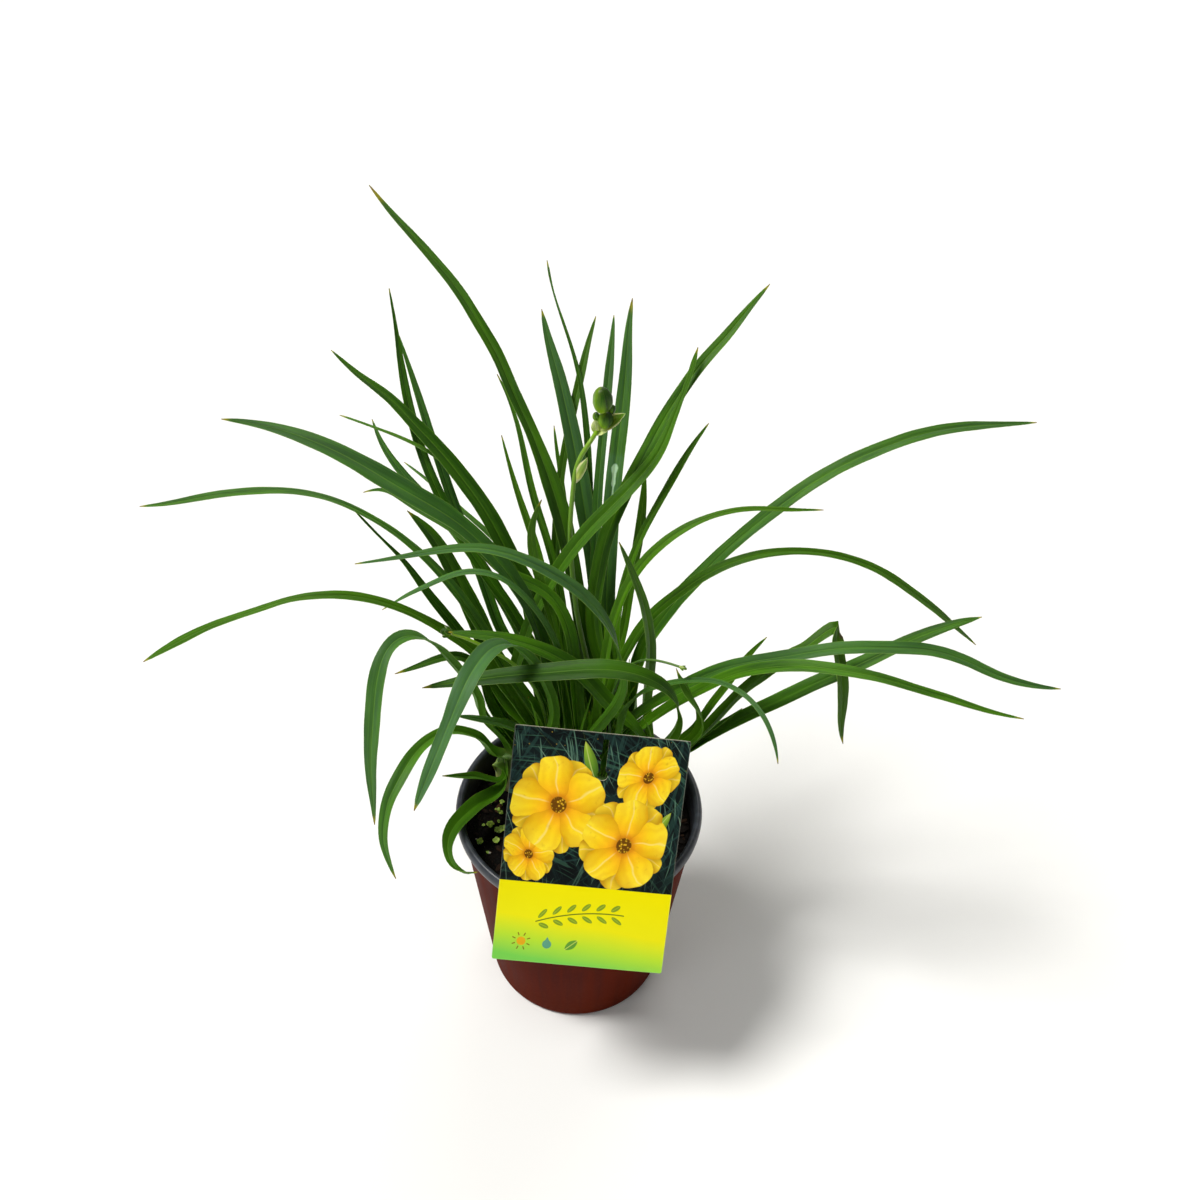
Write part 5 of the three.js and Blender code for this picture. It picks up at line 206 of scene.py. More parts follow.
        (-53.73, 151.78, 378.9, -0.912, -0.375, -0.164, 1.11, 10.7),
        (-58.21, 158.28, 386.13, -0.896, -0.398, -0.195, 0.8, 10.3),
        (-63.33, 164.68, 393.1, -0.879, -0.421, -0.225, 0.6, 10),
    ]),
    "back_left_fan_leaf_3": ("back_left_fan", (-18.4, 53.7, 153.7, -0.17, -0.98, 0, 3, 40), [
        (-18.33, 53.7, 175, -0.2, -0.921, 0.335, 3.87, 40),
        (-18.92, 58.56, 188, -0.397, -0.874, 0.279, 4.24, 38.5),
        (-21.43, 63.39, 200.92, -0.576, -0.804, 0.146, 4.64, 35),
        (-25.39, 67.73, 212.9, -0.685, -0.728, -0.035, 4.31, 30.7),
        (-33.81, 73.56, 231.51, -0.733, -0.661, -0.157, 4.02, 23.9),
        (-43.7, 79.26, 249.92, -0.741, -0.631, -0.229, 3.87, 19),
        (-54.77, 84.97, 267.89, -0.723, -0.632, -0.279, 3.79, 16.3),
        (-67.11, 90.53, 285.05, -0.72, -0.632, -0.285, 3.75, 15.1),
        (-78.9, 97.01, 302.17, -0.75, -0.615, -0.242, 3.73, 14.3),
        (-89.64, 104.49, 319.42, -0.783, -0.592, -0.192, 3.69, 13.7),
        (-99.34, 112.8, 336.78, -0.814, -0.564, -0.138, 3.53, 13.2),
        (-107.66, 121.79, 354.47, -0.846, -0.529, -0.07, 3.37, 12.7),
        (-114.13, 131.16, 372.71, -0.87, -0.493, -0.001, 3.29, 12.1),
        (-118.91, 140.68, 391.35, -0.883, -0.467, 0.05, 2.92, 11.6),
        (-122.53, 150.41, 410.1, -0.889, -0.452, 0.08, 2.1, 11.1),
        (-125.56, 160.26, 428.82, -0.887, -0.458, 0.068, 1.12, 10.5),
        (-127.3, 165.17, 438.11, -0.885, -0.463, 0.056, 0.8, 10.3),
        (-129.19, 170.1, 447.38, -0.883, -0.468, 0.045, 0.6, 10),
    ]),
    "back_left_fan_leaf_4": ("back_left_fan", (-21.6, 54.3, 154.8, -0.17, -0.98, 0, 3, 40), [
        (-21.67, 54.3, 175, -0.191, -0.923, 0.334, 3.87, 40),
        (-21.92, 58.97, 187.77, -0.385, -0.885, 0.261, 4.23, 38.5),
        (-25.67, 63.35, 199.83, -0.542, -0.839, 0.053, 4.43, 35.2),
        (-31.64, 66.71, 210.9, -0.604, -0.775, -0.186, 3.69, 31),
        (-44.74, 71.08, 229.61, -0.677, -0.686, -0.266, 3.88, 23.5),
        (-57.33, 77.43, 248.64, -0.788, -0.587, -0.185, 3.83, 18.3),
        (-65.73, 87.09, 268.25, -0.855, -0.511, -0.093, 3.8, 15.8),
        (-73.75, 97.9, 287.27, -0.86, -0.502, -0.095, 3.77, 14.5),
        (-82.71, 109.1, 305.54, -0.86, -0.501, -0.097, 3.73, 13.8),
        (-91.27, 120.94, 323.48, -0.872, -0.484, -0.071, 3.55, 13.1),
        (-99.16, 133.33, 341.24, -0.881, -0.47, -0.051, 3.26, 12.5),
        (-106.96, 145.97, 358.8, -0.886, -0.462, -0.04, 2.91, 11.9),
        (-114.39, 158.91, 376.25, -0.887, -0.461, -0.04, 2.42, 11.2),
        (-122.09, 171.91, 393.52, -0.88, -0.471, -0.055, 1.54, 10.6),
        (-126.05, 178.42, 402.1, -0.879, -0.473, -0.06, 1.02, 10.3),
        (-130.06, 184.94, 410.65, -0.877, -0.476, -0.065, 0.6, 10),
    ]),
    "back_left_fan_leaf_5": ("back_left_fan", (-24.7, 54.8, 153.4, -0.17, -0.98, 0, 3, 40), [
        (-25.02, 54.89, 173, -0.237, -0.893, 0.381, 4.23, 40),
        (-26.62, 60.63, 185.45, -0.417, -0.847, 0.33, 4.63, 38.4),
        (-29.38, 66.68, 197.8, -0.585, -0.779, 0.226, 5.12, 34.9),
        (-32.89, 72.29, 209.45, -0.696, -0.715, 0.064, 4.87, 30.4),
        (-39.64, 79.38, 228.22, -0.748, -0.66, -0.061, 4.54, 23.5),
        (-48.21, 86.19, 246.75, -0.755, -0.64, -0.146, 4.34, 18.5),
        (-58.44, 93.36, 264.23, -0.74, -0.644, -0.193, 4.26, 15.7),
        (-70.04, 101.2, 280.29, -0.72, -0.658, -0.22, 4.23, 14.2),
        (-82.73, 109.7, 294.92, -0.7, -0.673, -0.238, 4.08, 13.4),
        (-96.32, 118.59, 308.3, -0.67, -0.694, -0.265, 3.72, 12.7),
        (-111.09, 127.37, 320.33, -0.652, -0.707, -0.274, 3.34, 12),
        (-125.79, 136.61, 332.02, -0.697, -0.68, -0.228, 2.99, 11.3),
        (-138.54, 147.31, 344.69, -0.79, -0.601, -0.119, 2.09, 10.7),
        (-143.47, 153.37, 351.52, -0.814, -0.575, -0.081, 1.38, 10.3),
        (-147.5, 159.89, 358.67, -0.835, -0.548, -0.043, 0.6, 10),
    ]),
    "back_left_fan_leaf_6": ("back_left_fan", (-27.8, 55.4, 154.5, -0.17, -0.98, 0, 2, 40), [
        (-28.37, 55.48, 171, -0.192, -0.974, 0.12, 2, 40),
        (-30.69, 57.93, 187.16, -0.371, -0.925, 0.081, 2.18, 37.9),
        (-33.01, 60.16, 203.14, -0.546, -0.836, 0.057, 2.24, 33.4),
        (-34.86, 62.72, 217.2, -0.69, -0.719, 0.088, 1.88, 28.5),
        (-36.78, 68.07, 238.3, -0.772, -0.629, 0.095, 1.99, 21.9),
        (-39.14, 74.23, 258.6, -0.803, -0.591, 0.068, 1.89, 17.8),
        (-42.78, 80.88, 278.65, -0.802, -0.597, 0.019, 1.83, 15.6),
        (-48.43, 87.95, 298.52, -0.779, -0.625, -0.047, 1.79, 14.5),
        (-56.72, 95.29, 317.87, -0.734, -0.666, -0.13, 1.74, 13.7),
        (-68.4, 102.75, 335.6, -0.661, -0.717, -0.222, 1.63, 13.1),
        (-83.78, 110.26, 350.07, -0.573, -0.764, -0.297, 1.47, 12.4),
        (-101.71, 117.95, 360.7, -0.474, -0.806, -0.354, 1.32, 11.8),
        (-121.66, 125.03, 367.13, -0.385, -0.838, -0.388, 1.21, 11.2),
        (-142.27, 131.84, 370.95, -0.347, -0.849, -0.398, 0.86, 10.6),
        (-152.6, 135.27, 372.53, -0.344, -0.85, -0.4, 0.8, 10.3),
        (-162.96, 138.72, 373.91, -0.341, -0.85, -0.402, 0.6, 10),
    ]),
    "front_left_fan_leaf_1": ("front_left_fan", (-9.6, 25.8, 153, 0.34, -0.94, 0, 2.75, 40), [
        (-8.82, 26.07, 169, 0.345, -0.921, 0.182, 2.75, 40),
        (-9.05, 28.91, 183.75, 0.003, -0.983, 0.183, 3.05, 38.1),
        (-9.53, 31.55, 198.48, -0.438, -0.888, 0.14, 3.66, 34),
        (-10.24, 33.96, 212.14, -0.762, -0.646, 0.057, 3.22, 29.2),
        (-12.1, 37.82, 234.76, -0.892, -0.452, -0.014, 2.8, 21.7),
        (-14.99, 41.99, 256.88, -0.926, -0.369, -0.072, 2.65, 16.9),
        (-19.29, 47.48, 277.64, -0.926, -0.358, -0.123, 2.56, 14.3),
        (-25.16, 54.36, 297.05, -0.917, -0.365, -0.16, 2.7, 13),
        (-31.48, 60, 317.81, -0.933, -0.338, -0.12, 3.12, 11.9),
        (-34.48, 63.45, 341.62, -0.959, -0.268, 0.094, 2.5, 11),
        (-32.46, 64.67, 353.61, -0.956, -0.235, 0.174, 1.65, 10.5),
        (-28.18, 65.53, 365.5, -0.946, -0.201, 0.254, 0.6, 10),
    ]),
    "front_left_fan_leaf_2": ("front_left_fan", (-12.6, 24.7, 154.1, 0.34, -0.94, 0, 2.4, 40), [
        (-12.01, 24.91, 171, 0.385, -0.866, 0.32, 2.4, 40),
        (-11.03, 30.24, 184.25, 0.05, -0.926, 0.373, 2.64, 38.3),
        (-10.88, 35.63, 197.46, -0.399, -0.854, 0.334, 3.15, 34.6),
        (-11.73, 40.55, 209.82, -0.737, -0.662, 0.138, 2.86, 30.1),
        (-15, 46.86, 229.31, -0.875, -0.484, -0.008, 2.48, 23.2),
        (-19.11, 53.25, 248.94, -0.922, -0.384, -0.056, 2.37, 18.3),
        (-22.98, 60.33, 268.45, -0.941, -0.336, -0.038, 2.33, 15.4),
        (-26.11, 68.14, 287.9, -0.945, -0.325, -0.03, 2.45, 13.9),
        (-30.03, 76.09, 307.36, -0.933, -0.35, -0.082, 2.71, 13),
        (-36.19, 83.84, 326.46, -0.914, -0.38, -0.141, 2.58, 12.2),
        (-43.38, 91.8, 345.07, -0.91, -0.388, -0.148, 2.03, 11.5),
        (-49.92, 100.46, 363.43, -0.908, -0.391, -0.15, 1.3, 10.7),
        (-52.91, 105.04, 372.53, -0.905, -0.395, -0.156, 0.86, 10.4),
        (-55.73, 109.78, 381.6, -0.902, -0.399, -0.162, 0.6, 10),
    ]),
    "front_left_fan_leaf_3": ("front_left_fan", (-15.5, 23.6, 155.2, 0.34, -0.94, 0, 3, 40), [
        (-15.21, 23.74, 173, 0.327, -0.92, 0.217, 4.3, 40),
        (-16.8, 26.71, 187.93, 0.105, -0.975, 0.196, 5.45, 38.3),
        (-18.44, 29.39, 202.87, -0.191, -0.968, 0.161, 5.2, 34.3),
        (-19.87, 32.06, 216.52, -0.469, -0.871, 0.144, 5, 29.7),
        (-21.76, 36.96, 237.94, -0.629, -0.771, 0.096, 5, 22.9),
        (-24.78, 41.44, 259.48, -0.677, -0.736, -0.013, 5, 18.5),
        (-29.9, 43.63, 282.44, -0.654, -0.744, -0.136, 5, 16.2),
        (-37.59, 43.85, 305.58, -0.611, -0.766, -0.198, 5, 15.1),
        (-48.48, 45.85, 325.26, -0.573, -0.789, -0.221, 5.75, 14.5),
        (-62.08, 49.25, 341.85, -0.513, -0.815, -0.268, 5.4, 14),
        (-78.14, 53, 356.08, -0.429, -0.842, -0.326, 5.92, 13.5),
        (-96.81, 56.82, 367.22, -0.378, -0.857, -0.35, 6.71, 13),
        (-116.5, 62.06, 376.48, -0.39, -0.854, -0.343, 6.72, 12.5),
        (-136.26, 69.15, 384.63, -0.394, -0.852, -0.345, 5.99, 12),
        (-156.76, 76.45, 390.69, -0.357, -0.861, -0.363, 5.23, 11.5),
        (-177.97, 83.44, 394.55, -0.292, -0.875, -0.386, 4.12, 11),
        (-199.87, 89.34, 396.06, -0.219, -0.889, -0.403, 2.41, 10.5),
        (-210.99, 91.81, 396.12, -0.202, -0.89, -0.41, 1.59, 10.3),
        (-222.19, 93.97, 395.74, -0.186, -0.89, -0.416, 0.6, 10),
    ]),
    "front_left_fan_leaf_4": ("front_left_fan", (-18.5, 22.5, 153.7, 0.34, -0.94, 0, 3, 40), [
        (-18.4, 22.58, 175, 0.315, -0.906, 0.282, 3.75, 40),
        (-20.51, 26.32, 189.4, 0.112, -0.962, 0.251, 4.16, 38.3),
        (-24.91, 29.24, 203.44, -0.133, -0.982, 0.132, 4.99, 34.5),
        (-30.42, 31.26, 216.17, -0.332, -0.942, -0.035, 5.07, 29.9),
        (-40.74, 33.62, 235.75, -0.452, -0.881, -0.14, 4.36, 23.1),
        (-51.47, 35.87, 255.07, -0.523, -0.838, -0.156, 4.11, 18.6),
        (-61.23, 39.17, 274.74, -0.557, -0.819, -0.14, 4.01, 16.4),
        (-71.51, 42.9, 294.01, -0.545, -0.823, -0.162, 3.77, 15.4),
        (-83.76, 46.86, 312.17, -0.509, -0.837, -0.202, 3.28, 14.7),
        (-97.97, 50.75, 328.87, -0.466, -0.852, -0.24, 2.67, 14.2),
        (-114.41, 54.63, 343.43, -0.412, -0.867, -0.281, 2.18, 13.8),
        (-133.05, 58.71, 354.52, -0.358, -0.879, -0.315, 1.95, 13.3),
        (-153.57, 63.65, 361.19, -0.286, -0.891, -0.353, 1.87, 12.8),
        (-175.46, 68.21, 362.69, -0.174, -0.906, -0.386, 2.06, 12.4),
        (-197.44, 71.63, 360.22, -0.075, -0.913, -0.402, 2.5, 11.9),
        (-219.02, 74.49, 355.52, -0.009, -0.913, -0.409, 2.66, 11.4),
        (-240.13, 77.15, 349.21, 0.029, -0.912, -0.409, 2.52, 10.9),
        (-261.07, 79.81, 342.2, 0.021, -0.909, -0.415, 1.75, 10.5),
        (-271.61, 81.51, 339.05, 0.012, -0.909, -0.417, 1.15, 10.2),
        (-282.2, 83.43, 336.12, 0.003, -0.908, -0.419, 0.6, 10),
    ]),
    "side_scape": ("front_left_fan", (-21.5, 21.5, 154.8, 0.34, -0.94, 0, 2, 40), [
        (-21.6, 21.42, 175, 0.342, -0.916, 0.209, 2, 40),
        (-22.09, 24.41, 188.94, 0.276, -0.942, 0.192, 2.03, 38),
        (-22.98, 26.73, 203.05, 0.1, -0.983, 0.153, 2.08, 33.9),
        (-24.65, 28.44, 216.49, -0.173, -0.982, 0.073, 2.11, 29),
        (-27.65, 29.57, 230.09, -0.365, -0.929, -0.05, 2.02, 24),
        (-32.63, 30.11, 243.62, -0.406, -0.897, -0.172, 1.63, 19.5),
        (-39.96, 30.11, 256.31, -0.351, -0.897, -0.269, 1.42, 16.1),
        (-49.58, 29.62, 267.32, -0.262, -0.906, -0.333, 1.18, 13.8),
        (-60.89, 28.8, 276.3, -0.206, -0.914, -0.348, 0.89, 12.2),
        (-72.77, 28.44, 284.1, -0.152, -0.92, -0.362, 0.52, 11),
        (-85.27, 27.36, 290.22, -0.103, -0.922, -0.373, 0.35, 10.1),
    ]),
    "front_left_fan_leaf_5": ("front_left_fan", (-24.5, 20.4, 153.4, 0.34, -0.94, 0, 3, 40), [
        (-24.79, 20.26, 173, 0.317, -0.904, 0.285, 4.09, 40),
        (-26.77, 24.07, 187.28, 0.16, -0.953, 0.258, 4.53, 38.3),
        (-31.07, 26.86, 201.21, -0.038, -0.986, 0.16, 5.43, 34.5),
        (-36.46, 28.74, 213.69, -0.215, -0.976, 0.025, 6.15, 30),
        (-44.2, 30.45, 228.68, -0.325, -0.943, -0.074, 5.34, 24.5),
        (-52.57, 31.99, 243.12, -0.374, -0.92, -0.12, 4.89, 20.4),
        (-61.36, 33.71, 257.16, -0.364, -0.917, -0.164, 4.65, 17.7),
        (-71.76, 34.62, 270.26, -0.296, -0.925, -0.24, 4.26, 16.1),
        (-83.93, 33.89, 282.31, -0.222, -0.93, -0.293, 3.59, 15.2),
        (-96.87, 32.35, 294.23, -0.154, -0.932, -0.328, 2.99, 14.6),
        (-110.98, 30.3, 305.11, -0.071, -0.93, -0.36, 2.78, 14.1),
        (-126.47, 27.95, 313.66, 0.006, -0.927, -0.375, 2.9, 13.7),
        (-142.98, 25.32, 318.91, 0.076, -0.922, -0.38, 2.91, 13.3),
        (-160.04, 22.64, 320.29, 0.147, -0.913, -0.379, 2.51, 12.9),
        (-176.96, 19.91, 318.22, 0.22, -0.902, -0.373, 2.03, 12.5),
        (-193.25, 17.1, 313.03, 0.247, -0.895, -0.372, 2.06, 12.1),
        (-209.45, 15.32, 307.02, 0.25, -0.891, -0.379, 2.19, 11.6),
        (-225.29, 14.12, 299.97, 0.28, -0.883, -0.376, 2.43, 11.2),
        (-240.53, 12.52, 291.74, 0.311, -0.876, -0.369, 2.91, 10.8),
        (-255.37, 10.65, 282.82, 0.335, -0.869, -0.364, 2.22, 10.4),
        (-262.68, 9.62, 278.19, 0.342, -0.867, -0.363, 1.46, 10.2),
        (-269.9, 8.52, 273.46, 0.348, -0.864, -0.363, 0.6, 10),
    ]),
    "front_left_fan_leaf_6": ("front_left_fan", (-27.4, 19.3, 154.5, 0.34, -0.94, 0, 3, 40), [
        (-27.99, 19.09, 171, 0.338, -0.94, -0.038, 4.3, 40),
        (-25.97, 19.08, 189.38, 0.553, -0.822, -0.137, 4.6, 37.4),
        (-22.17, 18.29, 206.18, 0.729, -0.641, -0.242, 4.2, 31.8),
        (-19, 17.46, 221.08, 0.863, -0.461, -0.205, 3.9, 25.7),
        (-17.93, 17.13, 234.63, 0.941, -0.333, -0.064, 3.7, 20.9),
        (-19.57, 16.21, 247.95, 0.963, -0.252, 0.095, 3.7, 17.8),
        (-22.82, 15.4, 260.18, 0.954, -0.201, 0.222, 3.8, 16),
        (-26.74, 14.98, 271.52, 0.917, -0.189, 0.351, 4, 15),
        (-31.8, 14, 282.43, 0.827, -0.261, 0.498, 4.3, 14.4),
        (-38.32, 11.44, 293.22, 0.652, -0.512, 0.559, 4.8, 13.9),
        (-46.59, 5.56, 303.11, 0.526, -0.833, 0.17, 5.6, 13.5),
        (-54.96, -4.49, 306.51, 0.741, -0.65, -0.166, 6.2, 13.2),
        (-61.1, -15.75, 305.29, 0.875, -0.452, -0.174, 6.3, 12.8),
        (-66.13, -26.76, 301.44, 0.922, -0.364, -0.13, 6.3, 12.4),
        (-70.39, -36.59, 294.63, 0.935, -0.338, -0.103, 5.5, 12),
        (-74.67, -45.8, 286.46, 0.929, -0.354, -0.109, 4.43, 11.6),
        (-79.21, -54.26, 277.26, 0.92, -0.372, -0.123, 4.38, 11.2),
        (-83.82, -61.98, 267.23, 0.915, -0.382, -0.133, 4.12, 10.8),
        (-88.47, -69.24, 256.77, 0.913, -0.384, -0.135, 2.83, 10.4),
        (-90.73, -72.81, 251.42, 0.914, -0.383, -0.134, 1.86, 10.2),
        (-92.93, -76.33, 246.02, 0.915, -0.382, -0.133, 0.6, 10),
    ]),
    "front_left_fan_leaf_7": ("front_left_fan", (-30.4, 18.2, 153, 0.34, -0.94, 0, 3, 40), [
        (-31.18, 17.93, 169, 0.331, -0.937, -0.112, 3.07, 40),
        (-29.48, 16.76, 183.84, 0.512, -0.847, -0.141, 3.4, 37.8),
        (-28.37, 14.69, 198.62, 0.648, -0.755, -0.097, 4.05, 33.3),
        (-31.55, 11.39, 211.75, 0.634, -0.772, -0.037, 4.56, 28.2),
        (-37.2, 6.21, 224.27, 0.513, -0.847, -0.138, 4.65, 22.9),
        (-43.52, 0.18, 236.06, 0.407, -0.874, -0.265, 4.38, 18.5),
        (-50.47, -6.82, 246.92, 0.389, -0.859, -0.332, 3.32, 15.2),
        (-57.79, -14.42, 257.13, 0.407, -0.846, -0.345, 2.76, 13),
        (-65.29, -22.18, 267.08, 0.425, -0.837, -0.345, 1.97, 11.4),
        (-69.04, -26.15, 271.98, 0.431, -0.834, -0.345, 1.3, 10.8),
        (-72.8, -30.18, 276.84, 0.437, -0.831, -0.345, 0.6, 10.2),
    ]),
    "back_fan_leaf_1": ("back_fan", (14.3, 62, 154.1, 0, -1, 0, 3, 40), [
        (14.8, 62, 172, 0.012, -0.957, 0.289, 4.3, 40),
        (15.39, 66.16, 185.77, -0.308, -0.907, 0.287, 5.02, 38.4),
        (15.27, 70.55, 199.53, -0.63, -0.746, 0.213, 6.41, 34.7),
        (14.43, 74.63, 212.57, -0.842, -0.535, 0.073, 5.78, 30.2),
        (11.83, 80.5, 232.89, -0.93, -0.367, -0.021, 5.38, 23.4),
        (8.67, 86.89, 253.15, -0.96, -0.276, -0.051, 5.19, 18.6),
        (5.71, 94.28, 273.03, -0.971, -0.237, -0.041, 5.11, 16.1),
        (2.84, 102.78, 292.36, -0.974, -0.224, -0.032, 5.26, 14.8),
        (-0.89, 112.37, 310.97, -0.973, -0.226, -0.037, 5.81, 14),
        (-5.02, 123.09, 328.77, -0.971, -0.233, -0.049, 6.22, 13.4),
        (-9.15, 134.99, 345.68, -0.966, -0.249, -0.072, 6.01, 12.8),
        (-13.79, 147.89, 361.68, -0.958, -0.27, -0.101, 5.53, 12.3),
        (-19.03, 161.53, 376.92, -0.95, -0.287, -0.122, 5.02, 11.7),
        (-24.86, 175.62, 391.6, -0.945, -0.297, -0.134, 4.26, 11.1),
        (-31.28, 189.93, 405.86, -0.949, -0.29, -0.126, 2.75, 10.6),
        (-34.1, 197.23, 413.02, -0.951, -0.285, -0.12, 1.81, 10.3),
        (-36.67, 204.62, 420.18, -0.953, -0.28, -0.114, 0.6, 10),
    ]),
    "back_fan_leaf_2": ("back_fan", (11.2, 62, 155.2, 0, -1, 0, 2.48, 40), [
        (11.4, 62, 174, -0.016, -0.94, 0.341, 2.48, 40),
        (10.78, 66.77, 187.12, -0.331, -0.89, 0.313, 2.72, 38.5),
        (9.93, 71.77, 200.26, -0.649, -0.724, 0.233, 3.09, 35),
        (9.02, 76.56, 212.69, -0.862, -0.494, 0.112, 2.73, 30.7),
        (7.58, 83.45, 233.53, -0.951, -0.306, 0.033, 2.5, 23.7),
        (5.93, 90.64, 254.59, -0.978, -0.209, -0.005, 2.42, 18.8),
        (4.07, 98.85, 275.37, -0.985, -0.173, -0.015, 2.38, 16.2),
        (2.19, 108.24, 295.59, -0.987, -0.159, -0.007, 2.36, 15),
        (0.52, 118.98, 315.12, -0.989, -0.146, 0.011, 2.34, 14.3),
        (-0.93, 131, 333.87, -0.991, -0.135, 0.023, 2.33, 13.7),
        (-2.73, 144.09, 351.76, -0.99, -0.142, 0.007, 2.26, 13.2),
        (-5.43, 158.18, 368.59, -0.984, -0.176, -0.042, 2.06, 12.7),
        (-9.28, 172.97, 384.44, -0.967, -0.23, -0.11, 1.67, 12.1),
        (-15.21, 187.86, 399.32, -0.946, -0.278, -0.165, 1.22, 11.6),
        (-22.63, 202.93, 413.32, -0.941, -0.289, -0.176, 0.92, 11.1),
        (-29.81, 218.42, 427.02, -0.957, -0.254, -0.138, 0.62, 10.5),
        (-32.57, 226.37, 434, -0.963, -0.24, -0.121, 0.8, 10.3),
        (-34.8, 234.46, 441.06, -0.968, -0.227, -0.104, 0.6, 10),
    ]),
    "scape": ("back_fan", (8, 62, 153.7, 0, -1, 0, 2, 40), [
        (8, 62, 176, -0.005, -0.993, 0.119, 2, 40),
        (7.38, 63.87, 191.52, -0.373, -0.924, 0.08, 2.16, 38.1),
        (5.75, 65.6, 206.89, -0.714, -0.7, -0.017, 2.11, 33.8),
        (3.5, 67.13, 221.03, -0.896, -0.429, -0.113, 1.8, 28.9),
        (0.34, 69.05, 236.62, -0.955, -0.247, -0.167, 1.7, 23.7),
        (-2.97, 71.37, 251.79, -0.971, -0.16, -0.175, 1.67, 19.7),
        (-5.91, 74.27, 266.54, -0.982, -0.121, -0.144, 1.66, 17.1),
        (-8.05, 77.67, 281.18, -0.99, -0.098, -0.104, 1.64, 15.4),
        (-9.69, 81.17, 295.92, -0.993, -0.083, -0.08, 1.63, 14.4),
        (-11.03, 84.6, 310.93, -0.996, -0.067, -0.052, 1.59, 13.7),
        (-11.74, 87.87, 326.24, -0.999, -0.045, 0.001, 1.5, 13.1),
        (-11.29, 91.06, 341.76, -0.998, -0.019, 0.053, 1.37, 12.6),
        (-10.2, 94.28, 357.38, -0.992, 0.015, 0.126, 1.19, 12),
        (-7.28, 97.49, 372.66, -0.944, 0.073, 0.321, 0.97, 11.5),
        (0.16, 100.24, 386.47, -0.897, 0.1, 0.43, 0.71, 11),
        (6.64, 103.36, 400.3, -0.984, 0.029, 0.176, 0.4, 10.5),
        (5.61, 107.61, 415.59, -0.997, -0.054, -0.052, 0.35, 10),
    ]),
    "back_fan_leaf_3": ("back_fan", (4.8, 62, 154.8, 0, -1, 0, 3, 40), [
        (4.6, 62, 174, -0.007, -0.991, 0.13, 4.3, 40),
        (3.77, 64.11, 190, -0.285, -0.952, 0.108, 5.29, 38.1),
        (2.61, 66.2, 205.84, -0.554, -0.829, 0.075, 7.21, 33.9),
        (1.33, 68.47, 220.15, -0.746, -0.664, 0.056, 6.72, 29.1),
        (-1.09, 73.39, 241.9, -0.841, -0.541, 0.024, 6.09, 22.5),
        (-4.1, 78.81, 263.17, -0.874, -0.486, -0.011, 5.78, 18.4),
        (-7.76, 84.45, 284.28, -0.879, -0.475, -0.038, 5.63, 16.4),
        (-12.06, 90.61, 305.21, -0.873, -0.483, -0.065, 5.77, 15.5),
        (-17.06, 97.53, 325.81, -0.865, -0.494, -0.087, 6.43, 14.9),
        (-23.6, 104.66, 345.89, -0.863, -0.498, -0.089, 6.29, 14.4),
        (-31.47, 112.38, 365.4, -0.85, -0.514, -0.12, 4.98, 14),
        (-40.35, 121.25, 383.85, -0.821, -0.543, -0.176, 4.24, 13.6),
        (-50.38, 131.39, 401.14, -0.83, -0.535, -0.161, 4.17, 13.1),
        (-59.93, 142.45, 418.23, -0.833, -0.53, -0.158, 4.06, 12.7),
        (-71.86, 153.81, 433.6, -0.803, -0.56, -0.206, 3.89, 12.2),
        (-84.46, 165.82, 447.85, -0.764, -0.593, -0.255, 3.61, 11.8),
        (-98.87, 177.83, 460.33, -0.724, -0.623, -0.297, 3.19, 11.3),
        (-114.23, 189.7, 471.83, -0.716, -0.627, -0.306, 2.7, 10.9),
        (-129.85, 201.59, 482.96, -0.727, -0.618, -0.298, 1.8, 10.4),
        (-137.3, 207.84, 488.69, -0.731, -0.616, -0.294, 1.19, 10.2),
        (-144.53, 214.27, 494.52, -0.735, -0.613, -0.291, 0.6, 10),
    ]),
    "back_fan_leaf_4": ("back_fan", (1.7, 62, 153.4, 0, -1, 0, 3, 40), [
        (1.2, 62, 172, -0.028, -0.967, 0.252, 4.3, 40),
        (-0.35, 65.72, 186.12, -0.223, -0.954, 0.198, 4.94, 38.4),
        (-4.13, 69.06, 199.98, -0.406, -0.911, 0.067, 6.28, 34.6),
        (-9.04, 71.55, 212.86, -0.538, -0.839, -0.082, 5.96, 29.9),
        (-18.19, 74.74, 234.11, -0.63, -0.762, -0.148, 5.52, 22.7),
        (-26.86, 77.93, 255.83, -0.684, -0.714, -0.15, 5.28, 18),
        (-35.29, 81.57, 277.52, -0.687, -0.704, -0.181, 5.34, 15.7),
        (-46.7, 84.76, 297.61, -0.686, -0.704, -0.184, 5.95, 14.7),
        (-56.92, 90.26, 317.35, -0.701, -0.697, -0.15, 6.33, 14),
        (-68, 97.51, 335.57, -0.683, -0.709, -0.176, 6.02, 13.4),
        (-81.4, 105.17, 351.94, -0.654, -0.727, -0.211, 5.74, 12.9),
        (-96.12, 113.59, 366.87, -0.62, -0.745, -0.247, 5.3, 12.3),
        (-112.27, 122.4, 380.26, -0.599, -0.755, -0.268, 4.36, 11.7),
        (-128.86, 131.83, 392.86, -0.546, -0.78, -0.307, 3.37, 11.2),
        (-147.69, 140.23, 402.91, -0.545, -0.781, -0.307, 2.15, 10.6),
        (-156.66, 144.76, 408.44, -0.571, -0.768, -0.29, 1.42, 10.3),
        (-165.34, 149.51, 414.29, -0.596, -0.755, -0.272, 0.6, 10),
    ]),
    "back_right_fan_leaf_1": ("back_right_fan", (21.8, 47.1, 154.5, -0.17, -0.98, 0, 3, 40), [
        (21.3, 47.18, 172, -0.212, -0.927, 0.31, 3.5, 40),
        (20.06, 51.96, 185.45, -0.503, -0.829, 0.245, 3.86, 38.4),
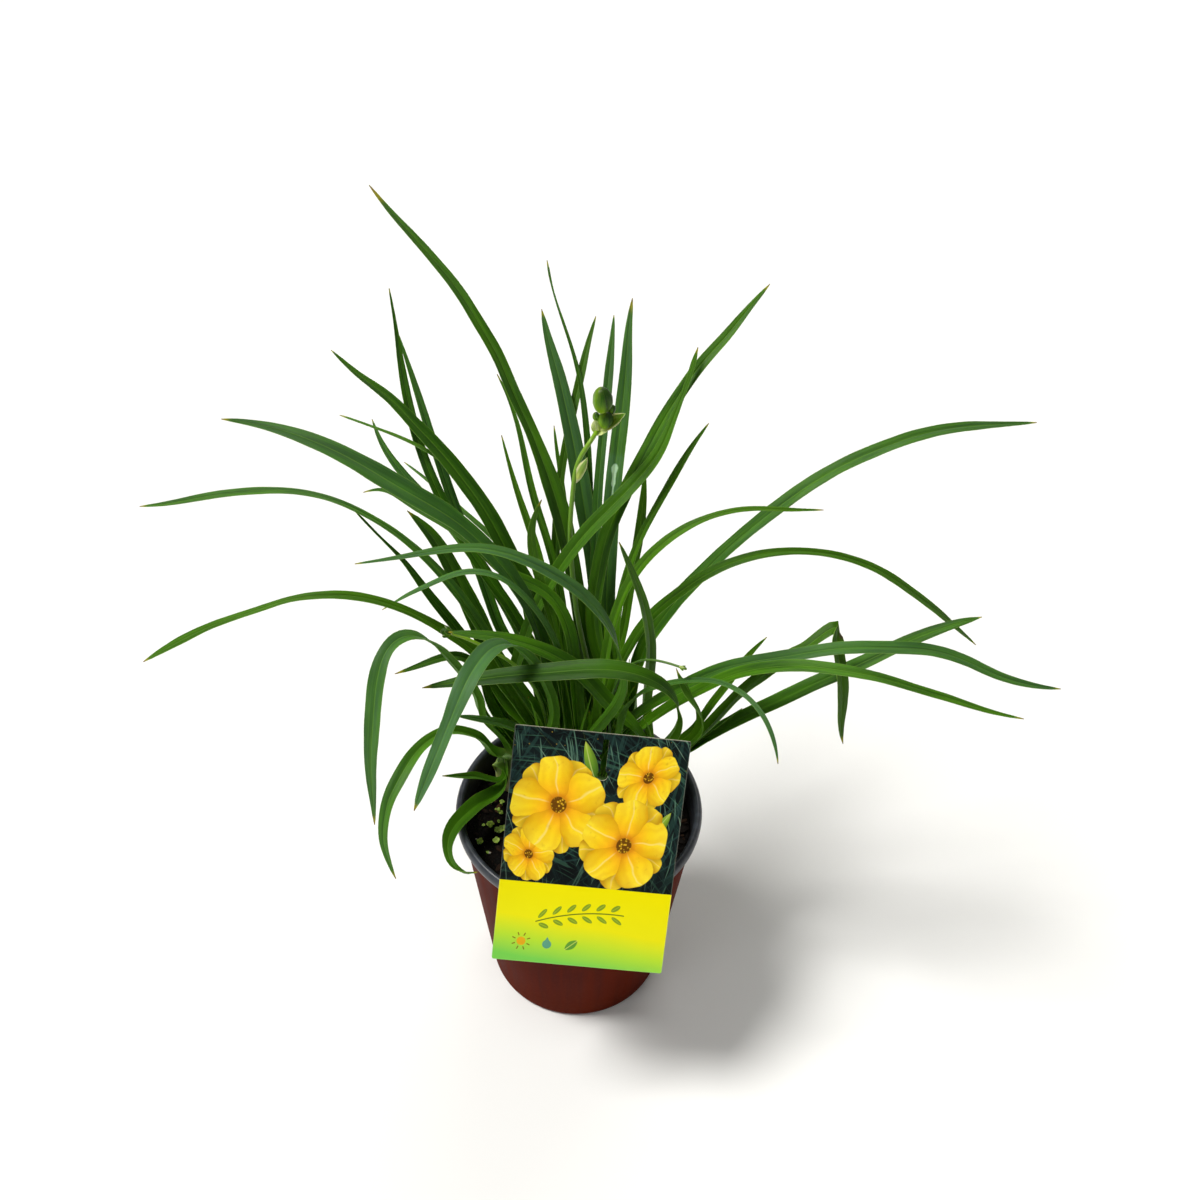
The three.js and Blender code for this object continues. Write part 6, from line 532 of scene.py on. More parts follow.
        (17.93, 57.14, 198.75, -0.762, -0.637, 0.114, 3.91, 34.7),
        (15.51, 62.04, 211.3, -0.912, -0.41, -0.026, 3.6, 30.2),
        (11.73, 68.84, 231.57, -0.968, -0.234, -0.094, 3.42, 23.3),
        (8.15, 76.11, 251.98, -0.986, -0.133, -0.097, 3.37, 18.5),
        (5.63, 84.65, 271.91, -0.996, -0.075, -0.049, 3.34, 16),
        (4.82, 94.75, 291.05, -0.999, -0.038, -0.002, 3.31, 14.8),
        (4.74, 106.27, 309.22, -1, -0.023, 0.016, 3.3, 14),
        (4.82, 119.13, 326.33, -0.999, -0.009, 0.032, 3.22, 13.4),
        (5.56, 133.32, 342.32, -0.999, 0.011, 0.052, 3.02, 12.9),
        (6.8, 148.61, 357.32, -0.998, 0.019, 0.059, 2.99, 12.3),
        (8.11, 164.63, 371.65, -0.998, 0.019, 0.057, 3.22, 11.7),
        (9.28, 181.09, 385.57, -0.998, 0.024, 0.06, 3.1, 11.1),
        (10.45, 197.8, 399.25, -0.998, 0.024, 0.058, 2.06, 10.6),
        (10.95, 206.2, 406.06, -0.998, 0.022, 0.056, 1.36, 10.3),
        (11.39, 214.62, 412.86, -0.998, 0.02, 0.053, 0.6, 10),
    ]),
    "back_right_fan_leaf_2": ("back_right_fan", (24.9, 46.5, 153, -0.17, -0.98, 0, 3, 40), [
        (24.65, 46.59, 174, -0.198, -0.937, 0.289, 4.3, 40),
        (23.85, 50.98, 187.68, -0.5, -0.834, 0.234, 5.18, 38.4),
        (22.34, 55.64, 201.3, -0.772, -0.624, 0.117, 5.91, 34.7),
        (20.56, 60.03, 214.12, -0.927, -0.376, -0.009, 5.87, 30.2),
        (17.6, 66.57, 234.92, -0.98, -0.188, -0.072, 5.78, 23.2),
        (14.9, 73.48, 255.86, -0.994, -0.084, -0.073, 5.69, 18.5),
        (13.28, 81.37, 276.54, -0.999, -0.027, -0.027, 5.63, 16),
        (13.33, 90.57, 296.63, -1, 0.003, 0.011, 5.58, 14.8),
        (13.76, 101.11, 315.97, -1, 0.012, 0.021, 5.54, 14),
        (14.38, 112.86, 334.51, -0.999, 0.026, 0.039, 5.4, 13.4),
        (15.81, 125.69, 352.25, -0.997, 0.043, 0.06, 5.23, 12.9),
        (17.63, 139.42, 369.24, -0.997, 0.049, 0.065, 5.17, 12.3),
        (19.35, 153.87, 385.62, -0.998, 0.042, 0.053, 4.7, 11.7),
        (20.46, 168.86, 401.55, -0.999, 0.029, 0.037, 3.8, 11.1),
        (21.08, 184.2, 417.18, -0.999, 0.034, 0.042, 2.45, 10.6),
        (21.86, 191.9, 424.92, -0.998, 0.04, 0.048, 1.62, 10.3),
        (22.94, 199.63, 432.62, -0.997, 0.045, 0.055, 0.6, 10),
    ]),
    "back_right_fan_leaf_3": ("back_right_fan", (28, 46, 154.1, 0.17, 0.98, 0, 3, 40), [
        (28, 46, 176, 0.184, 0.976, -0.114, 4.3, 40),
        (26.75, 48.11, 192.03, -0.139, 0.978, -0.155, 5.15, 38.1),
        (23.57, 50.32, 207.31, -0.515, 0.8, -0.308, 6.75, 33.8),
        (19.53, 54, 219.42, -0.744, 0.477, -0.467, 5.4, 29.4),
        (12.38, 61.38, 236.42, -0.864, 0.276, -0.421, 5.2, 23.3),
        (6.61, 68.18, 255.26, -0.938, 0.239, -0.253, 5.4, 18.8),
        (4.9, 74.16, 276.21, -0.958, 0.277, -0.071, 5.14, 16.4),
        (7.08, 80.63, 297.23, -0.947, 0.32, 0.026, 5.03, 15.2),
        (10.69, 87.99, 317.59, -0.927, 0.362, 0.099, 4.95, 14.5),
        (17.39, 96.24, 336.68, -0.895, 0.409, 0.18, 4.89, 14),
        (26.03, 105.25, 354.53, -0.874, 0.436, 0.215, 4.77, 13.5),
        (35.44, 115.26, 371.42, -0.869, 0.445, 0.219, 4.6, 13),
        (45.07, 126.28, 387.52, -0.857, 0.46, 0.234, 4.3, 12.5),
        (56.05, 137.61, 402.42, -0.828, 0.491, 0.271, 3.96, 12),
        (68.26, 149.12, 416.08, -0.782, 0.535, 0.32, 3.8, 11.5),
        (82.06, 160.53, 428.19, -0.768, 0.548, 0.332, 3.41, 11),
        (95.03, 172.57, 440.56, -0.781, 0.537, 0.319, 2.23, 10.5),
        (101.7, 178.53, 446.58, -0.779, 0.539, 0.32, 1.47, 10.2),
        (108.5, 184.45, 452.5, -0.777, 0.541, 0.322, 0.6, 10),
    ]),
    "back_right_fan_leaf_4": ("back_right_fan", (31.1, 45.5, 155.2, 0.17, 0.98, 0, 2.79, 40), [
        (31.35, 45.41, 174, 0.176, 0.973, -0.151, 2.79, 40),
        (31.34, 47.81, 189.43, -0.156, 0.976, -0.154, 3.12, 38.1),
        (29.9, 50.05, 204.87, -0.56, 0.816, -0.145, 3.76, 33.7),
        (27.5, 50.71, 220.64, -0.828, 0.532, -0.176, 3.47, 28.3),
        (22.82, 52.28, 244.92, -0.924, 0.328, -0.197, 2.94, 20.9),
        (19.98, 57.24, 266.72, -0.959, 0.259, -0.114, 2.71, 16.7),
        (21.52, 65.56, 286.05, -0.957, 0.29, 0.011, 2.64, 14.8),
        (25.91, 75.4, 304.13, -0.937, 0.337, 0.093, 2.57, 13.7),
        (32.42, 86.19, 321.23, -0.905, 0.391, 0.169, 2.37, 12.9),
        (41.51, 97.6, 337.03, -0.872, 0.435, 0.224, 2.35, 12.1),
        (51.53, 109.72, 352.05, -0.858, 0.452, 0.242, 2.5, 11.4),
        (62.06, 122.42, 366.55, -0.849, 0.464, 0.253, 1.87, 10.7),
        (67.95, 128.62, 373.54, -0.845, 0.468, 0.257, 1.24, 10.4),
        (74.22, 134.71, 380.34, -0.842, 0.472, 0.26, 0.6, 10),
    ]),
    "back_right_fan_leaf_5": ("back_right_fan", (34.2, 44.9, 153.7, 0.17, 0.98, 0, 3, 40), [
        (34.7, 44.82, 172, 0.18, 0.954, -0.24, 4.3, 40),
        (34.6, 48.48, 186.51, -0.004, 0.97, -0.244, 5.04, 38.4),
        (34.34, 52.08, 200.89, -0.245, 0.941, -0.233, 6.55, 34.6),
        (34.34, 55.31, 214.31, -0.472, 0.867, -0.161, 5.8, 30.1),
        (35.65, 60.18, 235.29, -0.594, 0.804, -0.023, 5.8, 23.4),
        (41.39, 63.77, 255.85, -0.601, 0.787, 0.138, 5.7, 19),
        (50.75, 66.3, 275.13, -0.57, 0.792, 0.219, 5.6, 16.6),
        (61.74, 68.34, 293.48, -0.548, 0.801, 0.241, 5.3, 15.5),
        (74.08, 70.15, 310.95, -0.526, 0.811, 0.257, 4.98, 14.9),
        (87.23, 72.67, 327.66, -0.503, 0.82, 0.273, 4.51, 14.4),
        (101.79, 75.85, 343.09, -0.491, 0.825, 0.278, 4.62, 14),
        (117.24, 79.61, 357.42, -0.489, 0.828, 0.276, 4.79, 13.5),
        (133.78, 84.44, 370.17, -0.469, 0.834, 0.29, 4.59, 13.1),
        (151.59, 89.55, 380.8, -0.423, 0.847, 0.322, 4.45, 12.7),
        (170.65, 94.94, 388.78, -0.371, 0.86, 0.351, 4.38, 12.2),
        (190.34, 100.7, 394.74, -0.32, 0.869, 0.377, 4.16, 11.8),
        (210.67, 106.13, 398.4, -0.246, 0.882, 0.402, 3.85, 11.3),
        (231.52, 110.68, 399.5, -0.175, 0.892, 0.417, 3.17, 10.9),
        (252.54, 114.82, 399.13, -0.159, 0.892, 0.424, 1.86, 10.4),
        (263.07, 116.85, 398.95, -0.164, 0.89, 0.425, 1.23, 10.2),
        (273.6, 118.86, 398.79, -0.169, 0.889, 0.426, 0.6, 10),
    ]),
    "middle_fan_leaf_1": ("middle_fan", (-4.9, 17, 154.8, -0.21, -0.98, 0, 3, 40), [
        (-5.97, 17.18, 167, -0.205, -0.978, 0.026, 4.3, 40),
        (-4.08, 17.28, 185.88, 0.015, -0.999, -0.051, 5.05, 37.4),
        (0.94, 15.4, 203.83, 0.209, -0.957, -0.201, 6.3, 31.9),
        (6.98, 12.61, 219.58, 0.365, -0.892, -0.267, 4.2, 26.2),
        (17.62, 11.21, 240.66, 0.496, -0.845, -0.201, 4, 20),
        (24.74, 13.45, 259.89, 0.559, -0.828, 0.048, 4.1, 16.9),
        (23.5, 17.37, 278.86, 0.334, -0.918, 0.213, 4.2, 15.5),
        (17.93, 19.9, 298.33, -0.049, -0.997, 0.061, 4.5, 14.6),
        (8.41, 20.47, 317.49, -0.229, -0.961, -0.157, 4.7, 14),
        (-4.78, 19.34, 334.88, -0.203, -0.936, -0.287, 4.5, 13.4),
        (-20.99, 16.97, 349.75, -0.126, -0.935, -0.331, 4.14, 12.8),
        (-39.34, 14.31, 362.18, -0.032, -0.933, -0.357, 3.55, 12.3),
        (-60, 10.54, 370.16, 0.12, -0.912, -0.391, 2.91, 11.7),
        (-81.77, 4.79, 371.98, 0.241, -0.887, -0.394, 2.25, 11.1),
        (-103.68, -1.08, 370.54, 0.238, -0.889, -0.391, 1.35, 10.6),
        (-114.75, -3.66, 369.81, 0.222, -0.893, -0.392, 0.89, 10.3),
        (-125.87, -6.03, 369.07, 0.206, -0.896, -0.393, 0.6, 10),
    ]),
    "middle_fan_leaf_2": ("middle_fan", (-1.8, 16.3, 153.4, -0.21, -0.98, 0, 2.04, 40), [
        (-2.64, 16.47, 169, -0.227, -0.926, 0.303, 2.04, 40),
        (-3.03, 21.07, 182.76, -0.32, -0.913, 0.252, 2.25, 38.3),
        (-3.81, 24.54, 196.8, -0.424, -0.89, 0.167, 2.69, 34.5),
        (-4.86, 27.06, 210, -0.523, -0.849, 0.076, 3.06, 30),
        (-7.08, 29.57, 230.55, -0.588, -0.809, 0.004, 2.8, 23.3),
        (-10.48, 31.33, 251.21, -0.606, -0.793, -0.068, 2.52, 18.4),
        (-15.63, 32.54, 272.06, -0.579, -0.804, -0.136, 2.35, 15.7),
        (-23.29, 33.57, 292.68, -0.517, -0.833, -0.196, 2.22, 14.2),
        (-34.73, 35.1, 311.47, -0.428, -0.872, -0.238, 2.06, 13.4),
        (-50.63, 37.97, 325.64, -0.262, -0.914, -0.311, 1.82, 12.7),
        (-71.03, 39.53, 328.97, 0.023, -0.939, -0.344, 2, 12),
        (-90.68, 38.64, 321.12, 0.184, -0.932, -0.312, 1.8, 11.3),
        (-108.87, 38.5, 309.72, 0.225, -0.922, -0.316, 1.4, 10.7),
        (-117.58, 38.44, 303.37, 0.237, -0.918, -0.317, 0.8, 10.3),
        (-126.02, 38.39, 296.63, 0.248, -0.915, -0.318, 0.6, 10),
    ]),
    "middle_fan_leaf_3": ("middle_fan", (1.3, 15.6, 154.5, -0.21, -0.98, 0, 3, 40), [
        (0.69, 15.77, 171, -0.22, -0.949, 0.226, 4.08, 40),
        (0.26, 19.38, 185.74, -0.376, -0.907, 0.19, 4.53, 38.2),
        (-0.65, 22.51, 200.56, -0.532, -0.837, 0.129, 5.45, 34.2),
        (-1.81, 25.14, 214.45, -0.662, -0.746, 0.078, 5.33, 29.4),
        (-3.29, 27.87, 229.2, -0.745, -0.664, 0.055, 4.87, 24.5),
        (-4.68, 30.81, 243.78, -0.789, -0.61, 0.067, 4.63, 20.6),
        (-5.91, 34.37, 257.87, -0.807, -0.583, 0.089, 4.5, 17.9),
        (-7.55, 38.98, 271.21, -0.806, -0.587, 0.076, 4.39, 16.2),
        (-10.9, 44.58, 283.69, -0.768, -0.64, -0.017, 4.27, 15.1),
        (-17.26, 49.98, 295.29, -0.642, -0.739, -0.202, 4.14, 14.4),
        (-27.58, 53.15, 305.35, -0.418, -0.819, -0.394, 4.01, 13.9),
        (-40.81, 53.53, 312.94, -0.319, -0.838, -0.443, 3.87, 13.4),
        (-53.79, 55.16, 320.44, -0.467, -0.814, -0.346, 3.7, 13),
        (-64.85, 60.55, 328.84, -0.563, -0.776, -0.284, 3.44, 12.5),
        (-76.83, 66.41, 335.32, -0.52, -0.796, -0.309, 3.12, 12.1),
        (-89.59, 72.39, 340, -0.48, -0.815, -0.324, 2.73, 11.7),
        (-102.67, 78.47, 343.56, -0.49, -0.809, -0.325, 2.4, 11.3),
        (-115.24, 85.52, 347.13, -0.482, -0.81, -0.334, 2.14, 10.8),
        (-128.29, 91.98, 349.31, -0.26, -0.891, -0.373, 1.51, 10.4),
        (-135.3, 93.4, 348.23, -0.159, -0.911, -0.379, 1, 10.2),
        (-142.58, 93.66, 345.77, -0.058, -0.923, -0.381, 0.6, 10),
    ]),
    "middle_fan_leaf_4": ("middle_fan", (4.4, 15, 153, 0.21, 0.98, 0, 3, 40), [
        (4.01, 15.06, 173, 0.246, 0.825, -0.509, 3.05, 40),
        (3.94, 21.98, 184.18, -0.102, 0.837, -0.537, 3.32, 38.5),
        (5.24, 29.42, 195.16, -0.531, 0.73, -0.431, 3.92, 35.1),
        (7.84, 37.09, 204.95, -0.804, 0.578, -0.138, 3.43, 30.9),
        (13.6, 47.39, 221.77, -0.902, 0.427, 0.064, 3.12, 23.9),
        (19.85, 57.14, 239.98, -0.941, 0.317, 0.119, 3.03, 18.4),
        (24.74, 66.17, 259.86, -0.967, 0.242, 0.073, 3, 15.2),
        (27.54, 75.72, 279.88, -0.979, 0.203, 0.03, 2.86, 13.5),
        (30.03, 86.15, 299.08, -0.98, 0.197, 0.03, 2.93, 12.5),
        (32.74, 97.25, 317.51, -0.983, 0.185, 0.011, 3.26, 11.6),
        (34.32, 108.81, 335.44, -0.988, 0.147, -0.046, 2.5, 10.8),
        (34.69, 114.62, 344.28, -0.989, 0.135, -0.063, 1.65, 10.4),
        (34.79, 120.49, 353.1, -0.989, 0.123, -0.081, 0.6, 10),
    ]),
    "middle_fan_leaf_5": ("middle_fan", (7.5, 14.3, 154.1, 0.21, 0.98, 0, 3, 40), [
        (7.34, 14.35, 175, 0.198, 0.903, -0.381, 3.04, 40),
        (8.23, 19.47, 187.59, 0.01, 0.934, -0.357, 3.32, 38.5),
        (9.12, 24.03, 200.39, -0.241, 0.922, -0.304, 3.93, 35.1),
        (9.82, 28.05, 212.37, -0.493, 0.849, -0.192, 4.49, 31),
        (11.05, 32.58, 233.29, -0.657, 0.748, -0.091, 4.22, 24),
        (12.81, 35.85, 255.26, -0.727, 0.686, -0.016, 3.7, 18.8),
        (15.37, 38.18, 278.12, -0.737, 0.675, 0.037, 3.47, 16),
        (19.44, 40.6, 301.05, -0.709, 0.699, 0.096, 3.3, 14.6),
        (26.91, 43.87, 322.84, -0.643, 0.743, 0.186, 3.2, 13.8),
        (39.27, 47.99, 341.83, -0.543, 0.793, 0.276, 3.17, 13.1),
        (56.19, 52.82, 356.24, -0.427, 0.839, 0.338, 2.65, 12.5),
        (76.34, 57.63, 364.88, -0.296, 0.876, 0.38, 1.88, 11.8),
        (98.1, 61.48, 367.36, -0.16, 0.905, 0.395, 1.68, 11.2),
        (119.92, 64.6, 365.28, -0.111, 0.912, 0.395, 1.35, 10.6),
        (130.73, 66.56, 364.15, -0.118, 0.91, 0.397, 0.89, 10.3),
        (141.49, 68.76, 362.97, -0.124, 0.909, 0.399, 0.6, 10),
    ]),
    "middle_fan_leaf_6": ("middle_fan", (10.5, 13.7, 155.2, 0.21, 0.98, 0, 3, 40), [
        (10.66, 13.65, 175, 0.19, 0.858, -0.477, 3.38, 40),
        (11.82, 19.98, 186.86, 0.021, 0.89, -0.456, 3.69, 38.6),
        (13.29, 25.85, 198.95, -0.205, 0.898, -0.389, 4.36, 35.4),
        (14.92, 30.94, 210.52, -0.427, 0.874, -0.231, 4.6, 31.4),
        (17.97, 36.64, 231.16, -0.567, 0.819, -0.084, 4.3, 24.5),
        (22.97, 40.83, 252.63, -0.606, 0.794, 0.047, 4, 19.4),
        (30.98, 44.03, 273.69, -0.573, 0.805, 0.154, 3.8, 16.8),
        (42, 46.56, 293.47, -0.491, 0.834, 0.254, 3.7, 15.6),
        (57.09, 48.24, 310.48, -0.407, 0.859, 0.309, 3.6, 14.9),
        (74.2, 50.65, 324.99, -0.339, 0.879, 0.334, 3.5, 14.5),
        (93.89, 53.55, 334.81, -0.25, 0.898, 0.363, 3.1, 14),
        (115.21, 56.62, 339.01, -0.165, 0.91, 0.38, 2.73, 13.6),
        (136.82, 59.4, 338.12, -0.086, 0.917, 0.39, 2.44, 13.1),
        (157.7, 62.16, 332.81, 0.006, 0.92, 0.391, 2.6, 12.7),
        (177.39, 64.46, 323.82, 0.102, 0.92, 0.379, 3, 12.2),
        (195.51, 66.28, 311.81, 0.17, 0.915, 0.366, 3.27, 11.8),
        (212.65, 67.77, 298.22, 0.209, 0.908, 0.362, 3.26, 11.3),
        (229.29, 69.4, 283.92, 0.239, 0.904, 0.355, 2.81, 10.9),
        (245.45, 71.12, 269.01, 0.264, 0.901, 0.345, 1.79, 10.4),
        (253.5, 71.96, 261.49, 0.269, 0.9, 0.344, 1.18, 10.2),
        (261.52, 72.77, 253.93, 0.274, 0.898, 0.344, 0.6, 10),
    ]),
    "middle_fan_leaf_7": ("middle_fan", (13.6, 13, 153.7, 0.21, 0.98, 0, 3, 40), [
        (13.99, 12.94, 173, 0.197, 0.789, -0.582, 4.06, 40),
        (15.03, 20.35, 183.4, 0.009, 0.825, -0.565, 4.4, 38.7),
        (19.39, 26.77, 193.28, -0.197, 0.886, -0.421, 5.15, 35.8),
        (25.81, 31.61, 202.05, -0.263, 0.959, -0.107, 4.6, 32.1),
        (38.77, 35.2, 217.34, -0.259, 0.957, 0.129, 4, 25.4),
        (54.02, 35.12, 233.12, -0.222, 0.939, 0.262, 4.2, 20),
        (70.15, 33.12, 249.81, -0.16, 0.93, 0.332, 4.2, 16.8),
        (87.61, 29.25, 265.61, -0.066, 0.92, 0.387, 4.1, 15.3),
        (106.45, 23.4, 278.77, 0.004, 0.913, 0.408, 4.1, 14.6),
        (126.07, 17.87, 289.63, -0.001, 0.923, 0.384, 4.2, 14),
        (146.08, 14.67, 298.56, -0.015, 0.931, 0.365, 4.2, 13.5),
        (166.92, 12.73, 303.46, -0.002, 0.932, 0.362, 4.2, 13),
        (188.29, 12, 304.82, 0.014, 0.931, 0.366, 4.2, 12.5),
        (209.67, 11.92, 303.43, 0.108, 0.923, 0.37, 4, 12),
        (230.22, 10.09, 297.59, 0.226, 0.91, 0.348, 3.69, 11.5),
        (250.15, 7.65, 289.29, 0.203, 0.912, 0.356, 3.1, 11),
        (270.95, 7.24, 282.77, 0.085, 0.921, 0.38, 2.04, 10.5),
        (281.57, 7.85, 280.3, 0.055, 0.924, 0.378, 1.35, 10.3),
        (292.3, 8.96, 278.32, 0.025, 0.926, 0.376, 0.6, 10),
    ]),
    "middle_fan_leaf_8": ("middle_fan", (16.7, 12.4, 154.8, 0.21, 0.98, 0, 3, 40), [
        (17.31, 12.23, 171, 0.08, 0.849, -0.522, 4.29, 40),
        (20.75, 18.59, 181.83, -0.053, 0.893, -0.447, 4.6, 38.7),
        (27.1, 23.84, 192.51, -0.136, 0.963, -0.231, 4.82, 35.4),
        (34.46, 27.04, 203.62, -0.142, 0.989, 0.049, 3.9, 31.1),
        (47.16, 25.6, 223.22, -0.177, 0.968, 0.177, 3.9, 23.6),
        (61.39, 24.05, 239.82, -0.183, 0.954, 0.238, 4, 18.7),
        (76.95, 22.73, 254.86, -0.136, 0.949, 0.286, 4, 16.2),
        (93.47, 19.48, 270.24, -0.033, 0.939, 0.341, 4.1, 14.8),
        (112, 13.79, 282.83, 0.081, 0.923, 0.375, 4.1, 14.1),
        (132.03, 7.37, 291.56, 0.169, 0.909, 0.381, 4.1, 13.5),
        (152.95, 0.47, 295.88, 0.221, 0.901, 0.372, 3.8, 12.9),
        (174.27, -5.7, 296.98, 0.253, 0.896, 0.364, 3.15, 12.3),
        (195.47, -11.63, 294.86, 0.263, 0.896, 0.358, 2.73, 11.7),
        (216.76, -16.37, 291.53, 0.246, 0.901, 0.358, 2.36, 11.1),
        (237.97, -20.58, 287.3, 0.22, 0.906, 0.361, 1.56, 10.6),
        (248.73, -21.92, 285.48, 0.209, 0.909, 0.362, 1.03, 10.3),
        (259.6, -22.79, 283.86, 0.198, 0.911, 0.362, 0.6, 10),
    ]),
    "young_scape": ("middle_fan", (19.8, 11.7, 153.4, 0.21, 0.98, 0, 2, 40), [
        (20.64, 11.53, 169, 0.225, 0.932, -0.284, 2, 40),
        (20.3, 15.43, 181.54, 0.253, 0.938, -0.238, 1.95, 38.2),
        (19.42, 18.23, 194.15, 0.221, 0.955, -0.196, 1.82, 34.7),
        (18.6, 20.75, 205.56, 0.048, 0.968, -0.246, 1.69, 30.6),
        (18.07, 23.64, 215.18, -0.257, 0.917, -0.305, 1.61, 26.9),
        (17.96, 26.95, 224.74, -0.489, 0.838, -0.244, 1.59, 23.3),
        (18.95, 29.96, 235.15, -0.553, 0.83, -0.078, 1.47, 19.9),
        (21.91, 31.69, 247.14, -0.481, 0.871, 0.099, 1.28, 16.8),
        (27.46, 31.8, 260.28, -0.277, 0.914, 0.296, 1.01, 14.3),
        (37.51, 28.74, 270.85, 0.054, 0.889, 0.455, 0.69, 12.4),
        (49.61, 22.22, 276.35, 0.324, 0.821, 0.47, 0.39, 11.1),
        (61.37, 14.61, 279.08, 0.423, 0.804, 0.418, 0.35, 10.1),
    ]),
    "middle_fan_leaf_9": ("middle_fan", (22.9, 11, 154.5, 0.21, 0.98, 0, 2.37, 40), [
        (23.97, 10.82, 167, 0.208, 0.977, -0.051, 2.37, 40),
        (24.01, 11.7, 183.97, 0.415, 0.91, -0.012, 2.69, 37.7),
        (24.03, 11.25, 200.8, 0.611, 0.791, 0.021, 3.27, 32.8),
        (24.3, 10.64, 215.64, 0.756, 0.654, -0.023, 3.17, 27.6),
        (24.88, 11.22, 227.39, 0.82, 0.552, -0.154, 2.98, 23.7),
        (26.49, 13.34, 236.92, 0.756, 0.531, -0.384, 3.4, 21),
        (30.03, 16.29, 244.51, 0.446, 0.681, -0.58, 3.59, 18.9),
        (35.94, 18.7, 250.49, 0.034, 0.945, -0.325, 2.7, 17.3),
        (43.61, 19.58, 255.51, -0.013, 0.999, 0.038, 2.4, 16),
        (52.21, 18.51, 260.86, 0.102, 0.969, 0.226, 2.1, 14.9),
        (61.47, 14.94, 267.35, 0.237, 0.921, 0.31, 1.9, 14),
        (71.21, 8.88, 274.97, 0.365, 0.867, 0.34, 1.8, 13.3),
        (81.58, 0.67, 282.01, 0.508, 0.79, 0.345, 1.7, 12.6),
        (91.76, -9.58, 286.29, 0.661, 0.684, 0.31, 1.6, 12),
        (100.79, -20.83, 286.86, 0.801, 0.555, 0.225, 1.6, 11.5),
        (107.6, -32.19, 283.87, 0.903, 0.417, 0.099, 1.5, 10.9),
        (111.9, -43.13, 278.44, 0.958, 0.283, -0.046, 1.2, 10.5),
        (113.2, -48.36, 275.2, 0.962, 0.255, -0.094, 0.8, 10.2),
        (114, -53.52, 271.59, 0.963, 0.227, -0.143, 0.6, 10),
    ]),
    "right_fan_leaf_1": ("right_fan", (42.6, 22.8, 153, -0.09, -1, 0, 3, 40), [
        (41.84, 22.89, 170, -0.117, -0.986, -0.117, 4.3, 40),
        (46.8, 19.92, 190.01, 0.054, -0.971, -0.233, 4.8, 36.9),
        (54.48, 14.33, 208.67, 0.214, -0.912, -0.349, 4.5, 30.3),
        (60.33, 9.05, 226.78, 0.349, -0.898, -0.268, 4.2, 23.8),
        (61.45, 6.2, 245.53, 0.262, -0.96, -0.097, 3.8, 19.2),
        (57.29, 4.89, 261.81, -0.043, -0.995, -0.092, 3.8, 16.6),
        (48.74, 3, 274.72, -0.181, -0.954, -0.241, 4.6, 15.3),
        (37.93, 1.84, 282.79, -0.154, -0.937, -0.313, 5.3, 14.5),
        (26.15, 1.57, 287.05, -0.133, -0.932, -0.336, 5.93, 14),
        (13.71, 1.87, 288.06, -0.109, -0.926, -0.362, 6.25, 13.5),
        (0.63, 2.99, 286.1, -0.072, -0.923, -0.379, 6.42, 13.1),
        (-12.96, 4.71, 282.38, -0.026, -0.925, -0.38, 6.2, 12.6),
        (-26.99, 5.97, 278.79, 0.029, -0.928, -0.37, 5.76, 12.2),
        (-41.25, 6.43, 276.08, 0.099, -0.929, -0.357, 5.42, 11.7),
        (-55.56, 5.9, 273.75, 0.16, -0.923, -0.349, 5.01, 11.3),
        (-69.88, 5.15, 271.09, 0.196, -0.918, -0.345, 4.09, 10.9),
        (-84.09, 3.71, 268.71, 0.238, -0.909, -0.341, 2.45, 10.4),
        (-91.23, 3.19, 267.17, 0.252, -0.906, -0.34, 1.62, 10.2),
        (-98.16, 1.64, 266.59, 0.266, -0.902, -0.339, 0.6, 10),
    ]),
    "right_fan_leaf_2": ("right_fan", (45.7, 22.6, 154.1, -0.09, -1, 0, 3, 40), [
        (45.23, 22.59, 172, -0.081, -0.993, -0.089, 4.28, 40),
        (43.72, 20.52, 191.83, -0.184, -0.978, -0.093, 4.76, 36.9),
        (39.97, 18.05, 209.54, -0.277, -0.954, -0.113, 3.67, 31.1),
        (32.99, 19.39, 221.22, -0.319, -0.931, -0.179, 4.35, 26.4),
        (22.89, 21.57, 231.16, -0.351, -0.914, -0.206, 5.8, 21.9),
        (13.34, 23.48, 241.77, -0.383, -0.902, -0.198, 6.18, 18.4),
        (3.85, 24.72, 254.24, -0.354, -0.907, -0.229, 6.11, 15.8),
        (-6.97, 25.05, 266.92, -0.276, -0.917, -0.289, 5.7, 14),
        (-20, 24.57, 277.45, -0.188, -0.925, -0.329, 5.03, 12.9),
        (-34.65, 24.17, 285.17, -0.119, -0.931, -0.345, 4.42, 12.1),
        (-50.37, 23.77, 290.09, -0.058, -0.933, -0.355, 3.92, 11.4),
        (-66.68, 23.27, 292.74, -0.021, -0.933, -0.358, 2.77, 10.7),
        (-74.92, 23.05, 293.7, -0.017, -0.933, -0.359, 1.83, 10.3),
        (-83.19, 22.85, 294.43, -0.013, -0.933, -0.359, 0.6, 10),
    ]),
    "right_fan_leaf_3": ("right_fan", (48.9, 22.3, 155.2, -0.09, -1, 0, 3, 40), [
        (48.61, 22.3, 174, -0.15, -0.809, 0.568, 3.75, 40),
        (47.91, 28.75, 183.02, -0.27, -0.812, 0.517, 3.99, 38.8),
        (45.61, 34.75, 192, -0.394, -0.811, 0.432, 4.56, 36.3),
        (43.46, 40.26, 200.59, -0.507, -0.813, 0.286, 5.16, 33.1),
        (42.04, 44.42, 213.85, -0.615, -0.777, 0.137, 5.14, 28.2),
        (42.46, 45.49, 230.09, -0.691, -0.722, 0.026, 5.09, 22.8),
        (42.82, 43.62, 248.99, -0.722, -0.688, -0.073, 4.83, 18.1),
        (42.23, 40.95, 269.23, -0.713, -0.684, -0.155, 4.38, 15.1),
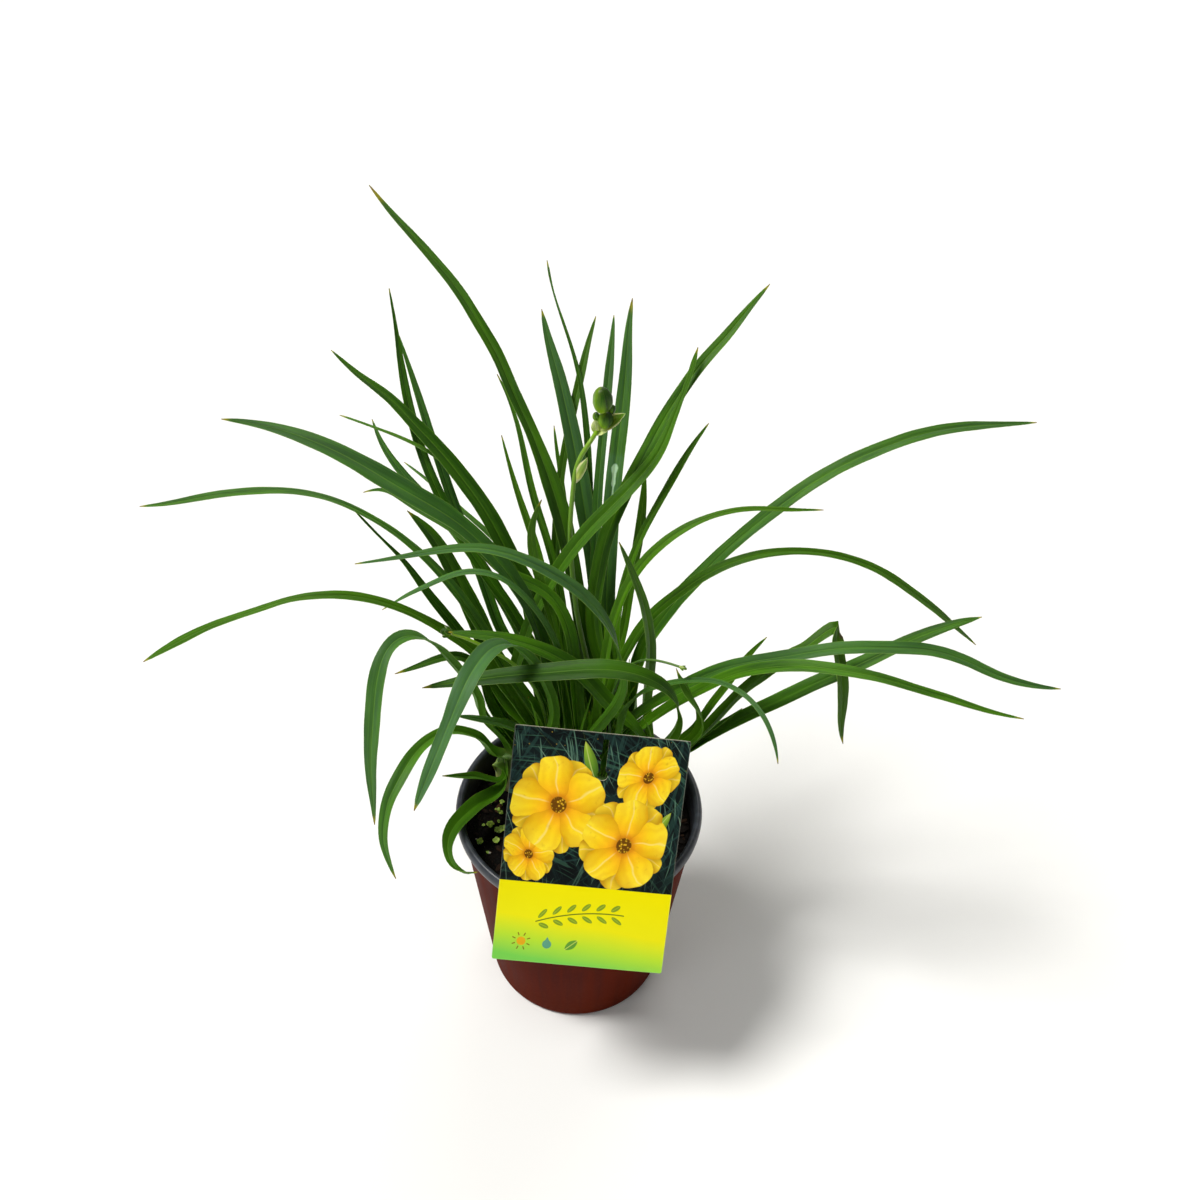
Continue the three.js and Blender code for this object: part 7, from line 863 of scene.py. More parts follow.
        (39.92, 38.44, 289.41, -0.683, -0.7, -0.211, 4.03, 13.4),
        (36.14, 36.21, 308.85, -0.649, -0.72, -0.248, 3.49, 12.4),
        (30.97, 34.12, 327.44, -0.618, -0.734, -0.28, 2.92, 11.5),
        (24.85, 31.99, 345.42, -0.599, -0.744, -0.297, 2.05, 10.8),
        (21.75, 30.9, 354.3, -0.594, -0.747, -0.299, 1.36, 10.4),
        (18.61, 29.78, 363.16, -0.589, -0.75, -0.3, 0.6, 10),
    ]),
    "right_fan_leaf_4": ("right_fan", (52, 22, 153.7, 0.09, 1, 0, 2.72, 40), [
        (52, 22, 176, 0.102, 0.994, 0.046, 2.72, 40),
        (57.05, 20.77, 191.48, 0, 0.984, 0.179, 3.06, 37.2),
        (65.38, 16.7, 205.1, -0.101, 0.936, 0.338, 3, 31.9),
        (72.66, 12.89, 217.91, -0.306, 0.903, 0.302, 3.6, 26),
        (76.23, 11.71, 231.01, -0.449, 0.893, 0.022, 4.4, 21.1),
        (73.79, 12.82, 243.48, -0.244, 0.944, -0.225, 4.7, 17.2),
        (68.4, 15.05, 253.55, 0.168, 0.965, -0.203, 4.8, 14.4),
        (62.61, 18.65, 261.99, 0.448, 0.879, -0.162, 3.5, 12.4),
        (60.16, 20.91, 266.13, 0.504, 0.849, -0.161, 1.48, 11.6),
        (57.96, 23.46, 270.28, 0.557, 0.815, -0.16, 0.6, 10.9),
    ]),
    "right_fan_leaf_5": ("right_fan", (55.1, 21.7, 154.8, 0.09, 1, 0, 2.73, 40), [
        (55.39, 21.7, 174, 0.015, 0.952, -0.306, 2.73, 40),
        (58.65, 25.8, 186.93, -0.19, 0.959, -0.212, 2.99, 37.9),
        (66.96, 29.2, 197.51, -0.345, 0.938, -0.04, 3.14, 33.9),
        (75.86, 32.97, 206.82, -0.531, 0.847, 0.021, 2.66, 28.9),
        (85.69, 40.35, 221.48, -0.637, 0.767, 0.072, 2.91, 21.9),
        (96.39, 47.26, 236.38, -0.669, 0.733, 0.122, 2.65, 16.4),
        (106.51, 54.33, 251.67, -0.652, 0.737, 0.177, 2.05, 12.7),
        (112.4, 57.33, 258.95, -0.633, 0.747, 0.203, 1.36, 11.6),
        (118.82, 59.99, 265.98, -0.614, 0.756, 0.229, 0.6, 10.4),
    ]),
    "right_fan_leaf_6": ("right_fan", (58.3, 21.4, 153.4, 0.09, 1, 0, 3, 40), [
        (58.77, 21.41, 172, 0.009, 0.979, -0.202, 4.3, 40),
        (64.17, 24.17, 185.61, -0.088, 0.991, -0.097, 5.39, 38.2),
        (73.83, 25.19, 196.97, -0.141, 0.988, 0.066, 6.59, 34.2),
        (83.98, 25.61, 206.49, -0.207, 0.963, 0.171, 5, 29.4),
        (99.81, 25.95, 220.92, -0.255, 0.938, 0.235, 4.8, 22.5),
        (116.61, 26.4, 234.1, -0.277, 0.923, 0.267, 5, 17.8),
        (134.02, 27.71, 246.25, -0.298, 0.916, 0.268, 5.1, 15.2),
        (151.74, 29.94, 257.65, -0.291, 0.916, 0.275, 5.1, 13.8),
        (170.19, 32.32, 267.83, -0.284, 0.917, 0.279, 4.9, 12.9),
        (188.53, 36.08, 277.93, -0.291, 0.916, 0.275, 4.6, 12.2),
        (207.13, 40.03, 287.45, -0.274, 0.919, 0.285, 4.2, 11.4),
        (226.36, 43.08, 295.94, -0.228, 0.924, 0.307, 3.2, 10.7),
        (236.26, 44.11, 299.69, -0.212, 0.925, 0.314, 2.25, 10.4),
        (246.31, 44.82, 303.11, -0.197, 0.926, 0.321, 0.6, 10),
    ]),
    "right_fan_leaf_7": ("right_fan", (61.4, 21.2, 154.5, 0.09, 1, 0, 3, 40), [
        (62.16, 21.11, 170, 0.011, 0.967, -0.254, 4.3, 40),
        (66.62, 24.8, 184.24, -0.039, 0.987, -0.154, 4.83, 38.1),
        (73.36, 25.96, 198.16, -0.069, 0.998, 0.005, 5.91, 33.9),
        (80.16, 25.6, 210.64, -0.117, 0.987, 0.106, 4.6, 29),
        (85.14, 24.99, 220.04, -0.173, 0.974, 0.147, 4.6, 25.4),
        (89.6, 24.48, 229.21, -0.215, 0.964, 0.155, 4.5, 22.4),
        (93.93, 24.06, 238.18, -0.231, 0.959, 0.164, 4.3, 19.9),
        (98.46, 23.67, 246.91, -0.227, 0.957, 0.18, 4.2, 18),
        (103.42, 23.13, 255.31, -0.216, 0.957, 0.194, 4.2, 16.6),
        (108.9, 22.4, 263.34, -0.213, 0.958, 0.193, 4.3, 15.6),
        (114.84, 21.85, 271.12, -0.232, 0.958, 0.168, 4.4, 14.8),
        (121.11, 21.91, 278.83, -0.257, 0.956, 0.144, 4.4, 14.2),
        (128, 22.45, 286.29, -0.246, 0.958, 0.145, 4.2, 13.7),
        (136.12, 23.08, 293.16, -0.256, 0.965, 0.064, 3.8, 13.3),
        (154.23, 28.12, 303.68, 0.006, 1, -0.009, 4.74, 12.5),
        (153.9, 23.68, 301.47, 0.737, 0.538, -0.41, 5.15, 12.3),
        (155.08, 17.09, 292.47, 0.804, 0.559, -0.205, 4.61, 11.9),
        (157.37, 11.2, 283.92, 0.819, 0.556, -0.142, 4.66, 11.6),
        (159.07, 6.39, 275.31, 0.826, 0.531, -0.191, 4.76, 11.3),
        (159.9, 2.77, 266.23, 0.821, 0.524, -0.227, 4.27, 10.9),
        (160.3, -0.45, 257.07, 0.817, 0.548, -0.181, 3.41, 10.6),
        (161.16, -3.92, 248.16, 0.807, 0.584, -0.094, 2.1, 10.3),
        (162.11, -5.59, 243.8, 0.802, 0.592, -0.072, 1.38, 10.2),
        (163.38, -7.23, 239.49, 0.798, 0.601, -0.049, 0.6, 10),
    ]),
    "front_left_fan_leaf_8": ("front_left_fan", (-15.5, 23.6, 153, 0.34, -0.94, 0, 3, 40), [
        (-15.21, 23.74, 173, 0.287, -0.916, 0.282, 4.3, 40),
        (-18.71, 26.99, 187.12, 0.029, -0.977, 0.21, 5.6, 38.1),
        (-26.2, 29.18, 199.86, -0.195, -0.981, 0.011, 7.95, 34),
        (-35.05, 30.51, 210.62, -0.356, -0.92, -0.164, 7.88, 29.2),
        (-48.23, 32.98, 226.26, -0.546, -0.821, -0.166, 7.72, 22.5),
        (-57.15, 38.5, 243.84, -0.702, -0.712, -0.036, 7.64, 17.7),
        (-62.84, 45.58, 262.34, -0.744, -0.668, -0.011, 7.49, 14.9),
        (-70.03, 52.26, 280.47, -0.73, -0.68, -0.065, 6.98, 13.4),
        (-78.26, 58.68, 298.25, -0.713, -0.694, -0.094, 6.05, 12.4),
        (-87.17, 65.07, 315.72, -0.683, -0.717, -0.137, 5.19, 11.6),
        (-97.89, 70.86, 332.31, -0.604, -0.76, -0.24, 3.92, 10.8),
        (-111.82, 74.8, 346.91, -0.539, -0.786, -0.303, 0.6, 10),
    ]),
    "back_fan_leaf_5": ("back_fan", (12.7, 62, 154.1, 0, -1, 0, 2.13, 40), [
        (13.1, 62, 173, -0.024, -0.961, 0.274, 2.13, 40),
        (11.83, 66.12, 187.35, -0.29, -0.921, 0.262, 2.36, 38.2),
        (8.4, 71.41, 200.92, -0.543, -0.82, 0.181, 2.72, 34.2),
        (3.19, 77.37, 212.43, -0.698, -0.716, 0.029, 2.44, 29.5),
        (-6.38, 86.86, 226.17, -0.752, -0.652, -0.1, 2.27, 23.3),
        (-17.65, 97.52, 237.59, -0.758, -0.629, -0.174, 2.21, 18.8),
        (-29.66, 109.1, 247.25, -0.762, -0.616, -0.197, 2.2, 16.1),
        (-41.73, 121.47, 255.81, -0.771, -0.604, -0.201, 2.2, 14.6),
        (-53.75, 134.36, 263.61, -0.754, -0.619, -0.219, 2.2, 13.7),
        (-66.81, 146.92, 270.21, -0.709, -0.659, -0.25, 2.11, 13),
        (-80.85, 158.94, 275.67, -0.675, -0.686, -0.272, 1.92, 12.4),
        (-95.24, 170.8, 280.6, -0.667, -0.691, -0.28, 1.77, 11.8),
        (-109.59, 182.72, 285.46, -0.662, -0.693, -0.286, 1.55, 11.2),
        (-124.15, 194.48, 290.11, -0.642, -0.708, -0.296, 1.14, 10.6),
        (-139.16, 205.83, 294.36, -0.628, -0.717, -0.304, 0.6, 10),
    ]),
    "back_fan_leaf_6": ("back_fan", (3.3, 62, 155.2, 0, -1, 0, 2.49, 40), [
        (2.9, 62, 173, -0.006, -0.972, 0.235, 2.49, 40),
        (2.5, 65.52, 187.58, -0.346, -0.911, 0.224, 2.76, 38.1),
        (1.55, 69.64, 201.96, -0.674, -0.719, 0.169, 3.01, 34),
        (0.1, 74.23, 215.11, -0.874, -0.481, 0.072, 2.65, 29.2),
        (-2.49, 81.55, 232.59, -0.949, -0.315, -0.01, 2.47, 22.9),
        (-5.56, 90.21, 249.37, -0.97, -0.237, -0.05, 2.41, 18.3),
        (-8.75, 100.23, 265.35, -0.977, -0.204, -0.053, 2.4, 15.5),
        (-11.7, 111.47, 280.55, -0.982, -0.187, -0.04, 2.36, 13.9),
        (-14.44, 123.69, 295.01, -0.983, -0.18, -0.034, 2.18, 12.9),
        (-17.3, 136.66, 308.79, -0.983, -0.182, -0.038, 1.95, 12.1),
        (-20.38, 150.12, 322.03, -0.98, -0.195, -0.051, 1.7, 11.4),
        (-24.05, 163.83, 334.87, -0.981, -0.19, -0.047, 1.28, 10.7),
        (-26.97, 177.77, 347.65, -0.984, -0.177, -0.032, 0.6, 10),
    ]),
}
# the scape's head
BUD_UPPER, BUD_UPPER_RADIUS, BUD_UPPER_LENGTH, BUD_LEAN = (5.8, 107.0, 410.5), 6.0, 16.6, (-0.05, 0, 1)
BUD_LOWER, BUD_LOWER_RADIUS, BUD_LOWER_LENGTH, BUD_LOWER_LEAN = (8.4, 108.5, 395.9), 4.6, 11.4, (0.12, -0.05, 1)
SCAPE_HEAD = [[3.0, 108.5, 387.8], [5.2, 113.3, 392.7], [5.8, 109.2, 403.5]]
BUD_TINY = [[11.7, 112.5, 400.9], [2.7, 111.5, 396.2]]
HEAD_BRACTS = [
    ((7.5, 112.5, 387.6), (20.3, 108.0, 401.2), (0.3, 0.25, 0.9), 4.1, 0.9),
    ((4.0, 108.5, 386.4), (1.3, 108.0, 395.8), (0.9, 0.3, 0.1), 3.2, 0.8),
    ((4.0, 108.0, 386.0), (10.0, 104.0, 391.2), (0.4, 0.7, 0.5), 2.6, 0.5),
]
LOWER_BRACT = ((-9.0, 94.9, 358.0), (-1.9, 96.2, 376.3), (0.8, 0.25, -0.45), 3.3, 1.2)


# ---- small numeric helpers --------------------------------------------------------------------------
def spline(x, xi, yi):
    """Natural cubic spline through (xi, yi); yi may have several columns."""
    xi, yi = np.asarray(xi, float), np.asarray(yi, float)
    y = yi.reshape(len(xi), -1)
    n, h = len(xi), np.diff(xi)
    a = np.zeros((n, n))
    r = np.zeros((n, y.shape[1]))
    a[0, 0] = a[-1, -1] = 1
    for i in range(1, n - 1):
        a[i, i - 1 : i + 2] = h[i - 1], 2 * (h[i - 1] + h[i]), h[i]
        r[i] = 6 * ((y[i + 1] - y[i]) / h[i] - (y[i] - y[i - 1]) / h[i - 1])
    m = np.linalg.solve(a, r)
    x = np.asarray(x, float)
    k = np.clip(np.searchsorted(xi, x) - 1, 0, n - 2)
    u, v = (xi[k + 1] - x)[:, None], (x - xi[k])[:, None]
    hk = h[k][:, None]
    out = (m[k] * u**3 + m[k + 1] * v**3) / (6 * hk) + (y[k] / hk - m[k] * hk / 6) * u + (y[k + 1] / hk - m[k + 1] * hk / 6) * v
    return out.reshape(len(x), *yi.shape[1:])


def gentle(x, xi, yi):
    """Monotone cubic through (xi, yi), for widths and folds."""
    xi, yi = np.asarray(xi, float), np.asarray(yi, float)
    h, d = np.diff(xi), np.diff(yi) / np.diff(xi)
    m = np.zeros(len(xi))
    m[0], m[-1] = d[0], d[-1]
    for i in range(1, len(xi) - 1):
        if d[i - 1] * d[i] > 0:
            w1, w2 = 2 * h[i] + h[i - 1], h[i] + 2 * h[i - 1]
            m[i] = (w1 + w2) / (w1 / d[i - 1] + w2 / d[i])
    x = np.asarray(x, float)
    k = np.clip(np.searchsorted(xi, x) - 1, 0, len(xi) - 2)
    t = (x - xi[k]) / h[k]
    return ((1 + 2 * t) * (1 - t) ** 2 * yi[k] + t * (1 - t) ** 2 * h[k] * m[k] + t * t * (3 - 2 * t) * yi[k + 1] + t * t * (t - 1) * h[k] * m[k + 1])


def unit(v):
    return v / np.maximum(np.linalg.norm(v, axis=-1, keepdims=True), 1e-12)


def bell(x, c, s):
    return np.exp(-(((x - c) / s) ** 2))


def seed_of(name):
    return sum((i + 1) * ord(c) for i, c in enumerate(name)) % 9973


# ---- meshes -------------------------------------------------------------------------------------------
class Build:
    """Collects closed shells into one mesh, with point colours and sharp edges."""

    def __init__(self):
        self.v, self.f, self.m, self.sharp, self.flat = [], [], [], [], []
        self.data = {}
        self.n = 0

    def add(self, verts, faces, mat=0, sharp=(), flat=False, **data):
        verts = np.asarray(verts, float)
        base = self.n
        self.v.append(verts)
        self.f += [tuple(base + i for i in f) for f in faces]
        self.m += list(mat) if isinstance(mat, (list, tuple, np.ndarray)) else [mat] * len(faces)
        self.flat += [flat] * len(faces)
        self.sharp += [(base + a, base + b) for a, b in sharp]
        for k, d in data.items():
            d = np.asarray(d, float)
            if d.ndim == 1:
                d = np.repeat(d[None], len(verts), 0)
            self.data.setdefault(k, []).append((base, d))
        self.n += len(verts)

    def object(self, name, materials, replaces=()):
        mesh = bpy.data.meshes.new(name)
        v = np.concatenate(self.v) * MM
        mesh.from_pydata(v.tolist(), [], self.f)
        mesh.polygons.foreach_set("material_index", np.array(self.m, np.int32))
        mesh.polygons.foreach_set("use_smooth", np.array([not x for x in self.flat], bool))
        for k, parts in self.data.items():
            full = np.zeros((self.n, 4))
            for base, d in parts:
                full[base : base + len(d), : d.shape[1]] = d
            a = mesh.attributes.new(k, "FLOAT_COLOR", "POINT")
            a.data.foreach_set("color", full.astype(np.float32).ravel())
        if self.sharp:
            want = {(min(a, b), max(a, b)) for a, b in self.sharp}
            e = np.zeros(len(mesh.edges) * 2, np.int32)
            mesh.edges.foreach_get("vertices", e)
            e = e.reshape(-1, 2)
            flags = np.array([(min(a, b), max(a, b)) in want for a, b in e.tolist()], bool)
            s = mesh.attributes.new("sharp_edge", "BOOLEAN", "EDGE")
            s.data.foreach_set("value", flags)
        for mat in materials:
            mesh.materials.append(mat)
        mesh.validate()
        mesh.update()
        obj = bpy.data.objects.new(name, mesh)
        bpy.context.scene.collection.objects.link(obj)
        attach(obj, "root")
        if replaces:
            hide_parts(*replaces)
        return obj


def tube_faces(rings, sides, cap_start=True, cap_end=True, base=0):
    f = []
    for i in range(rings - 1):
        for j in range(sides):
            a, b = base + i * sides + j, base + i * sides + (j + 1) % sides
            f.append((a, b, b + sides, a + sides))
    if cap_start:
        f.append(tuple(base + j for j in reversed(range(sides))))
    if cap_end:
        f.append(tuple(base + (rings - 1) * sides + j for j in range(sides)))
    return f


# ---- materials ------------------------------------------------------------------------------------------
def lin(h, k=1.0):
    h = h.lstrip("#")
    c = [int(h[i : i + 2], 16) / 255 for i in (0, 2, 4)]
    return tuple(k * (x / 12.92 if x <= 0.04045 else ((x + 0.055) / 1.055) ** 2.4) for x in c) + (1.0,)


class X:
    """A number socket; arithmetic on it makes Math nodes."""

    def __init__(self, net, s):
        self.net, self.s = net, s

    def __add__(self, o):
        return self.net.math("ADD", self, o)

    __radd__ = __add__

    def __sub__(self, o):
        return self.net.math("SUBTRACT", self, o)

    def __rsub__(self, o):
        return self.net.math("SUBTRACT", o, self)

    def __mul__(self, o):
        return self.net.math("MULTIPLY", self, o)

    __rmul__ = __mul__

    def __truediv__(self, o):
        return self.net.math("DIVIDE", self, o)

    def __rtruediv__(self, o):
        return self.net.math("DIVIDE", o, self)

    def __pow__(self, o):
        return self.net.math("POWER", self, o)

    def __neg__(self):
        return self.net.math("MULTIPLY", self, -1.0)

    def abs(self):
        return self.net.math("ABSOLUTE", self)

    def sin(self):
        return self.net.math("SINE", self)

    def cos(self):
        return self.net.math("COSINE", self)

    def sqrt(self):
        return self.net.math("SQRT", self)

    def fract(self):
        return self.net.math("FRACT", self)

    def floor(self):
        return self.net.math("FLOOR", self)

    def min(self, o):
        return self.net.math("MINIMUM", self, o)

    def max(self, o):
        return self.net.math("MAXIMUM", self, o)

    def clamp(self):
        return self.net.math("ADD", self, 0.0, clamp=True)


class Net:
    def __init__(self, name):
        self.mat = bpy.data.materials.new(name)
        self.mat.use_nodes = True
        self.nt = self.mat.node_tree
        self.nt.nodes.clear()
        self.out = self.nt.nodes.new("ShaderNodeOutputMaterial")

    def new(self, kind, **props):
        n = self.nt.nodes.new(kind)
        for k, v in props.items():
            setattr(n, k, v)
        return n

    def put(self, value, socket):
        if isinstance(value, X):
            value = value.s
        if isinstance(value, bpy.types.NodeSocket):
            self.nt.links.new(value, socket)
        elif value is not None:
            socket.default_value = value

    def math(self, op, *args, clamp=False):
        n = self.new("ShaderNodeMath", operation=op, use_clamp=clamp)
        for v, i in zip(args, n.inputs):
            self.put(v, i)
        return X(self, n.outputs[0])

    def attr(self, name):
        """The four channels of a point colour."""
        n = self.new("ShaderNodeAttribute", attribute_type="GEOMETRY", attribute_name=name)
        s = self.new("ShaderNodeSeparateColor")
        self.nt.links.new(n.outputs["Color"], s.inputs[0])
        return [X(self, s.outputs[i]) for i in range(3)] + [X(self, n.outputs["Alpha"])]

    def place(self):
        """Object coordinates in metres, as one vector and as x, y, z."""
        n = self.new("ShaderNodeTexCoord")
        s = self.new("ShaderNodeSeparateXYZ")
        self.nt.links.new(n.outputs["Object"], s.inputs[0])
        return n.outputs["Object"], [X(self, s.outputs[i]) for i in range(3)]

    def xyz(self, x=0.0, y=0.0, z=0.0):
        n = self.new("ShaderNodeCombineXYZ")
        for v, i in zip((x, y, z), n.inputs):
            self.put(v, i)
        return n.outputs[0]

    def noise(self, vec, scale, detail=2.0, rough=0.5, dist=0.0):
        n = self.new("ShaderNodeTexNoise")
        self.put(vec, n.inputs["Vector"])
        for k, v in (("Scale", scale), ("Detail", detail), ("Roughness", rough), ("Distortion", dist)):
            n.inputs[k].default_value = v
        return X(self, n.outputs[0])

    def voronoi(self, vec, scale, feature="F1", rand=1.0):
        n = self.new("ShaderNodeTexVoronoi", feature=feature)
        self.put(vec, n.inputs["Vector"])
        n.inputs["Scale"].default_value = scale
        n.inputs["Randomness"].default_value = rand
        d = X(self, n.outputs["Distance"])
        if feature == "DISTANCE_TO_EDGE":
            return d, None
        s = self.new("ShaderNodeSeparateColor")
        self.nt.links.new(n.outputs["Color"], s.inputs[0])
        return d, X(self, s.outputs[0])

    def step(self, x, lo, hi, a=0.0, b=1.0):
        """a below lo, b above hi, smooth between."""
        n = self.new("ShaderNodeMapRange", interpolation_type="SMOOTHSTEP")
        if lo > hi:
            lo, hi, a, b = hi, lo, b, a
        for v, i in zip((x, lo, hi, a, b), n.inputs):
            self.put(v, i)
        return X(self, n.outputs[0])

    def mix(self, fac, a, b, blend="MIX"):
        n = self.new("ShaderNodeMix", data_type="RGBA", blend_type=blend, clamp_factor=True)
        self.put(fac, n.inputs[0])
        self.put(a, n.inputs[6])
        self.put(b, n.inputs[7])
        return n.outputs[2]

    def ramp(self, x, stops):
        n = self.new("ShaderNodeValToRGB")
        e = n.color_ramp.elements
        while len(e) < len(stops):
            e.new(0.5)
        for el, (p, c) in zip(e, stops):
            el.position, el.color = p, c
        self.put(x, n.inputs[0])
        return n.outputs[0]

    def bump(self, height, strength, distance, normal=None):
        n = self.new("ShaderNodeBump")
        n.inputs["Strength"].default_value = strength
        n.inputs["Distance"].default_value = distance
        self.put(height, n.inputs["Height"])
        self.put(normal, n.inputs["Normal"])
        return n.outputs[0]

    def finish(self, colour, rough, normal=None, **fixed):
        p = self.new("ShaderNodeBsdfPrincipled")
        self.put(colour, p.inputs["Base Color"])
        self.put(rough, p.inputs["Roughness"])
        self.put(normal, p.inputs["Normal"])
        for k, v in fixed.items():
            p.inputs[k.replace("_", " ")].default_value = v
        self.nt.links.new(p.outputs[0], self.out.inputs["Surface"])
        self.mat.diffuse_color = (0.1, 0.3, 0.05, 1)
        return self.mat


def leaf_material():
    """Points carry leaf = (across, along 0-1, upper face, chance) and spot = (s / 500 mm, distance to the tip
    / 500 mm, length of the yellow tip / 50 mm, scar); tone = (1 for glaucous leaves with painted sky sheen and -1 for
    olive leaves, painted shade on leaves in shade)."""
    n = Net("daylily_leaf")
    w01, t, upper, chance = n.attr("leaf")
    s, tip, tiplen, scar = n.attr("spot")
    tone, shade, _, _ = n.attr("tone")
    w = w01 * 2.0 - 1.0
    aw = w.abs()
    along = s * 500.0
    seed = chance * 37.0
    vein_noise = n.noise(n.xyz(w * 26.0, along * 0.012, seed), 1.0, 2.0, 0.6)
    streak = n.noise(n.xyz(w * 7.0, along * 0.006, seed + 5.0), 1.0, 3.0, 0.55)
    patch = n.noise(n.xyz(w * 1.2, along * 0.022, seed + 9.0), 1.0, 2.0, 0.5)
    vein = ((w * 56.0 + vein_noise * 2.0).cos() * 0.5 + 0.5)
    # body colour: deep to fresh green with the leaf's own tone, streaked along its veins
    deep = n.mix(chance, lin(LEAF_DEEP_A), lin(LEAF_DEEP_B))
    fresh = n.mix(chance, lin(LEAF_FRESH_A), lin(LEAF_FRESH_B))
    body = n.mix(n.step(patch * 0.6 + streak * 0.4, 0.36, 0.66), deep, fresh)
    body = n.mix(vein * n.step(vein_noise, 0.3, 0.7) * 0.20, body, lin("#5f8f22"))
    # glaucous bloom and painted sky sheen on the upper face, patchy, stronger on some leaves and out on their arches,
    # where it stands in for reflected sky
    bloom_and_sky_sheen = n.step(n.noise(n.xyz(w * 2.0, along * 0.03, seed + 21.0), 1.0, 3.0, 0.6), 0.35, 0.75)
    bloom_and_sky_sheen = bloom_and_sky_sheen * n.step(along, 110.0, 220.0, 0.0, 1.0) * n.step((chance * 7.3).fract(), 0.2, 0.8, 0.2, 0.8)
    body = n.mix(bloom_and_sky_sheen * upper * 0.34, body, lin("#55794b"))
    # painted sky sheen: glaucous leaves turn greyer out along their arches, more on the upper face
    glaucous_sheen = tone.max(0.0) * (0.55 + bloom_and_sky_sheen * 0.45) * n.step(along, 70.0, 170.0, 0.3, 1.0)
    body = n.mix(glaucous_sheen * (0.45 + upper * 0.25), body, lin("#527a55"))
    body = n.mix((tone * -1.0).max(0.0) * 0.6, body, lin("#4b7808"))
    # painted shade on leaves that lie in shade, deeper on the half of the fold with w > 0
    body = n.mix(shade * (0.35 + n.step(w, -0.1, 0.1) * 0.3), body, lin("#122b05"))
    # the underside is paler and duller
    body = n.mix((1.0 - upper) * 0.35, body, lin("#48741c"))
    # midrib and margins
    rib = n.step(aw, 0.085, 0.02)
    body = n.mix(rib * 0.3, body, lin("#6f9a34"))
    margin = n.step(aw, 0.955, 0.995)
    body = n.mix(margin * 0.4, body, lin("#8fb054"))
    # freckles and rub marks
    freckle, _ = n.voronoi(n.xyz(w * 6.0, along * 0.16, seed), 1.0)
    body = n.mix(n.step(freckle, 0.09, 0.03) * n.step(streak, 0.5, 0.62) * 0.35, body, lin("#8f9a55"))
    # towards the sheath the blade pales; this paler, brighter base is also painted light, a sunlit glow inside the
    # crown
    low = n.step(along + n.noise(n.xyz(w * 3.0, along * 0.02, seed), 1.0) * 30.0, 150.0, 10.0)
    body = n.mix(low * 0.45, body, lin("#548a0c"))
    body = n.mix(n.step(chance, 1.0, 1.3) * 0.5, body, lin("#6da314"))
    body = n.mix(n.step(along, 12.0, -16.0) * 0.8, body, lin("#c4cc84"))
    # tip: green, then yellow, then a dry end
    ragged = (n.noise(n.xyz(w * 3.0, along * 0.12, seed + 3.0), 1.0, 3.0, 0.6) - 0.5) * 0.9
    reach = (tip * 10.0) / (tiplen + 0.02) + ragged
    body = n.mix(n.step(reach, 1.15, 0.35) * 0.85, body, lin("#9a8f22"))
    body = n.mix(n.step(reach, 0.42, 0.12), body, lin("#6b4a24"))
    body = n.mix(n.step(scar, 0.5, 1.0), body, lin("#a9c9a4"))
    body = n.mix(n.step(scar, 0.0, -0.7), body, lin("#4a3216"))
    rough = n.step(streak, 0.2, 0.8, 0.36, 0.52) + (1.0 - upper) * 0.1 + bloom_and_sky_sheen * 0.05
    height = vein * 0.5 + vein_noise * 0.6 + streak * 0.5
    bump = n.bump(height, 0.35, 0.00022)
    return n.finish(body, rough, bump, Subsurface_Weight=0.3, Subsurface_Radius=(0.8, 1.2, 0.1), Subsurface_Scale=0.0007, Specular_IOR_Level=0.12)


LEAF_DEEP_A, LEAF_DEEP_B = "#1c4303", "#285206"
LEAF_FRESH_A, LEAF_FRESH_B = "#356605", "#4b7d0a"


def sheath_material():
    """Crown stubs: cream at the soil, green higher, ribbed lengthwise. leaf = (around, height 0-1, -, chance)."""
    n = Net("daylily_sheath")
    a, h, _, chance = n.attr("leaf")
    rib = n.noise(n.xyz(a * 90.0, h * 1.6, chance * 31.0), 1.0, 2.0, 0.6)
    soft = n.noise(n.xyz(a * 14.0, h * 3.0, chance * 17.0), 1.0, 3.0, 0.6)
    k = h + (soft - 0.5) * 0.35
    c = n.ramp(k, [(0.0, lin("#5b4327")), (0.30, lin("#8a7a4c")), (0.44, lin("#c9c68c")), (0.62, lin("#9fae55")), (0.85, lin("#5f8527")), (1.0, lin("#43701c"))])
    c = n.mix(n.step(rib, 0.42, 0.7) * 0.3, c, lin("#dcdcae"))
    c = n.mix(n.step(soft, 0.62, 0.75) * n.step(h, 0.75, 0.45) * 0.5, c, lin("#6d5230"))
    return n.finish(c, n.step(rib, 0.2, 0.8, 0.42, 0.6), n.bump(rib * 0.7 + soft * 0.6, 0.45, 0.0004), Subsurface_Weight=0.25, Subsurface_Radius=(1.0, 1.0, 0.4), Subsurface_Scale=0.0008)


def stem_material():
    n = Net("daylily_scape")
    a, h, _, chance = n.attr("leaf")
    rib = n.noise(n.xyz(a * 24.0, h * 14.0, chance * 11.0), 1.0, 2.0, 0.5)
    soft = n.noise(n.xyz(a * 3.0, h * 9.0, 3.0), 1.0, 3.0, 0.6)
    c = n.ramp(h + (soft - 0.5) * 0.3, [(0.0, lin("#6f8f2e")), (0.45, lin("#4f7f14")), (0.8, lin("#6b9a14")), (1.0, lin("#86ad1e"))])
    c = n.mix(n.step(rib, 0.45, 0.75) * 0.3, c, lin("#9bbb45"))
    c = n.mix(n.step(chance, 0.7, 0.9) * 0.8, c, lin("#2f5a16"))
    return n.finish(c, n.step(soft, 0.2, 0.8, 0.34, 0.5), n.bump(rib, 0.3, 0.0002), Subsurface_Weight=0.3, Subsurface_Radius=(0.9, 1.2, 0.3), Subsurface_Scale=0.001)


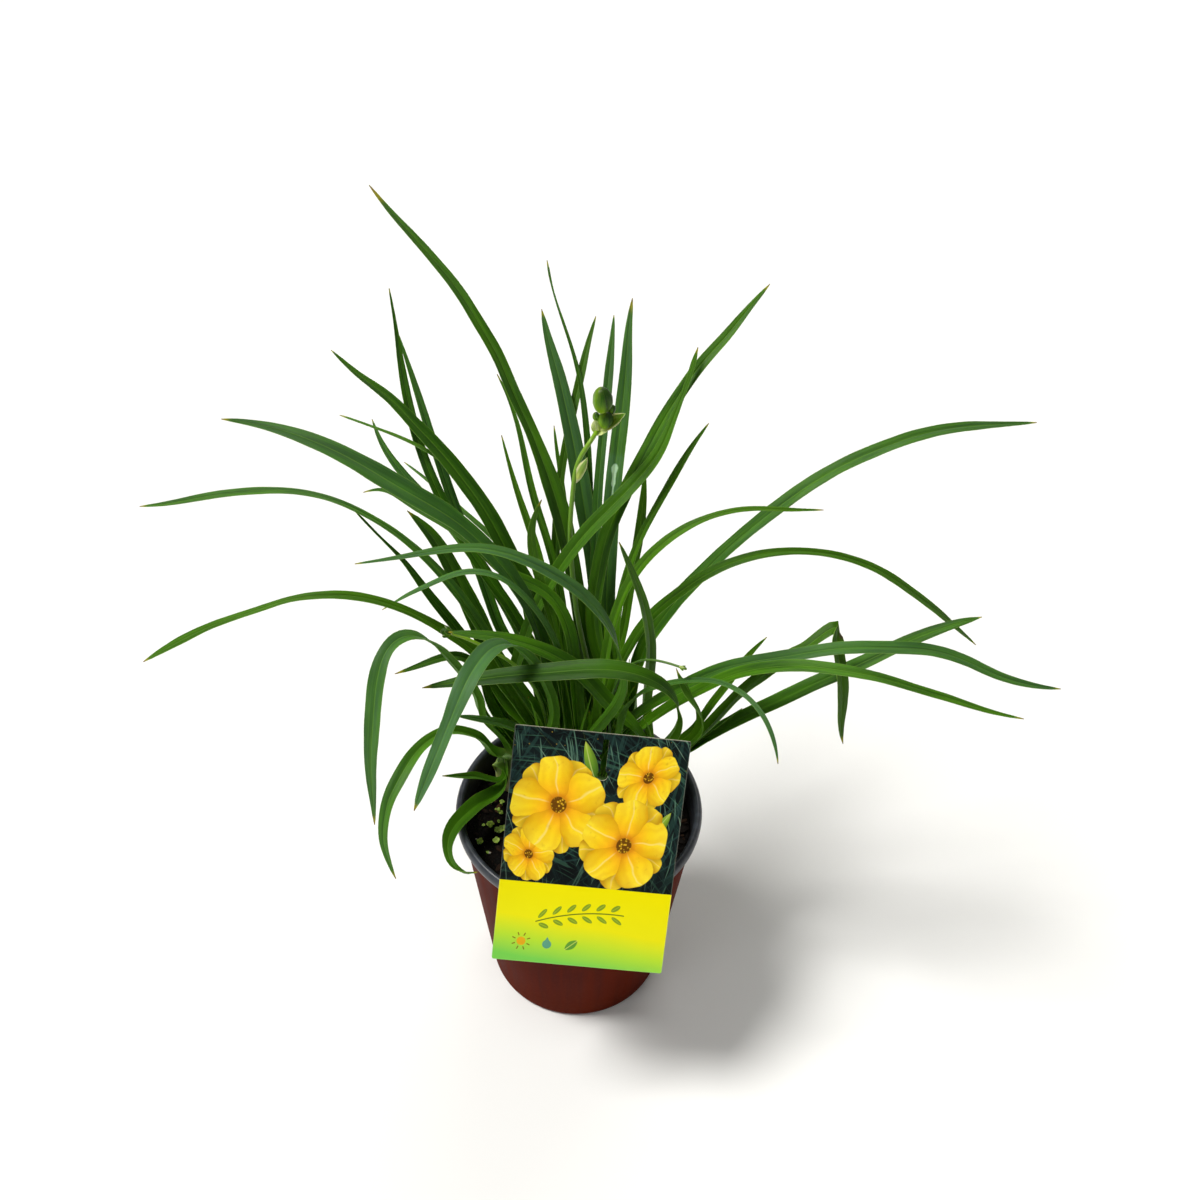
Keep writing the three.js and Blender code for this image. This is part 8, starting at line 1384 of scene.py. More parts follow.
def bud_material():
    """leaf = (around, height 0-1, crease, chance)."""
    n = Net("daylily_bud")
    a, h, crease, chance = n.attr("leaf")
    tone, _, _, _ = n.attr("tone")
    rib = n.noise(n.xyz(a * 42.0, h * 2.2, chance * 13.0), 1.0, 2.0, 0.5)
    soft = n.noise(n.xyz(a * 5.0, h * 4.0, chance * 7.0), 1.0, 3.0, 0.6)
    c = n.ramp(h + (soft - 0.5) * 0.22, [(0.0, lin("#a6c232")), (0.2, lin("#76a00c")), (0.5, lin("#487a09")), (0.72, lin("#25540b")), (0.88, lin("#12380a")), (1.0, lin("#0a260a"))])
    c = n.mix(n.step(rib, 0.42, 0.72) * 0.4, c, lin("#95b935"))
    c = n.mix(crease * 0.75, c, lin("#1f3f08"))
    # painted shade on the +X flank and painted light on the -X flank of the bud
    c = n.mix(n.step(tone, 0.05, 0.7) * 0.72, c, lin("#1c3d06"))
    c = n.mix(n.step(tone, -0.15, -0.9) * 0.42, c, lin("#7fa812"))
    return n.finish(c, n.step(soft, 0.2, 0.8, 0.3, 0.45), n.bump(rib * 0.6 + soft * 0.4, 0.35, 0.0003), Specular_IOR_Level=0.2, Subsurface_Weight=0.12, Subsurface_Radius=(1.0, 1.4, 0.3), Subsurface_Scale=0.0015)


def bract_material():
    """leaf = (across, along 0-1, papery, chance)."""
    n = Net("daylily_bract")
    w01, h, papery, chance = n.attr("leaf")
    aw = (w01 * 2.0 - 1.0).abs()
    vein = n.noise(n.xyz(w01 * 34.0, h * 1.8, chance * 19.0), 1.0, 2.0, 0.6)
    soft = n.noise(n.xyz(w01 * 4.0, h * 3.0, chance * 23.0), 1.0, 3.0, 0.6)
    green = n.mix(n.step(h + (soft - 0.5) * 0.4, 0.1, 0.75), lin("#c6d35a"), lin("#6b9a12"))
    c = n.mix(n.step(aw + (soft - 0.5) * 0.25, 0.55, 0.88), green, lin("#e2e4a8"))
    c = n.mix(n.step(h + (soft - 0.5) * 0.2, 0.22, 0.04) * 0.7, c, lin("#e9ecc0"))
    c = n.mix(papery, c, n.mix(n.step(soft, 0.35, 0.7), lin("#dcdfae"), lin("#b4c560")))
    c = n.mix(n.step(vein, 0.5, 0.75) * 0.3, c, lin("#98ae3c"))
    return n.finish(c, n.step(soft, 0.2, 0.8, 0.42, 0.6), n.bump(vein, 0.4, 0.0003), Subsurface_Weight=0.5, Subsurface_Radius=(1.2, 1.3, 0.7), Subsurface_Scale=0.0008)


def terracotta_material():
    """Terracotta-brown moulded plastic: satin, with drifting tone, rub marks, and dust low down."""
    n = Net("pot_terracotta_plastic")
    vec, (x, y, z) = n.place()
    ang = n.math("ARCTAN2", y, x)
    broad = n.noise(vec, 9.0, 2.0, 0.5)
    grain = n.noise(vec, 420.0, 2.0, 0.6)
    run = n.noise(n.xyz(ang * 9.0, z * 6.0, 2.0), 1.0, 3.0, 0.6)
    scuff = n.noise(n.xyz(ang * 14.0, z * 160.0, 7.0), 1.0, 4.0, 0.7)
    c = n.mix(n.step(broad * 0.5 + run * 0.5, 0.36, 0.64), lin("#480f03"), lin("#591a07"))
    c = n.mix(n.step(grain, 0.5, 0.8) * 0.1, c, lin("#7c3216"))
    c = n.mix(n.step(scuff, 0.62, 0.74) * 0.08, c, lin("#8a4c36"))
    dust = n.step(z + (run - 0.5) * 0.02, 0.045, 0.0)
    c = n.mix(dust * n.step(grain, 0.25, 0.7) * 0.08, c, lin("#7a4a32"))
    splash, _ = n.voronoi(n.xyz(ang * 11.0, z * 150.0, 1.0), 1.0)
    c = n.mix(n.step(splash, 0.13, 0.07) * n.step(run, 0.5, 0.62) * 0.5, c, lin("#3c2318"))
    rough = n.step(run, 0.25, 0.75, 0.48, 0.6) + dust * 0.1
    return n.finish(c, rough, n.bump(grain * 0.5 + scuff * 0.35 + run * 0.3, 0.12, 0.0006), Specular_IOR_Level=0.02)


def black_material():
    """The rim and the inside: slate-black plastic, satin on the rim, painted near black inside as shade, splashed with
    soil inside.
    """
    n = Net("pot_black_plastic")
    vec, (x, y, z) = n.place()
    r = (x * x + y * y).sqrt()
    ang = n.math("ARCTAN2", y, x)
    grain = n.noise(vec, 500.0, 2.0, 0.6)
    run = n.noise(n.xyz(ang * 12.0, z * 30.0, 4.0), 1.0, 3.0, 0.6)
    speck, _ = n.voronoi(vec, 360.0)
    soilmark = n.noise(vec, 120.0, 4.0, 0.7)
    c = n.mix(n.step(run, 0.3, 0.7), lin("#24272d"), lin("#353942"))
    c = n.mix(n.step(grain, 0.55, 0.8) * 0.25, c, lin("#4c5158"))
    inner = n.step(r, 0.0785, 0.0755)
    low = n.step(z, 0.160, 0.148)
    # painted shade: the inside of the pot darkened to near black
    c = n.mix(inner * 0.75, c, lin("#0c0d0e"))
    c = n.mix(inner * n.step(soilmark + low * 0.28, 0.62, 0.74) * 0.7, c, lin("#120c08"))
    c = n.mix(n.step(speck, 0.20, 0.12) * n.step(soilmark, 0.52, 0.62) * 0.45, c, lin("#5c4a36"))
    rough = n.step(run, 0.25, 0.75, 0.30, 0.44) + inner * 0.16
    return n.finish(c, rough, n.bump(grain * 0.5 + run * 0.4, 0.12, 0.0005), Specular_IOR_Level=0.35)


def soil_material(name="potting_mix", chip=False):
    n = Net(name)
    vec, (x, y, z) = n.place()
    fine = n.noise(vec, 900.0, 3.0, 0.65)
    mid = n.noise(vec, 240.0, 3.0, 0.6)
    fibre = n.noise(n.xyz(x * 260.0, y * 1500.0, z * 700.0), 1.0, 2.0, 0.6, 0.8)
    cell, tone = n.voronoi(vec, 330.0)
    if chip:
        tone = n.attr("leaf")[3]
        c = n.ramp(tone, [(0.0, lin("#0b0705")), (0.5, lin("#150d08")), (0.8, lin("#24170e")), (0.94, lin("#3d2818")), (1.0, lin("#6e5335"))])
        c = n.mix(n.step(fibre, 0.45, 0.7) * 0.5, c, lin("#0d0907"))
        c = n.mix(n.step(fine, 0.62, 0.8) * 0.25, c, lin("#4a3522"))
        return n.finish(c, n.step(mid, 0.2, 0.8, 0.72, 0.95), n.bump(fibre * 0.8 + fine * 0.5, 0.7, 0.0006), Specular_IOR_Level=0.12)
    c = n.ramp(tone * 0.6 + mid * 0.4, [(0.0, lin("#020202")), (0.45, lin("#060403")), (0.7, lin("#0b0705")), (0.9, lin("#140d08"))])
    c = n.mix(n.step(fibre, 0.6, 0.75) * 0.22, c, lin("#2c1f15"))
    c = n.mix(n.step(fine, 0.66, 0.8) * 0.16, c, lin("#3c2d1b"))
    height = fine * 0.4 + mid * 0.8 + n.step(cell, 0.6, 0.0) * 0.6
    return n.finish(c, n.step(mid, 0.2, 0.8, 0.75, 0.96), n.bump(height, 0.9, 0.0014), Specular_IOR_Level=0.1)


def seedling_material():
    n = Net("seedling_leaf")
    w01, t, upper, chance = n.attr("leaf")
    soft = n.noise(n.xyz(w01 * 5.0, t * 5.0, chance * 40.0), 1.0, 3.0, 0.6)
    c = n.mix(n.step(soft + chance * 0.3, 0.4, 0.85), lin("#5f8420"), lin("#a9c64a"))
    c = n.mix(n.step((w01 * 2.0 - 1.0).abs(), 0.16, 0.03) * 0.45, c, lin("#c2cf7c"))
    return n.finish(c, n.step(soft, 0.2, 0.8, 0.4, 0.6), n.bump(soft, 0.4, 0.0002), Subsurface_Weight=0.4, Subsurface_Radius=(1.0, 1.3, 0.4), Subsurface_Scale=0.0006)


def perlite_material():
    n = Net("perlite_grain")
    vec, _ = n.place()
    fine = n.noise(vec, 1400.0, 3.0, 0.7)
    c = n.mix(n.step(fine, 0.4, 0.7), lin("#b9b2a2"), lin("#e2ddd0"))
    return n.finish(c, n.step(fine, 0.2, 0.8, 0.7, 0.9), n.bump(fine, 0.8, 0.0004))


# ---- the printed card -------------------------------------------------------------------------------------
def blossom(n, base, x, z, cx, cz, size, turn, squash, lean, seed):
    """A round flower of five broad petals and a button centre painted over the colour base; x, z in mm."""
    ca, sa = math.cos(lean), math.sin(lean)
    dx, dz = x - cx, z - cz
    u, v = (dx * ca + dz * sa) / (size * squash), (dz * ca - dx * sa) / size
    ruffle = n.noise(n.xyz(u * 5.6, v * 5.6, seed), 1.0, 2.0, 0.6) - 0.5
    broad_wave = n.noise(n.xyz(u * 1.7, v * 1.7, seed + 4.0), 1.0, 1.0, 0.5) - 0.5
    r = (u * u + v * v).sqrt() * (1.0 + broad_wave * 0.22)
    th = n.math("ARCTAN2", v, u) + broad_wave * 0.6
    colour = base

    def petal(offset, wide, length, dark):
        a = ((th + offset) / (2 * math.pi) * 5.0 + 30.0).fract() - 0.5
        ang = a * (2 * math.pi / 5.0)
        across, along = r * ang.sin(), (r * ang.cos() / length).max(0.0001)
        half = (along**0.85) * ((1.0 - along).max(0.0) ** 0.42) * wide + ruffle * 0.06
        k = (across.abs() / half.max(0.001))
        mask = n.step(half - across.abs(), -0.006, 0.014) * n.step(along, 1.0, 0.985)
        c = n.ramp(along + ruffle * 0.12, [(0.0, lin("#b8660f")), (0.16, lin("#ec9a18")), (0.34, lin("#ffc01a")), (0.58, lin("#ffd61e")), (1.0, lin("#ffe436"))])
        vein = ((across * 95.0 / size * 10.0 + ruffle * 5.0).sin() * 0.5 + 0.5) * n.step(along, 0.15, 0.4)
        c = n.mix(vein * 0.2, c, lin("#e0930e"))
        c = n.mix(n.step(ruffle + along * 0.1, 0.16, 0.34) * 0.3, c, lin("#c47f0a"))
        c = n.mix(n.step(k, 0.09, 0.01) * n.step(along, 0.15, 0.35) * 0.4, c, lin("#fff09a"))
        side = n.step(across / half.max(0.001), -0.1, -1.0) * 0.5 + n.step(k, 0.8, 1.0) * 0.14
        c = n.mix(side, c, lin("#c98408"))
        c = n.mix(dark, c, lin("#b06f08"))
        return c, mask, half, across

    c2, m2, _, _ = petal(turn + math.pi / 5, 0.66, 0.97, 0.2)
    c1, m1, h1, a1 = petal(turn, 0.86, 0.95, 0.0)
    shadow = n.step(h1 - a1.abs(), -0.16, 0.02)
    drop = (m1.max(m2)).max(0.0)
    colour = n.mix(m2, colour, n.mix(shadow * 0.45, c2, lin("#8f5206")))
    colour = n.mix(m1, colour, c1)
    colour = n.mix(n.step(r, 0.30, 0.14) * 0.55, colour, lin("#c0700e"))
    button, _ = n.voronoi(n.xyz(u * 17.0, v * 17.0, seed), 1.0)
    centre = n.mix(n.step(button, 0.12, 0.5), lin("#f4c02a"), lin("#6b4207"))
    colour = n.mix(n.step(r, 0.175, 0.15), colour, centre)
    return colour, drop


def small_leaf(n, base, x, z, cx, cz, size, lean):
    ca, sa = math.cos(lean), math.sin(lean)
    dx, dz = x - cx, z - cz
    u, v = (dx * ca + dz * sa) / size, (dz * ca - dx * sa) / size
    half = ((v + 1.0).max(0.0) ** 0.6) * ((1.0 - v).max(0.0) ** 0.9) * 0.30
    mask = n.step(half - u.abs(), -0.01, 0.02)
    c = n.ramp(v * 0.5 + 0.5, [(0.0, lin("#3b5f1e")), (0.3, lin("#5a8527")), (0.75, lin("#86aa33")), (1.0, lin("#b3c04a"))])
    c = n.mix(n.step((u / half.max(0.001)), 0.1, 0.9) * 0.5, c, lin("#2c4a16"))
    c = n.mix(n.step((u / half.max(0.001) + 0.2).abs(), 0.16, 0.04) * 0.6, c, lin("#c9d27a"))
    return n.mix(mask, base, c)


def card_front_material():
    """The card's print: yellow blossoms over dark foliage, above a plain yellow-to-lime band with small garden
    pictograms. card = (x, z) in mm / 100 + 0.5."""
    n = Net("picture_tag_print")
    a, b, _, _ = n.attr("card")
    x, z = (a - 0.5) * 200.0, (b - 0.5) * 200.0
    # dark, out-of-focus foliage: streaks at several slants
    base = n.mix(n.step(n.noise(n.xyz(x * 0.045, z * 0.045, 1.0), 1.0, 2.0), 0.35, 0.65), lin("#04090b"), lin("#0e1a1b"))
    for i, (deg, cut, tone, wide) in enumerate([(28, 0.53, "#1b3330", 0.34), (-38, 0.57, "#27443d", 0.42), (64, 0.60, "#3d6450", 0.52), (-12, 0.63, "#628a74", 0.62), (-70, 0.64, "#2a4742", 0.5), (12, 0.675, "#7d9c84", 0.8), (-25, 0.64, "#20383a", 0.9)]):
        c, s = math.cos(math.radians(deg)), math.sin(math.radians(deg))
        p, q = x * c + z * s, z * c - x * s
        f = n.noise(n.xyz((p + q * q * 0.004) * wide, q * 0.028, 11.0 * i + 3.0), 1.0, 1.0, 0.5)
        base = n.mix(n.step(f, cut, cut + 0.04) * 0.56, base, lin(tone))
    far, _ = n.voronoi(n.xyz(x * 0.22, z * 0.22, 8.0), 1.0)
    base = n.mix(n.step(far, 0.13, 0.07) * n.step(z, 40.0, 66.0) * 0.6, base, lin("#a98a2c"))
    base = n.mix(n.step(z, 2.0, -22.0) * 0.62, base, lin("#070d0f"))
    base = small_leaf(n, base, x, z, -6.0, 58.0, 12.0, 0.35)
    base = small_leaf(n, base, x, z, -17.0, 52.0, 10.0, 0.8)
    base = small_leaf(n, base, x, z, 41.0, 20.0, 11.0, -0.5)
    for args in [(-37.0, -5.0, 19.0, 0.9, 0.82, 0.5, 3.0), (30.0, 50.0, 23.0, 2.2, 0.8, -0.45, 12.0), (-22.0, 28.0, 32.0, 0.35, 0.94, 0.2, 21.0), (20.0, 6.0, 31.0, 1.35, 0.9, -0.35, 33.0)]:
        base, drop = blossom(n, base, x, z, *args)
    # printed half-tone unevenness
    base = n.mix(n.step(n.noise(n.xyz(x * 3.0, z * 3.0, 2.0), 1.0, 2.0), 0.45, 0.75) * 0.012, base, lin("#fff6d0"))
    # band: yellow to lime
    drift = n.noise(n.xyz(x * 0.02, z * 0.02, 5.0), 1.0)
    band = n.ramp((-23.0 - z - x * 0.10) / 52.5 + (drift - 0.5) * 0.08, [(0.0, lin("#f2e500")), (0.50, lin("#eee714")), (0.76, lin("#b9e036")), (1.0, lin("#79cf52"))])
    ink, brown = lin("#4b6a1e"), lin("#7a5a1c")

    def stroke(colour, d, half, ink_colour, k=0.9):
        return n.mix(n.step(d, half + 0.14, half - 0.14) * k, colour, ink_colour)

    # sprig: a curved stem with paired leaflets
    px, pz = x + 2.0, z + 41.0
    ca, sa = math.cos(0.16), math.sin(0.16)
    u, v = px * ca + pz * sa, pz * ca - px * sa
    v = v + u * u * 0.0042
    along = (u.abs() - 27.0).max(0.0)
    band = stroke(band, (along * along + v * v).sqrt(), 0.4, ink)
    cell = ((u + 27.0) / 9.0).floor()
    lu, lv = u + 27.0 - cell * 9.0 - 4.5, v.abs() - 4.0
    e = ((lu * 0.80 + lv * 0.60) * (lu * 0.80 + lv * 0.60) * 0.085 + (lv * 0.80 - lu * 0.60) * (lv * 0.80 - lu * 0.60) * 0.52).sqrt()
    band = n.mix(n.step(e, 1.08, 0.96) * n.step(u.abs(), 27.0, 26.7) * 0.85, band, lin("#5f8a2a"))
    band = n.mix(n.step((lv * 0.80 - lu * 0.60).abs(), 0.26, 0.14) * n.step(e, 0.9, 0.8) * n.step(u.abs(), 27.0, 26.7) * 0.6, band, lin("#b9cf3a"))
    # sun disc with rays, drop, and a leaf
    sx, sz = x + 36.0, z + 62.0
    sr, sth = (sx * sx + sz * sz).sqrt(), n.math("ARCTAN2", sz, sx)
    band = n.mix(n.step(sr, 2.9, 2.65) * 0.9, band, lin("#e9a21c"))
    ray = n.step(((sth / (2 * math.pi) * 8.0 + 8.0).fract() - 0.5).abs() * sr * 0.785, 0.46, 0.24) * n.step(sr, 3.7, 3.9) * n.step(sr, 6.1, 5.9)
    band = n.mix(ray * 0.9, band, brown)
    dx, dz = x + 20.0, z + 62.8
    dr = (dx * dx + dz * dz).sqrt()
    cone = n.step(dx.abs() - (4.9 - dz) * 0.54, 0.12, -0.12) * n.step(dz, 1.2, 1.5) * n.step(dz, 4.9, 4.7)
    band = n.mix(n.step(dr, 2.95, 2.7).max(cone) * 0.85, band, lin("#3e8f8a"))
    gx, gz = (x + 5.0) * 0.74 + (z + 62.0) * 0.67, (z + 62.0) * 0.74 - (x + 5.0) * 0.67
    blade = (gx * gx * 0.045 + gz * gz * (0.16 + gx * gx * 0.006)).sqrt()
    band = n.mix(n.step(blade, 1.05, 0.95) * 0.85, band, lin("#3f8a3a"))
    band = n.mix(n.step(gz.abs(), 0.3, 0.16) * n.step(gx.abs(), 5.2, 5.0) * 0.8, band, lin("#d9e46a"))
    base = n.mix(n.step(z, -22.9, -23.1), base, band)
    # thin unprinted edge
    edge = n.step(x.abs(), 52.45, 52.6).max(n.step(z.abs(), 74.95, 75.1))
    base = n.mix(edge * 0.14, base, lin("#d0cdbb"))
    wave = n.noise(n.xyz(x * 0.03, z * 0.03, 9.0), 1.0, 1.0)
    rub = n.noise(n.xyz(x * 0.07, z * 0.07, 14.0), 1.0, 3.0, 0.6)
    return n.finish(base, n.step(rub, 0.35, 0.7, 0.42, 0.54), n.bump(wave, 0.2, 0.001), Specular_IOR_Level=0.05)


def card_back_material():
    n = Net("picture_tag_back")
    a, b, _, _ = n.attr("card")
    x, z = (a - 0.5) * 200.0, (b - 0.5) * 200.0
    soft = n.noise(n.xyz(x * 0.05, z * 0.05, 1.0), 1.0, 3.0, 0.6)
    c = n.mix(soft, lin("#e6e7dd"), lin("#f1f1e8"))
    frame_d = (x.abs() - 47.0).max(z.abs() - 69.5).abs()
    c = n.mix(n.step(frame_d, 0.55, 0.3) * 0.8, c, lin("#6f9a3c"))
    grime = n.noise(n.xyz(x * 0.3, z * 0.3, 3.0), 1.0, 4.0, 0.7)
    c = n.mix(n.step(grime, 0.62, 0.78) * 0.25, c, lin("#a39a80"))
    return n.finish(c, n.step(soft, 0.2, 0.8, 0.34, 0.46), n.bump(soft + grime * 0.1, 0.2, 0.0008))


def card_edge_material():
    n = Net("picture_tag_edge")
    vec, _ = n.place()
    f = n.noise(vec, 500.0, 2.0)
    return n.finish(n.mix(n.step(f, 0.35, 0.7), lin("#b9b59a"), lin("#d2cfb8")), n.step(f, 0.2, 0.8, 0.4, 0.55))


LEAF, SHEATH, STEM, BUD, BRACT = leaf_material(), sheath_material(), stem_material(), bud_material(), bract_material()
TERRACOTTA, BLACK = terracotta_material(), black_material()
MIX, CHIP, SEEDLING, PERLITE = soil_material(), soil_material("bark_chip", True), seedling_material(), perlite_material()
CARD_FRONT, CARD_BACK, CARD_EDGE = card_front_material(), card_back_material(), card_edge_material()

# ---- leaves ---------------------------------------------------------------------------------------------
ACROSS = np.array([-1, -0.93, -0.8, -0.64, -0.46, -0.29, -0.14, -0.05, 0, 0.05, 0.14, 0.29, 0.46, 0.64, 0.8, 0.93, 1.0])
# leaves with a grey glaucous tone that also carries painted sky sheen on their arches
GLAUCOUS_AND_SKY_SHEEN = {"middle_fan_leaf_1": 0.8, "middle_fan_leaf_2": 0.7, "back_fan_leaf_1": 0.8, "back_right_fan_leaf_1": 0.4, "back_right_fan_leaf_2": 0.4, "back_right_fan_leaf_5": 0.3, "front_left_fan_leaf_3": 0.3, "left_fan_leaf_4": 0.6, "left_fan_leaf_5": 0.5, "front_left_fan_leaf_6": 1.0, "middle_fan_leaf_9": 0.9, "middle_fan_leaf_7": 0.5, "front_left_fan_leaf_7": 0.7, "back_left_fan_leaf_4": 0.4, "back_left_fan_leaf_5": 0.5, "left_fan_leaf_6": 0.6, "front_left_fan_leaf_4": 0.3}
# leaves darkened by painted shade, and how deeply
PAINTED_SHADE = {"right_fan_leaf_1": 0.8, "back_fan_leaf_3": 0.55, "back_fan_leaf_1": 0.4, "back_left_fan_leaf_2": 0.2, "middle_fan_leaf_9": 0.3, "back_left_fan_leaf_1": 0.4, "right_fan_leaf_7": 0.5, "back_fan_leaf_4": 0.4, "right_fan_leaf_4": 0.4, "right_fan_leaf_2": 0.3, "back_fan_leaf_2": 0.3, "left_fan_leaf_7": 0.4, "back_right_fan_leaf_5": 0.2, "left_fan_leaf_3": 0.4}
OLIVE = {"front_left_fan_leaf_5": 0.5, "front_left_fan_leaf_1": 0.8, "front_left_fan_leaf_2": 0.6, "back_left_fan_leaf_1": 0.7, "back_right_fan_leaf_4": 0.5, "middle_fan_leaf_5": 0.6, "middle_fan_leaf_6": 0.4, "right_fan_leaf_3": 0.5, "right_fan_leaf_4": 0.6, "right_fan_leaf_5": 0.8, "right_fan_leaf_7": 0.8, "middle_fan_leaf_4": 0.7, "back_left_fan_leaf_6": 0.6, "left_fan_leaf_1": 0.4}
TIPS = {"back_fan_leaf_3": 15.0, "back_right_fan_leaf_2": 9.0, "right_fan_leaf_7": 5.0, "left_fan_leaf_4": 7.0, "left_fan_leaf_3": 6.0}


class Blade:
    """The smooth midrib, frame, width and fold of one leaf, in mm, against the arc length s from row 0."""

    def __init__(self, name):
        fan, root, rows = LEAVES[name]
        self.name, self.fan = name, fan
        rows = np.array(rows, float)
        self.rows, self.root = rows, np.array(root, float)
        self.si = np.r_[0, np.cumsum(np.linalg.norm(np.diff(rows[:, :3], axis=0), axis=1))]
        self.length = self.si[-1]
        self.rng = np.random.default_rng(seed_of(name))
        self.chance = float(self.rng.random())
        self.phase = self.rng.random(8) * 6.283
        self.lam = 26 + 26 * self.rng.random(4)
        self.tone = GLAUCOUS_AND_SKY_SHEEN.get(name, 0.0) - OLIVE.get(name, 0.0)
        self.shade = PAINTED_SHADE.get(name, 0.0)
        self.tip = TIPS.get(name, 1.5 + 3.5 * self.phase[5] / 6.283)

    def at(self, s):
        s = np.asarray(s, float)
        r, si = self.rows, self.si
        p = spline(s, si, r[:, :3])
        t = unit(spline(s + 0.4, si, r[:, :3]) - spline(s - 0.4, si, r[:, :3]))
        b = spline(s, si, r[:, 3:6])
        b = unit(b - (b * t).sum(1, keepdims=True) * t)
        hw = gentle(np.clip(s, 0, self.length), si, r[:, 6])
        fold = np.radians(gentle(np.clip(s, 0, self.length), si, r[:, 7]))
        return p, t, b, np.cross(t, b), hw, fold

    def surface(self, s, p, t, b, n, hw, fold, thin=1.0, narrow=1.0):
        """Rings over ACROSS: (upper, lower), each stations x across x 3."""
        w = ACROSS[None]
        e = 0.11
        v = (np.sqrt(w * w + e * e) - e) / (math.sqrt(1 + e * e) - e)
        rise = (hw * np.tan(fold))[:, None]
        lift = (v - 0.5) * rise + 0.055 * hw[:, None] * np.sin(np.pi * np.abs(w)) * (1 - 0.3 * v)
        live = np.clip((s - 45) / 40, 0, 1)[:, None] * np.clip((self.length - s) / 30, 0, 1)[:, None]
        left = np.sin(6.283 * s / self.lam[0] + self.phase[0]) + 0.6 * np.sin(6.283 * s / (self.lam[1] * 0.47) + self.phase[1])
        right = np.sin(6.283 * s / self.lam[2] + self.phase[2]) + 0.6 * np.sin(6.283 * s / (self.lam[3] * 0.47) + self.phase[3])
        ruffle = np.where(w < 0, left[:, None], right[:, None]) * np.abs(w) ** 2.2 * 0.034 * hw[:, None] * live
        pleat = 0.05 * np.cos(w * 18.0) * (1 - np.abs(w)) * np.clip(hw[:, None] / 5, 0, 1)
        fit = np.minimum(1.0, hw / 1.6)[:, None] * thin
        thick = (0.34 + 0.30 * (1 - np.abs(w))) * fit
        keel = 0.34 * np.exp(-((w / 0.085) ** 2)) * fit
        groove = 0.16 * np.exp(-((w / 0.07) ** 2)) * fit
        mid = lift + ruffle + pleat * fit
        place = lambda h: p[:, None] + b[:, None] * (w * hw[:, None] * narrow)[..., None] + n[:, None] * h[..., None]
        return place(mid + thick / 2 - groove), place(mid - thick / 2 - keel)

    def paint(self, s, upper):
        """Point colours for one face."""
        k, m = len(s), len(ACROSS)
        leaf = np.zeros((k, m, 4))
        leaf[..., 0] = ACROSS[None] * 0.5 + 0.5
        leaf[..., 1] = (s / self.length)[:, None]
        leaf[..., 2] = 1.0 if upper else 0.0
        leaf[..., 3] = self.chance
        spot = np.zeros((k, m, 4))
        spot[..., 0] = (s / 500)[:, None]
        spot[..., 1] = ((self.length - s) / 500)[:, None]
        spot[..., 2] = self.tip / 50
        if self.name == "back_right_fan_leaf_2":  # leaf-miner mark and a nick
            ss, w = s[:, None], ACROSS[None]
            mark = np.maximum(np.maximum(bell(ss, 194, 3.4) * bell(w, 0.05, 0.42), bell(ss, 186, 2.6) * bell(w, 0.02, 0.3)), bell(w, 0.02, 0.08) * (np.abs(ss - 178) < 14))
            spot[..., 3] = 2.0 * mark * upper - 1.2 * bell(ss, 206, 2.2) * bell(w, 1.0, 0.12)
        if self.name == "right_fan_leaf_7":  # bruised where it is bent over
            spot[..., 3] = -0.9 * (bell(s, 170, 2.4)[:, None] * bell(ACROSS, 0.75, 0.5)[None])
        tone = np.zeros((k, m, 4))
        tone[..., 0], tone[..., 1] = self.tone, self.shade
        if self.name == "back_right_fan_leaf_2":
            tone[..., 0] += 0.5 * np.clip((205 - s) / 3, 0, 1)[:, None]
        return leaf, spot, tone


def add_blade(build, upper, lower, paint_u, paint_l, s, mat=0):
    """One closed thin solid from its upper and lower faces."""
    k, m = upper.shape[:2]
    verts = np.concatenate([upper.reshape(-1, 3), lower.reshape(-1, 3)])
    off = k * m
    i, j = np.meshgrid(np.arange(k - 1), np.arange(m - 1), indexing="ij")
    a = (i * m + j).ravel()
    up = np.stack([a, a + m, a + m + 1, a + 1], 1)
    dn = np.stack([a, a + 1, a + m + 1, a + m], 1) + off
    e = np.arange(k - 1) * m
    left = np.stack([e, e + off, e + m + off, e + m], 1)
    r = e + m - 1
    right = np.stack([r, r + m, r + m + off, r + off], 1)
    c = np.arange(m - 1)
    start = np.stack([c, c + 1, c + 1 + off, c + off], 1)
    z = (k - 1) * m + c
    end = np.stack([z, z + off, z + 1 + off, z + 1], 1)
    faces = np.concatenate([up, dn, left, right, start, end])
    # face winding: outward for a right-handed (t, b, n) frame
    faces = faces[:, ::-1]
    sharp = []
    for q in (0, m - 1):
        for o in (0, off):
            sharp += [(o + x * m + q, o + (x + 1) * m + q) for x in range(k - 1)]
    for row in (0, k - 1):
        for o in (0, off):
            sharp += [(o + row * m + x, o + row * m + x + 1) for x in range(m - 1)]
    leaf = np.concatenate([paint_u[0].reshape(-1, 4), paint_l[0].reshape(-1, 4)])
    spot = np.concatenate([paint_u[1].reshape(-1, 4), paint_l[1].reshape(-1, 4)])
    extra = {"tone": np.concatenate([paint_u[2].reshape(-1, 4), paint_l[2].reshape(-1, 4)])} if len(paint_u) > 2 else {}
    build.add(verts, faces.tolist(), mat, sharp, leaf=leaf, spot=spot, **extra)


def stations(a, b, pitch=3.4):
    return np.linspace(a, b, max(6, int(round((b - a) / pitch)) + 1))


